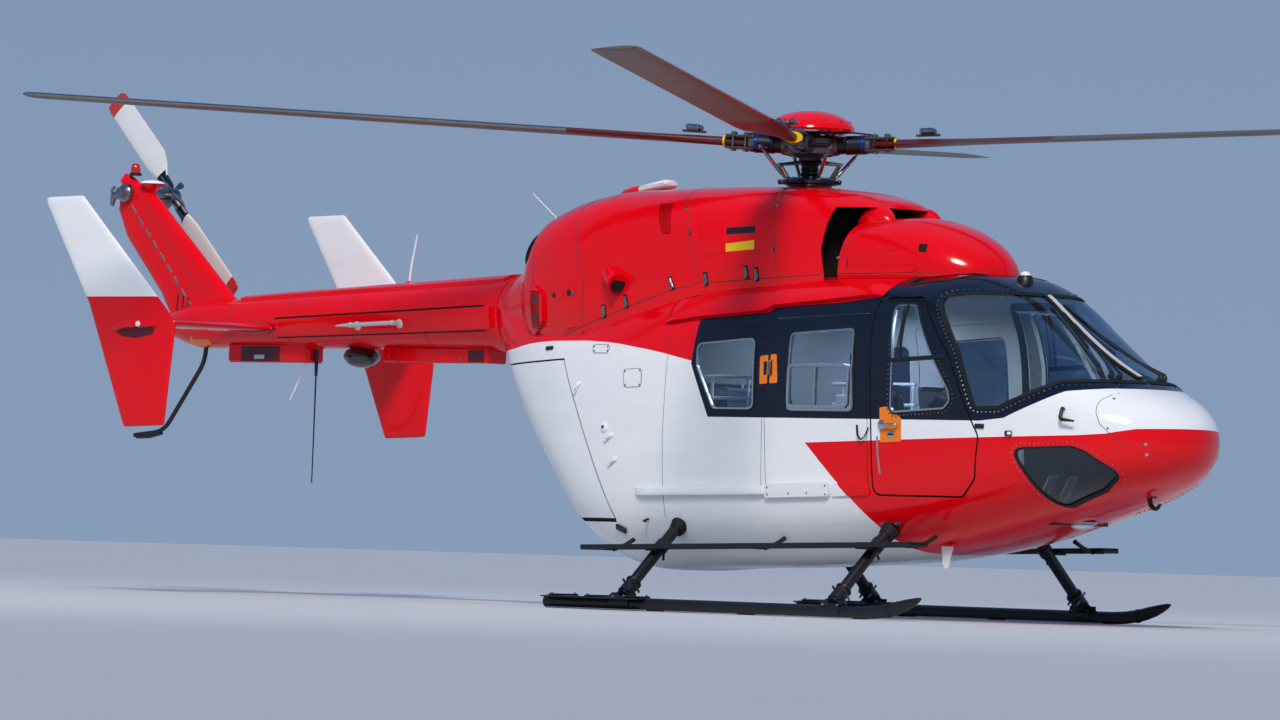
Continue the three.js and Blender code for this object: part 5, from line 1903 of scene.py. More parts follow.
for k in range(8):
    turn = k * math.pi / 4
    gearbox.append(turned(
        stud(0.008, 0.008, 0.008, 0.01),
        (-6.60 + 0.056 * math.cos(turn), -0.05, 2.875 + 0.056 * math.sin(turn)), (0, -1, 0), 6
    ))
item_from(gearbox, "tail_gearbox_housing", steel, nodes=["tail_gearbox"])
ARROW = [
    (-5.84, 1.790), (-5.765, 1.835), (-5.765, 1.810), (-5.60, 1.810), (-5.60, 1.770), (-5.765, 1.770),
    (-5.765, 1.745)
]
arrow = panel(BOOM, ARROW, 0.0012, -0.003, 0.02)
for side, item in both_sides(arrow).items():
    settle(item, f"boom_arrow_{side}", orange_mark)
print(len(gearbox), "parts in the tail gearbox")

# %% [markdown]
# ## Rotors
# The hub is one titanium forging, and each blade's sleeve turns in it on needle bearings. Pitch links come
# up from the swashplate to a horn on each sleeve. The blades are glass fibre with a nickel strip along the
# leading edge. All of this turns with the mast, so it rides on the rotor's body.

# %% Main rotor blades
HUB_Z, CONING, BLADE_PITCH = 3.12, math.radians(2.75), math.radians(4)
AZIMUTHS = [math.radians(30 + 90 * k) for k in range(4)]
# distance from the mast, chord, thickness, share of the blade's pitch
BLADE = [
    (5.50, 0.20, 0.016, 0.7), (5.492, 0.25, 0.022, 0.7), (5.46, 0.295, 0.030, 0.72),
    (5.40, 0.318, 0.034, 0.74), (3.5, 0.32, 0.038, 0.85), (1.30, 0.32, 0.042, 1.0),
    (1.10, 0.305, 0.044, 1.0), (0.92, 0.225, 0.050, 1.0), (0.78, 0.150, 0.056, 1.0),
    (0.62, 0.120, 0.060, 1.0), (0.44, 0.110, 0.062, 1.0)
]


def rotor_turn(azimuth):
    """Carries a part drawn along +x at the hub's height to its place on the rotor."""
    level = Matrix.Translation((0, 0, HUB_Z)) @ Matrix.Rotation(azimuth, 4, "Z")
    return level @ Matrix.Rotation(-CONING, 4, "Y")


def blade_shape(table, pitch):
    """A blade lofted through wing sections, each twisted by its share of the pitch."""
    rings = []
    for out, chord, thick, share in table:
        angle = pitch * share
        rings.append([
            (
                out, ahead * math.cos(angle) - rise * math.sin(angle),
                ahead * math.sin(angle) + rise * math.cos(angle)
            )
            for ahead, rise in wing_ring(chord, thick, 40)
        ])
    return join_rings(rings)


def finer(table, step):
    """The same table with more rows, about a step apart."""
    rows = np.array(table)
    stops = []
    for start, end in zip(rows[:-1, 0], rows[1:, 0]):
        stops += list(np.linspace(start, end, max(2, int(abs(end - start) / step)), endpoint=False))
    columns = range(1, rows.shape[1])
    return [
        (x, *(float(np.interp(-x, -rows[:, 0], rows[:, k])) for k in columns)) for x in stops
    ] + [table[-1]]


RED_TO, NICKEL_FROM = 1.72, 0.062
for k, azimuth in enumerate(AZIMUTHS):
    blade = outward(rough(*moved(blade_shape(finer(BLADE, 0.12), BLADE_PITCH), rotor_turn(azimuth))))
    name = f"rotor_blade_{k + 1}"
    settle(blade, f"{name}_skin", blade_skin, "main_rotor", [name])
    for extra in (blade_root, erosion_strip):
        blade.data.materials.append(extra)
    undo = (Matrix.Translation((MAST_X, 0, 0)) @ rotor_turn(azimuth)).inverted()
    for face in blade.data.polygons:
        spot = undo @ face.center
        if spot.x < RED_TO:
            face.material_index = 1
        elif spot.y > NICKEL_FROM:
            face.material_index = 2
print("blades are", BLADE[0][0] * 2, "m across")

# %% [markdown]
# The head is where the blades' pull, their pitch and the mast meet: a forged star, sleeves, pins, weights,
# links, a swashplate and its scissors, in bare titanium, blued and machined steel. Nearly all of it is
# turned or forged, so it is built of lathe profiles and blocks, one arm first, which is then carried round
# to each blade's place.

# %% Rotor head: the star and its four arms
HORN_AT, LINK_RADIUS, PLATE_Z = 0.30, 0.165, 2.885
head = {"forged": [], "dark": [], "bright": [], "blue": [], "yellow": [], "red": [], "rubber": []}
head["forged"].append(turned(
    [
        (0, -0.075), (0.10, -0.075), (0.13, -0.06), (0.172, -0.05), (0.178, 0), (0.172, 0.05),
        (0.13, 0.062), (0.10, 0.075), (0, 0.075)
    ],
    (0, 0, HUB_Z), sides=40
))
for azimuth in AZIMUTHS:
    carry = rotor_turn(azimuth)
    along = (1, 0, 0)
    arm = [
        turned(
            [(0, 0.10), (0.072, 0.10), (0.076, 0.13), (0.070, 0.15), (0.066, 0.19), (0, 0.19)], (0, 0, 0),
            along, 24
        ),
        turned(
            [(0, 0.385), (0.060, 0.385), (0.062, 0.40), (0.056, 0.415), (0, 0.415)], (0, 0, 0), along, 24
        ),
        block((0.20, 0.125, 0.016), (0.475, 0, 0.040), None, 0.35),
        block((0.20, 0.125, 0.016), (0.475, 0, -0.040), None, 0.35),
        block((0.05, 0.12, 0.07), (0.395, 0, 0), None, 0.2),
        block((0.16, 0.055, 0.016), (0.80, 0.0, 0.052), None, 0.3)
    ]
    head["forged"] += [moved(part, carry) for part in arm]
    sleeve = [
        turned(
            [
                (0, 0.19), (0.058, 0.19), (0.058, 0.24), (0.064, 0.245), (0.064, 0.35), (0.058, 0.355),
                (0.058, 0.385), (0, 0.385)
            ],
            (0, 0, 0), along, 28
        ),
        block((0.075, 0.17, 0.028), (HORN_AT, 0.115, -0.02), None, 0.35),
        block((0.03, 0.05, 0.05), (0.245, -0.06, 0.03), None, 0.3)
    ]
    head["dark"] += [moved(part, carry) for part in sleeve]
    pins = []
    for x, y in ((0.44, 0.030), (0.44, -0.030), (0.525, 0.028), (0.525, -0.028)):
        pins.append(turned(
            [
                (0, -0.062), (0.015, -0.062), (0.015, -0.050), (0.010, -0.050), (0.010, 0.050),
                (0.017, 0.050), (0.017, 0.062), (0.009, 0.070), (0, 0.070)
            ],
            (x, y, 0), (0, 0, 1), 12
        ))
    pins += [
        turned(
            stud(0.007, 0.007, 0.012, 0.014), (0.19, 0.056 * math.cos(a), 0.056 * math.sin(a)), (-1, 0, 0),
            6
        )
        for a in np.linspace(0, 2 * math.pi, 10, endpoint=False)
    ]
    head["bright"] += [moved(part, carry) for part in pins]
    weights = [
        block((0.10, 0.045, 0.040), (0.80, 0.045, 0.078), None, 0.3),
        block((0.10, 0.045, 0.040), (0.80, -0.045, 0.078), None, 0.3),
        turned(drum(0.012, -0.075, 0.075), (0.765, 0, 0.078), (0, 1, 0), 12)
    ]
    head["bright"] += [moved(part, carry) for part in weights]
    cables = [bar(
        [(0.14, -0.05, 0.06), (0.22, -0.07, 0.09), (0.34, -0.06, 0.075), (0.44, -0.02, 0.06)], 0.006, 8,
        bend=0.05
    )]
    head["rubber"] += [moved(part, carry) for part in cables]
    head["blue"].append(moved(turned(drum(0.0655, 0.352, 0.378), (0, 0, 0), along, 24), carry))
    head["yellow"].append(moved(
        turned(drum(0.063, 0.578, 0.590), (0, 0, 0), along, 24), carry @ Matrix.Diagonal((1, 1.05, 0.62, 1))
    ))
    top = carry @ Vector((HORN_AT, 0.185, -0.03))
    spread = math.atan2(top.y, top.x)
    foot = Vector((LINK_RADIUS * math.cos(spread), LINK_RADIUS * math.sin(spread), PLATE_Z + 0.008))
    way = (top - foot).normalized()
    head["bright"].append(bar(
        [foot, foot + way * 0.05, foot + way * 0.055, top - way * 0.055, top - way * 0.05, top],
        [0.008, 0.008, 0.0125, 0.0125, 0.008, 0.008], 12
    ))
    for end in (foot, top):
        head["bright"].append(turned(
            [(0, -0.018), (0.016, -0.018), (0.020, 0), (0.016, 0.018), (0, 0.018)], end,
            (math.cos(spread), math.sin(spread), 0), 14
        ))
    head["red"].append(turned(drum(0.0145, -0.006, 0.006), foot.lerp(top, 0.55), way, 12))
print("an arm has", len(arm + sleeve + pins + weights), "parts")

# %% [markdown]
# Below the star a rubber gaiter covers the mast, over the swashplate that tilts to steer. The gaiter's
# folds are steps in one lathe profile. A wave modifier could fold a plain tube, but the steps put each fold
# where it belongs.

# %% Rotor head: gaiter, swashplate and scissors
head["dark"].append(turned(
    [
        (0, -0.28), (0.062, -0.28), (0.066, -0.22), (0.058, -0.20), (0.064, -0.185), (0.056, -0.17),
        (0.063, -0.155), (0.056, -0.14), (0.063, -0.125), (0.056, -0.11), (0.074, -0.095), (0.080, -0.075),
        (0, -0.07)
    ],
    (0, 0, HUB_Z), sides=32
))
head["dark"].append(turned(
    [(0, -0.02), (0.185, -0.02), (0.19, -0.012), (0.188, 0.006), (0.15, 0.015), (0.10, 0.028), (0, 0.03)],
    (0, 0, PLATE_Z), sides=48
))
head["bright"].append(
    turned([(0, -0.034), (0.150, -0.034), (0.155, -0.024), (0, -0.02)], (0, 0, PLATE_Z), sides=48)
)
for k in range(12):
    turn = k * math.pi / 6 + 0.26
    head["bright"].append(turned(
        stud(0.009, 0.009, 0.012, 0.014), (0.13 * math.cos(turn), 0.13 * math.sin(turn), PLATE_Z + 0.016),
        sides=6
    ))
for turn in (math.radians(20), math.radians(200)):
    out = Vector((math.cos(turn), math.sin(turn), 0))
    knee = out * 0.215 + Vector((0, 0, 3.00))
    head["forged"].append(bar([out * 0.055 + Vector((0, 0, 3.015)), knee], [0.020, 0.014], 12, flat=0.6))
    head["forged"].append(bar([knee, out * 0.155 + Vector((0, 0, 2.90))], [0.013, 0.018], 12, flat=0.6))
    for spot in (knee, out * 0.16 + Vector((0, 0, 2.90))):
        head["bright"].append(turned(drum(0.012, -0.026, 0.026), spot, (-out.y, out.x, 0), 12))
for turn in np.radians([115, 205, 295, 25]):
    out = Vector((math.cos(turn), math.sin(turn), 0))
    head["dark"].append(turned(
        [(0, -0.018), (0.012, -0.016), (0.019, 0), (0.012, 0.016), (0, 0.018)],
        out * 0.205 + Vector((0, 0, PLATE_Z - 0.002)), sides=14
    ))

finishes = {
    "forged": titanium, "dark": dark_steel, "bright": steel, "blue": hydraulic_blue, "yellow": yellow_mark,
    "red": red_paint, "rubber": rubber
}
for name, parts in head.items():
    item_from(
        parts, f"rotor_head_{name}", finishes[name], "main_rotor", ["rotor_hub"] if name == "forged" else ()
    )
print({name: len(parts) for name, parts in head.items()}, "parts in the rotor head")

# %% [markdown]
# A moulded cap keeps the rain off the hub. Its dome is a quarter of a flat ellipse, turned about the mast.

# %% Cap over the hub
CAP_FOOT, CAP_RISE, CAP_RADIUS = 3.220, 0.140, 0.295
arc = [(CAP_RADIUS * math.sin(a), CAP_RISE * math.cos(a)) for a in np.radians(np.linspace(84, 0, 16))]
cap = turned(
    [(0, 0.012), (CAP_RADIUS - 0.02, 0.012), (CAP_RADIUS - 0.012, 0)] + arc, (0, 0, CAP_FOOT), sides=64
)
item_from([cap], "rotor_cap_dome", red_paint, "main_rotor", ["rotor_cap"], sharp=40)
bolts = [
    turned(
        stud(0.008, 0.008, 0.005, 0.008), (0.262 * math.cos(a), 0.262 * math.sin(a), CAP_FOOT + 0.064),
        (0.92 * math.cos(a), 0.92 * math.sin(a), 1), 6
    )
    for a in np.linspace(0, 2 * math.pi, 12, endpoint=False)
]
item_from(bolts, "rotor_cap_screws", steel, "main_rotor")
stem = turned(
    [(0, 0), (0.09, 0), (0.09, 0.006), (0.07, 0.012), (0.065, 0.034), (0.085, 0.039), (0, 0.0392)],
    (0, 0, 3.1805), sides=32
)
item_from([stem], "cap_mount_ring", dark_steel, "main_rotor", ["cap_mount"])
print("cap is", 2 * CAP_RADIUS, "m across")

# %% [markdown]
# The tail rotor has two blades of the same make as the main rotor's, painted in bands so that people see
# and avoid it. Its blades are lofted by the same function, and the bands are picked face by face from the
# distance to the hub. An image or a ramp would give a softer edge than a masked and sprayed band has.

# %% Tail rotor
RED_BAND_FROM, STEEL_TO = 0.86, 0.20
TAIL_HUB, TAIL_TILT = Vector((-6.51, 0.33, 2.87)), math.radians(45)
TAIL_BLADE = [
    (0.978, 0.120, 0.010, 0.5), (0.970, 0.165, 0.013, 0.5), (0.93, 0.202, 0.018, 0.5),
    (0.34, 0.205, 0.026, 1), (0.25, 0.16, 0.030, 1), (0.17, 0.085, 0.036, 1), (0.06, 0.075, 0.040, 1)
]
for k in range(2):
    turn = Matrix.Translation(TAIL_HUB) @ Matrix.Rotation(TAIL_TILT + math.pi * (1 - k), 4, "Y")
    turn = turn @ Matrix.Rotation(math.pi / 2, 4, "X")
    blade = outward(rough(*moved(blade_shape(finer(TAIL_BLADE, 0.05), math.radians(8)), turn)))
    settle(
        blade, f"tail_rotor_blade_{k + 1}", tail_blade_white, "tail_rotor", ["tail_rotor"] if k == 0 else ()
    )
    for extra in (tail_blade_red, dark_steel):
        blade.data.materials.append(extra)
    for face in blade.data.polygons:
        out = (face.center - Vector((MAST_X, 0, 0)) - TAIL_HUB).length
        face.material_index = 1 if out > RED_BAND_FROM else 2 if out < STEEL_TO else 0
hub = [
    turned(
        [
            (0, -0.12), (0.028, -0.12), (0.028, -0.05), (0.045, -0.045), (0.052, -0.02), (0.052, 0.03),
            (0.035, 0.05), (0, 0.058)
        ],
        TAIL_HUB, (0, 1, 0), 24
    ),
    turned([(0, -0.075), (0.068, -0.075), (0.07, -0.06), (0, -0.058)], TAIL_HUB, (0, 1, 0), 28)
]
for k in range(2):
    angle = TAIL_TILT + math.pi * k
    out, side = Vector((math.cos(angle), 0, -math.sin(angle))), Vector((math.sin(angle), 0, math.cos(angle)))
    hub.append(bar([TAIL_HUB + out * 0.03, TAIL_HUB + out * 0.12], [0.042, 0.036], 16))
    hub.append(block((0.10, 0.06, 0.03), TAIL_HUB + out * 0.15, facing_turn((0, 1, 0), out), 0.3))
    hub.append(bar(
        [
            TAIL_HUB + side * 0.06 + Vector((0, -0.066, 0)),
            TAIL_HUB + side * 0.055 + out * 0.13 + Vector((0, -0.015, 0))
        ],
        0.008, 10
    ))
    hub.append(bar([TAIL_HUB + out * 0.02 - side * 0.06, TAIL_HUB - side * 0.115], [0.012, 0.026], 14))
item_from(hub, "tail_rotor_hub", steel, "tail_rotor")
print("tail rotor is", 2 * TAIL_BLADE[0][0], "m across")

# %% [markdown]
# ## Landing gear
# Two bent steel tubes cross under the cabin and spring a little as it lands. A skid tube is clamped on
# either end of them, with a hard steel shoe under it, and a plank of aluminium between the legs is the step
# for crew and patients.

# %% Skid tubes and cross tubes
SKID_Y, SKID_RADIUS = 1.258, 0.042
CROSS_X, CROSS_RADIUS = (1.43, -0.41), 0.038
NECK_Y, NECK_Z, FOOT_Z = 0.735, 0.575, 0.0995

# The tube's cut end is closed by a plate, so the toe rises to a point in line with the tube's top
skid_line = [
    (-1.10, 0.042, 0.042), (1.60, 0.042, 0.042), (1.70, 0.043, 0.042), (1.80, 0.049, 0.042),
    (1.90, 0.062, 0.042), (1.98, 0.081, 0.041), (2.05, 0.101, 0.036), (2.11, 0.121, 0.026),
    (2.15, 0.136, 0.016), (2.170, 0.144, 0.007)
]
skid = bar([(x, -SKID_Y, z) for x, z, _ in skid_line], [radius for _, _, radius in skid_line], 24)
plug = turned(
    [(0, 0), (0.041, 0), (0.043, 0.006), (0.036, 0.020), (0.014, 0.026), (0, 0.026)],
    (-1.085, -SKID_Y, 0.042), (-1, 0, 0), 24
)
tubes = {"starboard": [skid, plug], "port": [flipped_y(skid), flipped_y(plug)]}
for side, parts in tubes.items():
    item_from(parts, f"skid_tube_{side}", black_coat, nodes=[f"skid_{side}"], sharp=50)

for name, x in zip(("front", "rear"), CROSS_X):
    legs = [
        (x, -SKID_Y, FOOT_Z), (x, -NECK_Y - 0.02, NECK_Z - 0.018), (x, -NECK_Y + 0.06, NECK_Z),
        (x, 0, NECK_Z), (x, NECK_Y - 0.06, NECK_Z), (x, NECK_Y + 0.02, NECK_Z - 0.018), (x, SKID_Y, FOOT_Z)
    ]
    tube = bar(legs, CROSS_RADIUS, 24, bend=0.08)
    item_from([tube], f"cross_tube_{name}", black_coat, nodes=[f"{name}_cross_tube"], sharp=60)
print("skids are", round(skid_line[-1][0] - skid_line[0][0], 2), "m long")

# %% [markdown]
# Clamps join the legs to the skids, with gussets, bolts, a rubber boot at the belly and hard steel shoes
# underneath. They are collected by finish in one dictionary, drawn once for starboard and mirrored together
# at the end.

# %% Clamps, boots, shoes and snow plates
gear = {"fittings": [], "bolts": [], "shoes": [], "rubber": []}

leg_way = Vector((0, -(SKID_Y - NECK_Y), FOOT_Z - NECK_Z)).normalized()
for x in CROSS_X:
    # The saddle under the skid tube's clamp, its two gussets, and the clamp around the tube itself
    gear["fittings"].append(turned(
        [(0.0, -0.085), (0.0495, -0.085), (0.0505, -0.075), (0.0505, 0.075), (0.0495, 0.085), (0, 0.085)],
        (x, -SKID_Y, SKID_RADIUS + 0.0087), (1, 0, 0), 28
    ))
    foot = Vector((x, -SKID_Y, FOOT_Z - 0.004))
    gear["fittings"].append(bar([foot - leg_way * 0.02, foot - leg_way * 0.14], [0.052, 0.047], 24))
    gear["fittings"].append(turned(
        [(0, 0), (0.054, 0), (0.056, 0.01), (0.050, 0.018), (0, 0.018)], foot - leg_way * 0.125, -leg_way,
        24
    ))
    for ahead in (-1, 1):
        corner = [
            (x + ahead * 0.030, -SKID_Y, 0.082), (x + ahead * 0.115, -SKID_Y, 0.080),
            (x + ahead * 0.036, -SKID_Y + 0.045, 0.142)
        ]
        gear["fittings"].append(bar([corner[1], corner[2]], [0.008, 0.014], 10, flat=0.5))
        gear["fittings"].append(
            block((0.085, 0.010, 0.05), (x + ahead * 0.068, -SKID_Y + 0.005, 0.090), None, 0.2)
        )
        for out in (-0.032, 0.032):
            gear["bolts"].append(turned(
                [(0, 0), (0.010, 0), (0.010, 0.008), (0.006, 0.012), (0, 0.013)],
                (x + ahead * 0.062, -SKID_Y + out, SKID_RADIUS + 0.040), (0, out / 0.032 * 0.6, 1), 6
            ))
    for step in (-0.038, 0.038):
        gear["bolts"].append(turned(
            drum(0.008, -0.058, 0.058), foot - leg_way * 0.10 + Vector((step, 0, 0)), (0, 0.67, -0.74), 6
        ))
    # The boot where the leg goes into the belly, and the clamp above it
    neck = Vector((x, -NECK_Y + 0.01, NECK_Z - 0.004))
    gear["rubber"].append(turned(
        [
            (0, -0.01), (0.048, -0.01), (0.052, 0.0), (0.056, 0.03), (0.064, 0.045), (0.062, 0.055),
            (0, 0.06)
        ],
        neck + leg_way * 0.05, -leg_way, 24
    ))
    gear["fittings"].append(block((0.15, 0.05, 0.03), neck + Vector((0, 0.03, 0.045)), None, 0.3))
    for step in (-0.055, 0.055):
        gear["bolts"].append(turned(
            [(0, 0), (0.011, 0), (0.011, 0.009), (0.006, 0.013), (0, 0.014)],
            neck + Vector((step, -0.002, 0.045)), (0, -1, 0), 6
        ))

for start, end in ((-1.08, -0.18), (-0.02, 0.62), (0.78, 1.62)):
    gear["shoes"].append(block((end - start, 0.052, 0.010), ((start + end) / 2, -SKID_Y, 0.0052), None, 0.3))
    for x in np.linspace(start + 0.05, end - 0.05, 5):
        gear["bolts"].append(
            turned(stud(0.007, 0.006, 0.004, 0.006), (x, -SKID_Y - 0.022, 0.012), (0, -1, 0.5), 6)
        )
lean = Vector((1, 0, 0.30)).normalized()
toe_band = [(0, -0.016), (0.0445, -0.016), (0.046, 0), (0.0445, 0.016), (0, 0.016)]
gear["fittings"].append(turned(toe_band, (1.90, -SKID_Y, 0.062), lean, 28))

PAW_REAR, PAW_FRONT, PAW_HALF, PAW_LOW, PAW_HIGH = -1.06, -0.19, 0.14, 0.072, 0.082
paw = prism(
    rounded(
        [
            (PAW_REAR, -SKID_Y - PAW_HALF), (PAW_FRONT, -SKID_Y - PAW_HALF),
            (PAW_FRONT, -SKID_Y + PAW_HALF), (PAW_REAR, -SKID_Y + PAW_HALF)
        ],
        0.06, 5
    ),
    PAW_LOW, PAW_HIGH, "z"
)
for side, item in both_sides(paw).items():
    settle(item, f"snow_plate_{side}", black_coat)
for x in (-0.95, -0.625, -0.30):
    gear["fittings"].append(block((0.035, 0.26, 0.014), (x, -SKID_Y, PAW_HIGH + 0.006), None, 0.3))
    gear["bolts"] += [
        turned(stud(0.009, 0.009, 0.007, 0.011), (x, -SKID_Y + out, PAW_HIGH + 0.012), sides=6)
        for out in (-0.11, 0.11)
    ]

finishes = {"fittings": black_coat, "bolts": steel, "shoes": bright_metal, "rubber": rubber}
for name, material in finishes.items():
    parts = gear[name]
    item_from(on_both(parts), f"gear_{name}", material, sharp=40)
print({name: 2 * len(parts) for name, parts in gear.items()}, "gear parts")

# %% [markdown]
# A step board is an aluminium plank with a raised rim, topped with grit tape and clamped to both legs. It
# rises a little towards the nose. Five blocks make the plank flat and level; one matrix then tilts them
# all, so they stay square to each other.

# %% Step boards
BOARD_INNER, BOARD_OUTER, BOARD_REAR, BOARD_FRONT = 0.882, 1.05, -1.01, 1.89
BOARD_Z, BOARD_THICK = 0.447, 0.034
BOARD_TILT = math.radians(1.6)
board_middle = Vector(((BOARD_FRONT + BOARD_REAR) / 2, -(BOARD_INNER + BOARD_OUTER) / 2, BOARD_Z))
board_place = Matrix.Translation(board_middle) @ Matrix.Rotation(-BOARD_TILT, 4, "Y")
long, wide = BOARD_FRONT - BOARD_REAR, BOARD_OUTER - BOARD_INNER
plank = [
    block((long, wide - 0.012, 0.016), (0, 0, 0.005), None, 0.1),
    block((long, 0.012, BOARD_THICK), (0, wide / 2 - 0.006, 0), None, 0.25),
    block((long, 0.012, BOARD_THICK), (0, 0.006 - wide / 2, 0), None, 0.25),
    block((0.014, wide, BOARD_THICK), (long / 2 - 0.007, 0, 0), None, 0.3),
    block((0.014, wide, BOARD_THICK), (0.007 - long / 2, 0, 0), None, 0.3)
]
plank = [moved(part, board_place) for part in plank]
planks = {"starboard": plank, "port": [flipped_y(part) for part in plank]}
for side, parts in planks.items():
    item_from(parts, f"step_board_{side}_plank", black_coat, nodes=[f"step_board_{side}"])
grip = [moved(block((long - 0.06, wide - 0.034, 0.003), (0, 0, 0.0142), None, 0.2), board_place)]
item_from(on_both(grip), "step_board_grip_tape", grit_tape)
brackets = []
for x in CROSS_X:
    level = BOARD_Z + (x - board_middle.x) * math.tan(BOARD_TILT)
    drop = (level - NECK_Z) / (FOOT_Z - NECK_Z)
    leg_y = -(NECK_Y + drop * (SKID_Y - NECK_Y))
    brackets += [
        turned(
            [(0, -0.035), (0.047, -0.035), (0.049, -0.025), (0.049, 0.025), (0.047, 0.035), (0, 0.035)],
            (x, leg_y, level), leg_way, 24
        ),
        block(
            (0.06, BOARD_OUTER + leg_y, 0.012), (x, (leg_y - BOARD_OUTER) / 2 + 0.02, level - 0.022), None,
            0.3
        ),
        bar([(x + 0.02, -0.90, level - 0.02), (x + 0.02, leg_y, level - 0.09)], 0.009, 10)
    ]
for x in (-0.85, 0.50, 1.80):
    level = BOARD_Z + (x - board_middle.x) * math.tan(BOARD_TILT)
    brackets += [
        bar(
            [(x, -0.895, level - 0.016), (x, -0.80, level + 0.01), (x, -0.70, level + 0.055)],
            [0.012, 0.014, 0.016], 12, bend=0.04
        ),
        block((0.05, 0.10, 0.008), (x, -0.93, level - 0.018), None, 0.3)
    ]
item_from(on_both(brackets), "step_board_brackets", black_coat, sharp=45)
print("step boards are", round(long, 2), "m long")

# %% [markdown]
# ## Inside the cabin
# Each seat is a moulded shell on floor rails. Its pads are foam in sewn wool covers: the cover is cut a
# little small, so the foam swells between the seams. Cloth simulation blows each pad up from a flat form,
# and the sewn channels are pressed in afterwards, because the simulation's remesh would wipe them out.

# %% Flat forms of the pads
PAD_VOXEL, PAD_FRAMES, PAD_SWELL, PAD_THICK = 0.011, 20, 0.014, 0.072
SEAT_X, BENCH_X, FLOOR_Z = 1.12, -0.52, 0.6403
SEATS = {
    "pilot_seat": (SEAT_X, -0.34, 0.42), "copilot_seat": (SEAT_X, 0.34, 0.42),
    "bench_starboard": (BENCH_X, -0.413, 0.404), "bench_middle": (BENCH_X, 0.0, 0.404),
    "bench_port": (BENCH_X, 0.413, 0.404)
}
seat_way = Vector((0.41, 0, 0.06)).normalized()
back_way = Vector((-0.15, 0, 0.63)).normalized()


def upright_frame(spot, along):
    """A place whose x goes along, whose y goes across and whose z stands out of the pad's face."""
    across = Vector((0, 1, 0))
    return Matrix.Translation(spot) @ Matrix((along, across, along.cross(across))).transposed().to_4x4()


pads = []
for name, (x, y, width) in SEATS.items():
    knee = Vector((x + 0.06, y, FLOOR_Z + 0.270))
    places = {
        "cushion": (upright_frame(knee + seat_way * 0.235 - Vector((0, 0, 0.047)), seat_way), 0.36),
        "back": (upright_frame(knee + back_way * 0.345 + Vector((-0.046, 0, -0.011)), -back_way), 0.52),
    }
    for part, (place, length) in places.items():
        pad = rough(*block((length, width - 0.05, PAD_THICK), (0, 0, 0), None, 0.45))
        voxels = pad.modifiers.new("voxels", "REMESH")
        voxels.mode, voxels.voxel_size = "VOXEL", PAD_VOXEL
        applied(pad)
        pads.append((f"{name}_{part}_pad", pad, place, length, width))
print(len(pads), "flat forms")

# %% Pads blown up, with their sewn channels
CROWN, CHANNEL_DEPTH, CHANNEL_WIDTH = 0.012, 0.010, 0.008
scene = bpy.context.scene
flat_forms = [np.array([v.co for v in pad.data.vertices]) for _, pad, *_ in pads]
for _, pad, *_ in pads:
    cover = pad.modifiers.new("cover", "CLOTH")
    cover.settings.use_pressure = True
    cover.settings.uniform_pressure_force = 4
    cover.settings.effector_weights.gravity = 0
    cover.point_cache.frame_end = PAD_FRAMES
for frame_number in range(1, PAD_FRAMES + 1):
    scene.frame_set(frame_number)
for _, pad, *_ in pads:
    applied(pad)
scene.frame_set(1)

for (name, pad, place, length, width), flat in zip(pads, flat_forms):
    swollen = np.array([v.co for v in pad.data.vertices])
    step = swollen - flat
    reach = np.linalg.norm(step, axis=1)[:, None]
    spots = flat + step * np.minimum(1, PAD_SWELL / np.maximum(reach, 1e-6))
    crown_along = np.clip(1 - (2 * spots[:, 0] / length) ** 2, 0, 1)
    crown = crown_along * np.clip(1 - (2 * spots[:, 1] / width) ** 2, 0, 1)
    top = spots[:, 2] > 0
    spots[top, 2] += CROWN * crown[top] ** 0.5
    for seam in (-0.25, 0.0, 0.25):
        channel = np.exp(-((spots[:, 1] - seam * width) / CHANNEL_WIDTH) ** 2)
        spots[top, 2] -= (CHANNEL_DEPTH * channel * (np.abs(spots[:, 0]) < length * 0.40))[top]
    pad.data.vertices.foreach_set("co", spots.ravel())
    pad.data.transform(place)
    smoother = pad.modifiers.new("finer", "SUBSURF")
    smoother.levels = smoother.render_levels = 1
    applied(pad)
    settle(pad, name, seat_cloth, sharp=60)
print(len(pads), "pads,", max(len(pad.data.vertices) for _, pad, *_ in pads), "corners in the largest")

# %% [markdown]
# A seat's shell is moulded in one piece: pan, back and a lip all round, on tubes over two floor rails. Its
# side view is one outline, carried across the seat's width.

# %% Seat shells and rails
SHELL_PAN = [
    (0.03, 0.175), (0.43, 0.225), (0.462, 0.262), (0.455, 0.285), (0.06, 0.222), (-0.055, 0.30),
    (-0.192, 0.86), (-0.165, 0.89), (-0.215, 0.885), (-0.205, 0.78), (-0.085, 0.25), (-0.02, 0.18)
]
shell_nodes = {"pilot_seat": "pilot_seat", "copilot_seat": "copilot_seat", "bench_middle": "cabin_bench"}
for name, node in shell_nodes.items():
    x, y, width = SEATS[name]
    half = 0.62 if name == "bench_middle" else 0.22
    outline = [(x + a, FLOOR_Z + b) for a, b in SHELL_PAN]
    shell = prism(outline, y - half, y + half)
    verts = [v.co.copy() for v in shell.data.vertices]
    faces = [tuple(face.vertices) for face in shell.data.polygons]
    discard(shell)
    parts = [(verts, faces)]
    for side in (-1, 1):
        rail_y = y + side * (half - 0.05)
        parts.append(block((0.52, 0.035, 0.022), (x + 0.22, rail_y, FLOOR_Z + 0.0112), None, 0.2))
        for a, b in ((0.05, 0.02), (0.37, 0.40)):
            parts.append(bar([(x + a, rail_y, FLOOR_Z + 0.02), (x + b, rail_y, FLOOR_Z + 0.20)], 0.013, 12))
    item_from(parts, f"{node}_shell", trim_grey, nodes=[node])
print(len(shell_nodes), "shells")

# %% [markdown]
# A harness is woven webbing that lies flat on the pad, with a turned buckle in the lap. Flat beads along a
# few points give it. Cloth would drape over the pads too, but a strap under tension hardly sags.

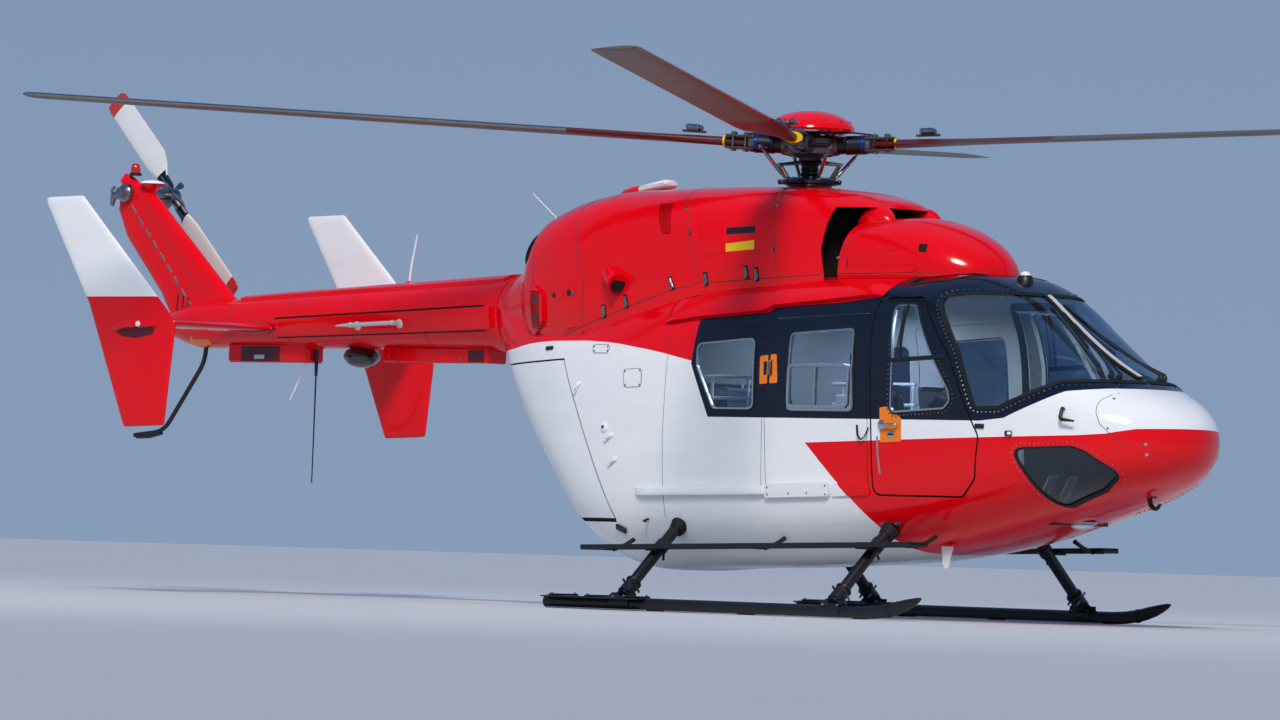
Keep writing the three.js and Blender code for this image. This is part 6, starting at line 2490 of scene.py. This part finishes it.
# %% Harness
# Woven polyester: matt, with a soft light along its edges; its threads are drawn at 2 mm so that they show
webbing = new_finish("harness_webbing_black", "#1a1b1f", 0.9, grain=0.004, bump=(0.002, 0.0008), sheen=0.3)
straps, buckles = [], []
for name, (x, y, width) in SEATS.items():
    knee = Vector((x + 0.06, y, FLOOR_Z + 0.270))
    out, over_seat = Vector((0.9728, 0, 0.2316)), Vector((-0.145, 0, 0.989))
    for side in (-1, 1):
        line = [
            knee + back_way * 0.62 - out * 0.03, knee + back_way * 0.60 + out * 0.022,
            knee + back_way * 0.40 + out * 0.030, knee + back_way * 0.16 + out * 0.034 + seat_way * 0.03
        ]
        line = [spot + Vector((0, side * (0.085 - 0.015 * k), 0)) for k, spot in enumerate(line)]
        straps.append(strip(line, [out] * 4, 0.042, 0.003))
        lap = [
            knee + seat_way * 0.05 + Vector((0, side * 0.175, -0.005)),
            knee + seat_way * 0.09 + over_seat * 0.028 + Vector((0, side * 0.12, 0)),
            knee + seat_way * 0.15 + over_seat * 0.032 + Vector((0, side * 0.03, 0))
        ]
        straps.append(strip(lap, [over_seat] * 3, 0.042, 0.003))
    buckles.append(turned(
        [(0, 0), (0.032, 0), (0.034, 0.008), (0.024, 0.016), (0, 0.017)],
        knee + seat_way * 0.155 + over_seat * 0.034, over_seat, 20
    ))
item_from(straps, "harness_straps", webbing)
item_from(buckles, "harness_buckles", steel)
print(len(straps), "straps")

# %% [markdown]
# The console is a folded box with two screens under a padded hood that keeps the sun off them. Its side
# view is one outline; the screens are thin blocks of dark glass in bezels, turned to face the pilots. They
# are off, as parked.

# %% Instrument console
# Coated display glass, unlit: nearly black, with a clear mirror image
screen_dark = new_finish("unlit_screen_glass", "#05070b", 0.08, coat=0.6, uneven=0.05)
CONSOLE = [
    (2.08, 0), (2.43, 0), (2.50, 0.42), (2.555, 0.62), (2.28, 0.725), (2.262, 0.715), (2.20, 0.40),
    (2.06, 0.33)
]
HOOD = [(2.565, 0.635), (2.262, 0.745), (2.235, 0.738), (2.235, 0.72), (2.55, 0.60)]
console = prism([(x, FLOOR_Z + z) for x, z in CONSOLE], -0.27, 0.27)
settle(console, "instrument_console", black_film, nodes=["instrument_panel"])
settle(prism([(x, FLOOR_Z + z) for x, z in HOOD], -0.29, 0.29), "instrument_hood", headliner)
face_spot, face_out = Vector((2.232, 0, FLOOR_Z + 0.56)), Vector((-0.981, 0, 0.193))
dials, rims, screens = [], [], []
for y in (-0.135, 0.135):
    turn = facing_turn(face_out, (0, 1, 0))
    rims.append(block((0.235, 0.195, 0.018), face_spot + Vector((0, y, 0)), turn, 0.2))
    screens.append(block((0.195, 0.155, 0.004), face_spot + face_out * 0.011 + Vector((0, y, 0)), turn, 0.2))
    for k in range(6):
        key = face_spot + face_out * 0.010 + Vector((0.033, y - 0.085 + 0.034 * k, -0.165))
        dials.append(turned(stud(0.011, 0.009, 0.016, 0.017), key, face_out, 14))
item_from(rims, "screen_bezels", trim_grey)
item_from(screens, "screens", screen_dark)
item_from(dials, "console_knobs", steel)
print(len(dials), "knobs")

# %% [markdown]
# Each pilot has a stick that leans back to the hand, and a pair of ribbed pedals. Sticks are bent tube, so
# bars with a soft bend give them, and the pedals are plates with four ribs across.

# %% Sticks and pedals
controls, grips, pedals, fittings = [], [], [], []
for y in (-0.34, 0.34):
    controls.append(bar(
        [(1.76, y, FLOOR_Z + 0.002), (1.80, y, FLOOR_Z + 0.18), (1.745, y, FLOOR_Z + 0.34)],
        [0.015, 0.013, 0.012], 14, bend=0.06
    ))
    grips.append(bar(
        [
            (1.745, y, FLOOR_Z + 0.335), (1.728, y, FLOOR_Z + 0.40), (1.73, y, FLOOR_Z + 0.455),
            (1.745, y, FLOOR_Z + 0.47)
        ],
        [0.017, 0.021, 0.024, 0.012], 16, bend=0.01
    ))
    fittings.append(turned(
        [(0, 0), (0.075, 0), (0.072, 0.006), (0.045, 0.03), (0.02, 0.05), (0, 0.05)],
        (1.76, y, FLOOR_Z + 0.001), sides=24
    ))
    for side in (-1, 1):
        foot = Vector((2.52, y + side * 0.10, FLOOR_Z + 0.25))
        lean = facing_turn((-0.86, 0, 0.50), (0, 1, 0))
        pedals.append(block((0.095, 0.15, 0.012), foot, lean, 0.3))
        pedals += [
            block((0.085, 0.008, 0.004), foot + Vector((-0.0062, 0, 0.0036)) + lean.col[1] * rib, lean, 0.3)
            for rib in (-0.05, -0.02, 0.01, 0.04)
        ]
        controls.append(bar(
            [
                foot + Vector((0.01, 0, -0.04)), foot + Vector((-0.03, 0, -0.10)),
                (2.40, foot.y, FLOOR_Z + 0.13)
            ],
            0.010, 10, bend=0.03
        ))
    fittings.append(block((0.14, 0.30, 0.05), (2.38, y, FLOOR_Z + 0.115), None, 0.2))
item_from(controls, "control_sticks_and_arms", steel)
item_from(grips, "stick_grips", rubber)
item_from(pedals, "pedals", bright_metal)
item_from(fittings, "control_floor_boxes", headliner)
print(len(pedals), "pedal parts")

# %% [markdown]
# Behind the seats a rack of tube carries boxes at both aft windows. What shows through the glass is mostly
# its rails.

# %% Rack and boxes at the aft windows
rack, boxes = [], []
for side in (-1, 1):
    y = side * 0.66
    for z in (1.42, 1.56):
        rack.append(bar([(-0.30, y * 0.97, z), (0.42, y, z)], 0.012, 12))
    for x in (-0.22, 0.10, 0.40):
        rack.append(bar([(x, y, FLOOR_Z + 0.002), (x, y, 1.57)], 0.011, 12))
    boxes.append(block((0.34, 0.20, 0.17), (0.06, side * 0.54, 1.40), None, 0.08))
    boxes.append(block((0.52, 0.24, 0.30), (0.06, side * 0.52, FLOOR_Z + 0.20), None, 0.05))
    rack.append(bar(
        [
            (-0.06, side * 0.54, 1.487), (-0.05, side * 0.54, 1.525), (0.17, side * 0.54, 1.525),
            (0.18, side * 0.54, 1.487)
        ],
        0.007, 10, bend=0.02
    ))
item_from(rack, "cabin_rack_rails", white_paint)
item_from(boxes, "cabin_rack_boxes", headliner)
print(len(rack), "rails and", len(boxes), "boxes")

# %% [markdown]
# ## What is fastened to the flanks
# Handles sit in bright orange film so that a rescuer finds them. Hatches are held by quarter-turn
# fasteners, the louvred hood behind the engines lets the hot air out, and everything that is opened often
# has its own latch.

# %% Fixing parts and films to the flanks
def fixed(parts, x, z, table=CABIN, lift=0.0, ahead=(1, 0, 0)):
    """Puts parts that were drawn flat, with z outwards, on the starboard skin at (x, z)."""
    places, facings = on_side([(x, z)], table, lift)
    place = Matrix.Translation(places[0]) @ facing_turn(facings[0], ahead).to_4x4()
    return [moved(part, place) for part in parts]


def two_sides(parts, name, material, body="airframe", sharp=32):
    """The same parts on both flanks; on a door, one piece for each door."""
    if body == "airframe":
        item_from(on_both(parts), name, material, sharp=sharp)
    else:
        item_from(parts, f"{name}_starboard", material, f"{body}_starboard", sharp=sharp)
        item_from([flipped_y(part) for part in parts], f"{name}_port", material, f"{body}_port", sharp=sharp)


def film(outline, name, material, lift=0.0012, table=CABIN, corner=0.012, body="airframe"):
    """A film or thin plate on both flanks; on a door it rides with its door."""
    plate = panel(table, rounded(outline, corner, 4), lift, -0.003, 0.1, step=0.02)
    for side, item in both_sides(plate).items():
        settle(item, f"{name}_{side}", material, body if body == "airframe" else f"{body}_{side}")


print("a part on a door rides with its door")

# %% [markdown]
# The crew door has a lever handle with two locks on an orange film, and the sliding door a small slotted
# one. Each is drawn flat on a bench, then put on the skin at its place, so that it stands square to it.

# %% Films and handles
film([(0.412, 1.705), (0.464, 1.707), (0.483, 1.518), (0.412, 1.515)], "slider_placard", orange_mark)
film([(0.319, 1.693), (0.392, 1.702), (0.392, 1.515), (0.325, 1.509)], "aft_placard", orange_mark)
film(
    [(0.418, 1.660), (0.428, 1.660), (0.434, 1.573), (0.418, 1.573)], "slider_handle_slot", black_film,
    0.0018, corner=0.003
)
film(
    [(0.354, 1.657), (0.386, 1.659), (0.386, 1.572), (0.359, 1.568)], "slider_latch_plate", black_film,
    0.0018, corner=0.004
)
film(
    [(1.373, 1.366), (1.432, 1.372), (1.560, 1.299), (1.565, 1.149), (1.388, 1.141)], "crew_handle_placard",
    orange_mark, body="crew_door"
)
handle = [
    bar(
        [(0, 0, -0.002), (0, 0, 0.030), (0.135, 0, 0.034), (0.150, 0, 0.018)], [0.010, 0.010, 0.009, 0.006],
        14, bend=0.02
    ),
    turned([(0, 0), (0.030, 0), (0.031, 0.004), (0.022, 0.010), (0, 0.011)], (0, 0, 0.001), sides=24),
    turned(
        [(0, 0), (0.026, 0), (0.027, 0.004), (0.018, 0.008), (0, 0.008)], (0.085, -0.062, 0.001), sides=24
    )
]
two_sides(fixed(handle, 1.395, 1.255), "crew_door_handle", bright_metal, "crew_door", sharp=45)
two_sides(
    fixed([block((0.050, 0.012, 0.004), (0.085, -0.062, 0.010), None, 0.3)], 1.395, 1.255),
    "crew_door_lock", black_film, "crew_door"
)
guard = strip(*on_side(spaced([(1.362, 1.180), (1.372, 1.06), (1.392, 0.94)], 0.04)), 0.016, 0.004)
two_sides([guard], "crew_door_guard_strip", bright_metal, "crew_door")
handle = [
    bar([(0, -0.045, 0.0), (0, -0.045, 0.022), (0, 0.045, 0.022), (0, 0.045, 0.0)], 0.007, 12, bend=0.012)
]
two_sides(fixed(handle, 0.425, 1.617), "slider_handle", steel, sharp=45)
strap = bar(
    [
        (1.190, -0.806, 1.251), (1.215, -0.826, 1.185), (1.245, -0.824, 1.150), (1.272, -0.816, 1.185),
        (1.290, -0.808, 1.235)
    ],
    0.007, 10, bend=0.02, flat=0.5
)
two_sides([strap], "slider_pull_strap", rubber)
print("both side doors have their handles")

# %% [markdown]
# A long fairing covers the sliding door's lower rail, and quarter-turn fasteners hold the hatches, one at
# each corner.

# %% Rail fairings, hatches and their fasteners
film(
    [(0.41, 0.765), (0.96, 0.785), (0.965, 0.88), (0.41, 0.855)], "lower_rail_fairing", cabin_paint, 0.026,
    corner=0.010
)
film(
    [(0.985, 0.785), (1.300, 0.798), (1.300, 0.835), (0.985, 0.870)], "lower_rail_guide", cabin_paint,
    0.012, corner=0.010
)
screws = []
for x, z in ((0.435, 0.79), (0.435, 0.835), (0.94, 0.80), (0.94, 0.855), (0.62, 0.80), (0.78, 0.805)):
    screws += fixed([turned(stud(0.007, 0.006, 0.003, 0.004), sides=10)], x, z, lift=0.026)

HATCHES = {
    "oil_hatch": [(-0.947, 1.600), (-0.770, 1.608), (-0.764, 1.485), (-0.935, 1.481)],
    "filler_hatch": [(-1.312, 1.768), (-1.130, 1.767), (-1.120, 1.710), (-1.292, 1.711)],
}
hatch_seams = []
for name, outline in HATCHES.items():
    film(outline, name, cabin_paint, 0.0022, corner=0.014)
    hatch_seams.append(
        strip(*on_side(spaced(rounded(outline, 0.018, 3), 0.02, closed=True)), 0.0035, 0.0026, closed=True)
    )
    for x, z in grown(outline, -0.014):
        screws += fixed([turned(stud(0.008, 0.007, 0.002, 0.0025), sides=10)], x, z, lift=0.0022)
two_sides(screws, "flank_screws", steel)
print(len(screws), "fasteners a side")

# %% [markdown]
# Latches, a filler cap, lamps and sensors dot the flank. They are sorted by finish in one dictionary, to
# which the next cells add, and become one piece for each finish at the end.

# %% Small fittings, seams and rivets of the flank
small = {"dark": [], "white": [], "bright": [], "red": []}
latch = [
    block((0.10, 0.035, 0.012), (0, 0, 0.006), None, 0.3),
    block((0.045, 0.022, 0.010), (0.012, 0, 0.016), None, 0.3)
]
for x, z, ahead in (
    (-1.43, 1.475, (0.6, 0, 0.8)), (-1.075, 1.145, (1, 0, 0.55)), (-1.03, 0.985, (1, 0, 0.55))
):
    small["white"] += fixed(latch, x, z, ahead=ahead)
small["white"] += fixed(
    [turned([(0, 0), (0.034, 0), (0.036, 0.006), (0.024, 0.012), (0, 0.013)], sides=24)], -1.12, 1.215
)
small["dark"] += fixed([turned(stud(0.010, 0.010, 0.018, 0.019), sides=14)], -1.12, 1.215)
lamp_body = [block((0.10, 0.045, 0.022), (0, 0, 0.010), None, 0.35)]
small["dark"] += fixed(lamp_body, -0.985, 0.540, ahead=(1, 0, -0.3))
small["dark"] += fixed([bar([(0, 0, 0), (0, 0, 0.045), (0.03, 0, 0.055)], 0.008, 10)], -0.70, 0.606)
small["dark"] += fixed([block((0.07, 0.03, 0.010), (0, 0, 0.005), None, 0.2)], 2.205, 1.255)
small["dark"] += fixed([block((0.05, 0.035, 0.022), (0, 0, 0.010), None, 0.3)], 2.427, 1.212)
small["white"] += fixed([block((0.028, 0.022, 0.030), (0.010, 0, 0.013), None, 0.3)], 2.427, 1.212)
small["bright"] += fixed([turned(stud(0.009, 0.008, 0.020, 0.021), sides=14)], 0.70, 2.352, FAIRING)
small["dark"] += fixed([block((0.008, 0.075, 0.003), (0, 0, 0.001), None, 0.2)], 0.767, 2.32, FAIRING)
SEAMS = [
    [(-0.52, 1.845), (-0.545, 1.20), (-0.53, 0.62)], [(0.12, 1.92), (0.30, 1.935)],
    [(0.355, 1.30), (0.36, 0.80)]
]
seam_parts = hatch_seams + [strip(*on_side(spaced(line, 0.05)), 0.0035, 0.0008) for line in SEAMS]
two_sides(seam_parts, "flank_seams", seam_filler)
flank_lines = [
    [(-0.55, 1.84), (-0.575, 1.20), (-0.56, 0.62)], [(-0.49, 1.84), (-0.515, 1.20), (-0.50, 0.62)],
    [(-0.95, 0.64), (-0.3, 0.60), (0.40, 0.60), (1.2, 0.62)], [(-0.9, 0.70), (-0.3, 0.66), (0.40, 0.66)],
    [(1.45, 0.64), (2.0, 0.69), (2.42, 0.80)], [(-1.60, 1.74), (-1.0, 1.76)],
]
places, facings = on_lines(flank_lines, CABIN, 0.034)
copies(places, facings, RIVET, "flank_rivets", cabin_paint)
print(len(places), "rivets on a flank")

# %% [markdown]
# The louvred hood lets hot air out. Its slats are dark slits a few millimetres high; real slats are bent
# from the sheet, but between them the eye sees only shadow, so thin black blocks on the hood are enough.

# %% Louvred hood and the fittings behind the engines
HOOD_LIFT = 0.024
hood_ring = [
    (-1.965, 2.18), (-2.06, 2.12), (-2.08, 1.90), (-2.03, 1.835), (-1.94, 1.87), (-1.87, 1.93),
    (-1.86, 2.10)
]
film(hood_ring, "cooling_hood", red_paint, HOOD_LIFT, COWLING, 0.02)
slats = []
for z in np.linspace(1.89, 2.13, 17):
    slats += fixed(
        [block((0.105, 0.0075, 0.004), (0, 0, 0.0005), None, 0.2)], -1.935 + 0.012 * math.sin(z * 9), z,
        COWLING, HOOD_LIFT
    )
two_sides(slats, "cooling_hood_slats", shade_black)
for x, z, radius in ((-1.745, 2.103, 0.020), (-1.585, 2.118, 0.024)):
    ring = [turned([(0, -0.002), (radius, -0.002), (radius, 0.0015), (0, 0.0015)], sides=24)]
    small["dark"] += fixed(ring, x, z, COWLING)
small["dark"] += fixed([block((0.085, 0.026, 0.010), (0, 0, 0.005), None, 0.3)], -1.80, 1.745)
small["red"] += fixed([block((0.055, 0.055, 0.004), (0, 0, 0.002), None, 0.2)], -1.665, 2.108, COWLING)
small["red"] += fixed(
    [
        bar([(0, 0, 0), (0, 0, 0.05)], [0.018, 0.014], 16),
        block((0.10, 0.030, 0.018), (0.03, 0, 0.046), None, 0.3)
    ],
    -1.60, 1.868
)
places, facings = on_side(
    spaced([(-1.80, 2.16), (-1.80, 1.86)], 0.03) + spaced([(-1.835, 2.16), (-1.835, 1.86)], 0.03), COWLING
)
copies(places, facings, RIVET, "cooling_hood_rivets", red_paint)
print(len(slats), "slats in each hood")

# %% [markdown]
# The nose has a hatch with its seam, a post between the windscreen's halves and two wipers. A wiper is an
# arm with a thinner second arm beside it and a rubber blade, all bent along the glass. They lie on the skin
# 12 to 30 mm proud, so each point is placed on the skin and lifted, and no modifier has to hold them there.

# %% Nose hatch, windscreen post and wipers
nose_arc = [
    (3.011, 1.487), (2.973, 1.452), (2.966, 1.41), (2.976, 1.364), (3.017, 1.28), (3.115, 1.189),
    (3.17, 1.15)
]
two_sides([strip(*on_side(spaced(nose_arc, 0.03)), 0.0045, 0.0008)], "nose_hatch_seam", seam_filler)
for x, z in ((3.02, 1.45), (3.0, 1.35), (3.06, 1.26)):
    small["bright"] += fixed([turned(stud(0.010, 0.009, 0.002, 0.003), sides=16)], x, z)
small["dark"] += fixed(
    [bar(
        [(0, 0.04, 0.0), (0, 0.04, 0.035), (0, -0.035, 0.045), (0.10, -0.040, 0.050)],
        [0.010, 0.011, 0.012, 0.006], 12, bend=0.02
    )],
    2.79, 1.335
)
for x, z in ((3.245, 1.165), (3.245, 1.100)):
    small["bright"] += fixed([turned(stud(0.012, 0.010, 0.003, 0.003), sides=16)], x, z)
POST = [(2.10, 0), (2.28, 0), (2.50, 0), (2.70, 0), (2.88, 0)]
places, facings = on_top(spaced(POST, 0.04), CABIN, 0.001)
item_from([strip(places, facings, 0.060, 0.010)], "windscreen_post_seal", rubber)
item_from(
    [strip([place + facing * 0.008 for place, facing in zip(places, facings)], facings, 0.040, 0.008)],
    "windscreen_post", headliner
)
wiper_parts = {"arms": [], "blades": []}
for mark in (-1, 1):
    arm = [(2.855, mark * 0.270), (2.70, mark * 0.170), (2.42, mark * 0.085), (2.26, mark * 0.055)]
    places, facings = on_top(arm, CABIN, 0.030)
    wiper_parts["arms"].append(bar(places, [0.012, 0.008, 0.006, 0.004], 10, bend=0.04))
    second, _ = on_top(
        [(2.875, mark * 0.205), (2.66, mark * 0.125), (2.44, mark * 0.070), (2.36, mark * 0.060)], CABIN,
        0.030
    )
    wiper_parts["arms"].append(bar(second, [0.008, 0.005, 0.005, 0.004], 10, bend=0.04))
    for spot in ((2.855, mark * 0.270), (2.875, mark * 0.205)):
        foot, out = on_top([spot], CABIN, -0.004)
        wiper_parts["arms"].append(
            turned([(0, 0), (0.020, 0), (0.019, 0.022), (0.010, 0.036), (0, 0.036)], foot[0], out[0], 18)
        )
    places, facings = on_top(
        spaced([(2.56, mark * 0.150), (2.38, mark * 0.095), (2.18, mark * 0.050)], 0.05), CABIN, 0.012
    )
    wiper_parts["blades"].append(strip(places, facings, 0.014, 0.010, sink=0.006))
item_from(wiper_parts["arms"], "wiper_arms", black_coat)
item_from(wiper_parts["blades"], "wiper_blades", rubber)
print(len(wiper_parts["arms"]), "parts in the wipers' arms")

# %% [markdown]
# Under the belly are a landing light, a blade aerial and a tie-down hook. The light is two lathe profiles
# on one axis, the lens and its rim, so that each has its own finish.

# %% Under the belly, and the collected fittings
under = {
    "lens": [
        turned(
            [(0, 0), (0.085, 0), (0.082, -0.012), (0.05, -0.035), (0, -0.045)], (2.43, 0.0, 0.656), sides=28
        )
    ],
    "rim": [turned(
        [(0, 0.01), (0.098, 0.01), (0.100, -0.006), (0.086, -0.012), (0, -0.012)], (2.43, 0.0, 0.656),
        sides=28
    )]
}
item_from(under["lens"], "landing_light_lens", lamp_glass, sharp=50)
item_from(under["rim"], "landing_light_rim", bright_metal)
aerial_outline = [(1.635, 0.50), (1.735, 0.50), (1.70, 0.345), (1.672, 0.335), (1.655, 0.36)]
aerial = prism(rounded(aerial_outline, 0.012, 3), -0.452, -0.440)
settle(aerial, "belly_blade_aerial", white_paint)
item_from([block((0.13, 0.05, 0.030), (1.685, -0.446, 0.497), None, 0.3)], "belly_aerial_foot", red_paint)
hook = [
    bar(
        [(2.98, 0, 0.85), (3.00, 0, 0.775), (3.045, 0, 0.755), (3.075, 0, 0.79)],
        [0.020, 0.016, 0.013, 0.010], 14, bend=0.03
    ),
    block((0.10, 0.06, 0.03), (2.98, 0, 0.842), None, 0.3)
]
item_from(hook, "nose_tie_down_hook", black_coat)
finishes = {"dark": black_coat, "white": white_paint, "bright": bright_metal, "red": red_paint}
for name, parts in small.items():
    two_sides(parts, f"flank_fittings_{name}", finishes[name], sharp=40)
print({name: len(parts) for name, parts in small.items()}, "small fittings")

# %% [markdown]
# The tail bumper is bent tube with a skid plate at its end. It keeps the tail rotor off the ground.

# %% Tail bumper
bumper_line = [(-5.760, 0, 1.850), (-5.770, 0, 1.660), (-6.180, 0, 1.150), (-6.480, 0, 1.118)]
bumper = [
    bar(bumper_line, 0.0165, 16, bend=0.10),
    turned(
        [(0, -0.012), (0.040, -0.012), (0.042, 0.004), (0.026, 0.020), (0, 0.022)], (-5.763, 0, 1.795),
        sides=24
    ),
    bar([(-6.20, 0, 1.135), (-6.33, 0, 1.112), (-6.46, 0, 1.108)], [0.012, 0.0165, 0.016], 14),
    turned(stud(0.0175, 0.016, 0.008, 0.010), (-6.478, 0, 1.1183), (-1, 0, -0.1), 16)
]
item_from(bumper, "tail_bumper_tube", black_coat, nodes=["tail_bumper"], sharp=50)
print("tail bumper reaches down to", bumper_line[-1][2], "m")

# %% [markdown]
# ## Inside of the doors
# An open door shows a trim panel that stops short of its seal, held by a row of dark fasteners, and a
# handle to pull it shut by. Cloth could hang over a board for the trim, but the real one is a thin hard
# shell that follows the door, so it is cut from the same skin as the door, a little deeper.

# %% Trim panels
TRIM_EDGE = 0.045
TRIM_TOP, TRIM_BOTTOM = -0.020, -0.027
FASTENER_PITCH, LOWEST_FASTENER, LEAST_WIDTH = 0.11, 0.5, 0.15

trims = [
    ("crew_door", door_ring, [grown(crew_glass, 0.035)], 0.06, trim_grey),
    ("clamshell_door", CLAMSHELL, [], 0.04, trim_grey),
]
for name, ring, openings, near, finish in trims:
    trim = panel(CABIN, grown(ring, -TRIM_EDGE), TRIM_TOP, TRIM_BOTTOM, near, holes=openings)
    for side, item in both_sides(trim).items():
        settle(item, f"{name}_trim_{side}", finish, f"{name}_{side}")
    line = spaced(grown(ring, -TRIM_EDGE - 0.02), FASTENER_PITCH, closed=True)
    line = [(x, z) for x, z in line if x > HOLLOW_TO and z > LOWEST_FASTENER]
    places, facings = on_side(clear_of(line, LEAST_WIDTH), lift=TRIM_BOTTOM)
    inward = [facing * -1 for facing in facings]
    for side, flip in (("starboard", 1), ("port", -1)):
        rows = [[Vector((v.x, v.y * flip, v.z)) for v in row] for row in (places, inward)]
        copies(*rows, BOLT, f"{name}_trim_fasteners_{side}", black_film, f"{name}_{side}", both=False)
print("trims stop", TRIM_EDGE * 1000, "mm inside the doors' edges")

# %% [markdown]
# The handle inside a door is a bent bar on two feet, turned to lie as the hand pulls.

# %% Pull handles
pull = [
    bar(
        [(0, -0.11, -0.024), (0, -0.10, -0.062), (0, 0.10, -0.062), (0, 0.11, -0.024)], 0.010, 12, bend=0.03
    )
]
two_sides(fixed(pull, 1.46, 1.02, ahead=(0.2, 0, 1)), "crew_door_pull", black_film, "crew_door")
two_sides(fixed(pull, -1.90, 1.20, ahead=(0.5, 0, 1)), "clamshell_pull", black_film, "clamshell_door")
print("each hinged door has a pull handle")

# %% [markdown]
# ## Floor and light
# A pale floor runs to the horizon under an open, cool sky. One broad sun-like lamp stands where the
# daylight comes from, ahead and above, and two wide panels add soft light without showing in reflections.

# %% Floor and sky
FLOOR_RADIUS = 220

floor_work = bmesh.new()
bmesh.ops.create_circle(floor_work, cap_ends=True, segments=96, radius=FLOOR_RADIUS)
floor_mesh = bpy.data.meshes.new("floor")
floor_work.to_mesh(floor_mesh)
floor_work.free()
floor = bpy.data.objects.new("floor", floor_mesh)
floor.location.z = cad_low.z - 0.001
# Pale matt concrete, uneven only over metres: it holds a soft shadow and mirrors nothing
floor.data.materials.append(new_finish("pale_studio_floor", "#c9ccce", 0.7, grain=3.0, uneven=0.04))
bpy.context.scene.collection.objects.link(floor)

world = bpy.data.worlds.new("sky")
world.use_nodes = True
tree = world.node_tree
tree.nodes.clear()
direction = add(tree, "ShaderNodeTexCoord").outputs["Generated"]
height = add(tree, "ShaderNodeSeparateXYZ", {"Vector": direction}).outputs[2]
climb = add(tree, "ShaderNodeMapRange", {"Value": height, "From Min": -0.02, "From Max": 0.55}).outputs[0]
sky_mix = add(
    tree, "ShaderNodeMix", {"Factor": climb, "A": linear("#93a9c6"), "B": linear("#5f86b8")},
    data_type="RGBA"
)
backdrop = add(tree, "ShaderNodeBackground", {"Color": sky_mix.outputs["Result"], "Strength": 0.85})
add(tree, "ShaderNodeOutputWorld", {"Surface": backdrop.outputs[0]})
bpy.context.scene.world = world
print("floor is", 2 * FLOOR_RADIUS, "m across")

# %% Lamps
def lamp(name, kind, place, target, energy, colour, **settings):
    """A lamp at a place, turned to a target; area lamps don't show themselves to the camera."""
    light = bpy.data.lights.new(name, kind)
    light.energy = energy
    light.color = linear(colour)[:3]
    for key, value in settings.items():
        setattr(light, key, value)
    item = bpy.data.objects.new(name, light)
    item.location = place
    item.rotation_euler = (Vector(target) - Vector(place)).to_track_quat("-Z", "Y").to_euler()
    item.visible_camera = kind != "AREA"
    bpy.context.scene.collection.objects.link(item)
    return item


middle = Vector((MAST_X - 0.8, 0, 1.7))
lamp("daylight", "SUN", middle + Vector((9, -11, 13)), middle, 2.4, "#fff3e4", angle=math.radians(14))
panels = [
    ("long_panel_starboard", Vector((2, -12, 7)), 260, 3), ("long_panel_top", Vector((-1, 2, 11)), 300, 5)
]
for name, away, energy, width in panels:
    panel_lamp = lamp(
        name, "AREA", middle + away, middle, energy, "#ffffff", shape="RECTANGLE", size=14, size_y=width
    )
    panel_lamp.visible_glossy = False
for x, energy in ((1.75, 16), (0.35, 26), (-0.9, 10)):
    spot = Vector((MAST_X + x, 0, 2.02))
    lamp(
        f"cabin_lamp_at_{x}", "AREA", spot, spot - Vector((0, 0, 1)), energy, "#ffffff", shape="RECTANGLE",
        size=0.5, size_y=0.9
    )
bpy.context.scene.view_settings.view_transform = "Standard"

# %% [markdown]
# ## Finishing
# Three CAD nodes that hardly show keep their shape and only change their material.

# %% Materials for the nodes that stay
NODE_FINISH = {"cabin_floor": trim_grey, "engine_block": dark_steel, "main_gearbox": dark_steel}
for name, material in NODE_FINISH.items():
    mesh = frame["nodes"][name].data
    mesh.materials.clear()
    mesh.materials.append(material)
print("kept as they are:", sorted(NODE_FINISH))

# %% The end
print(len(made), "pieces made")
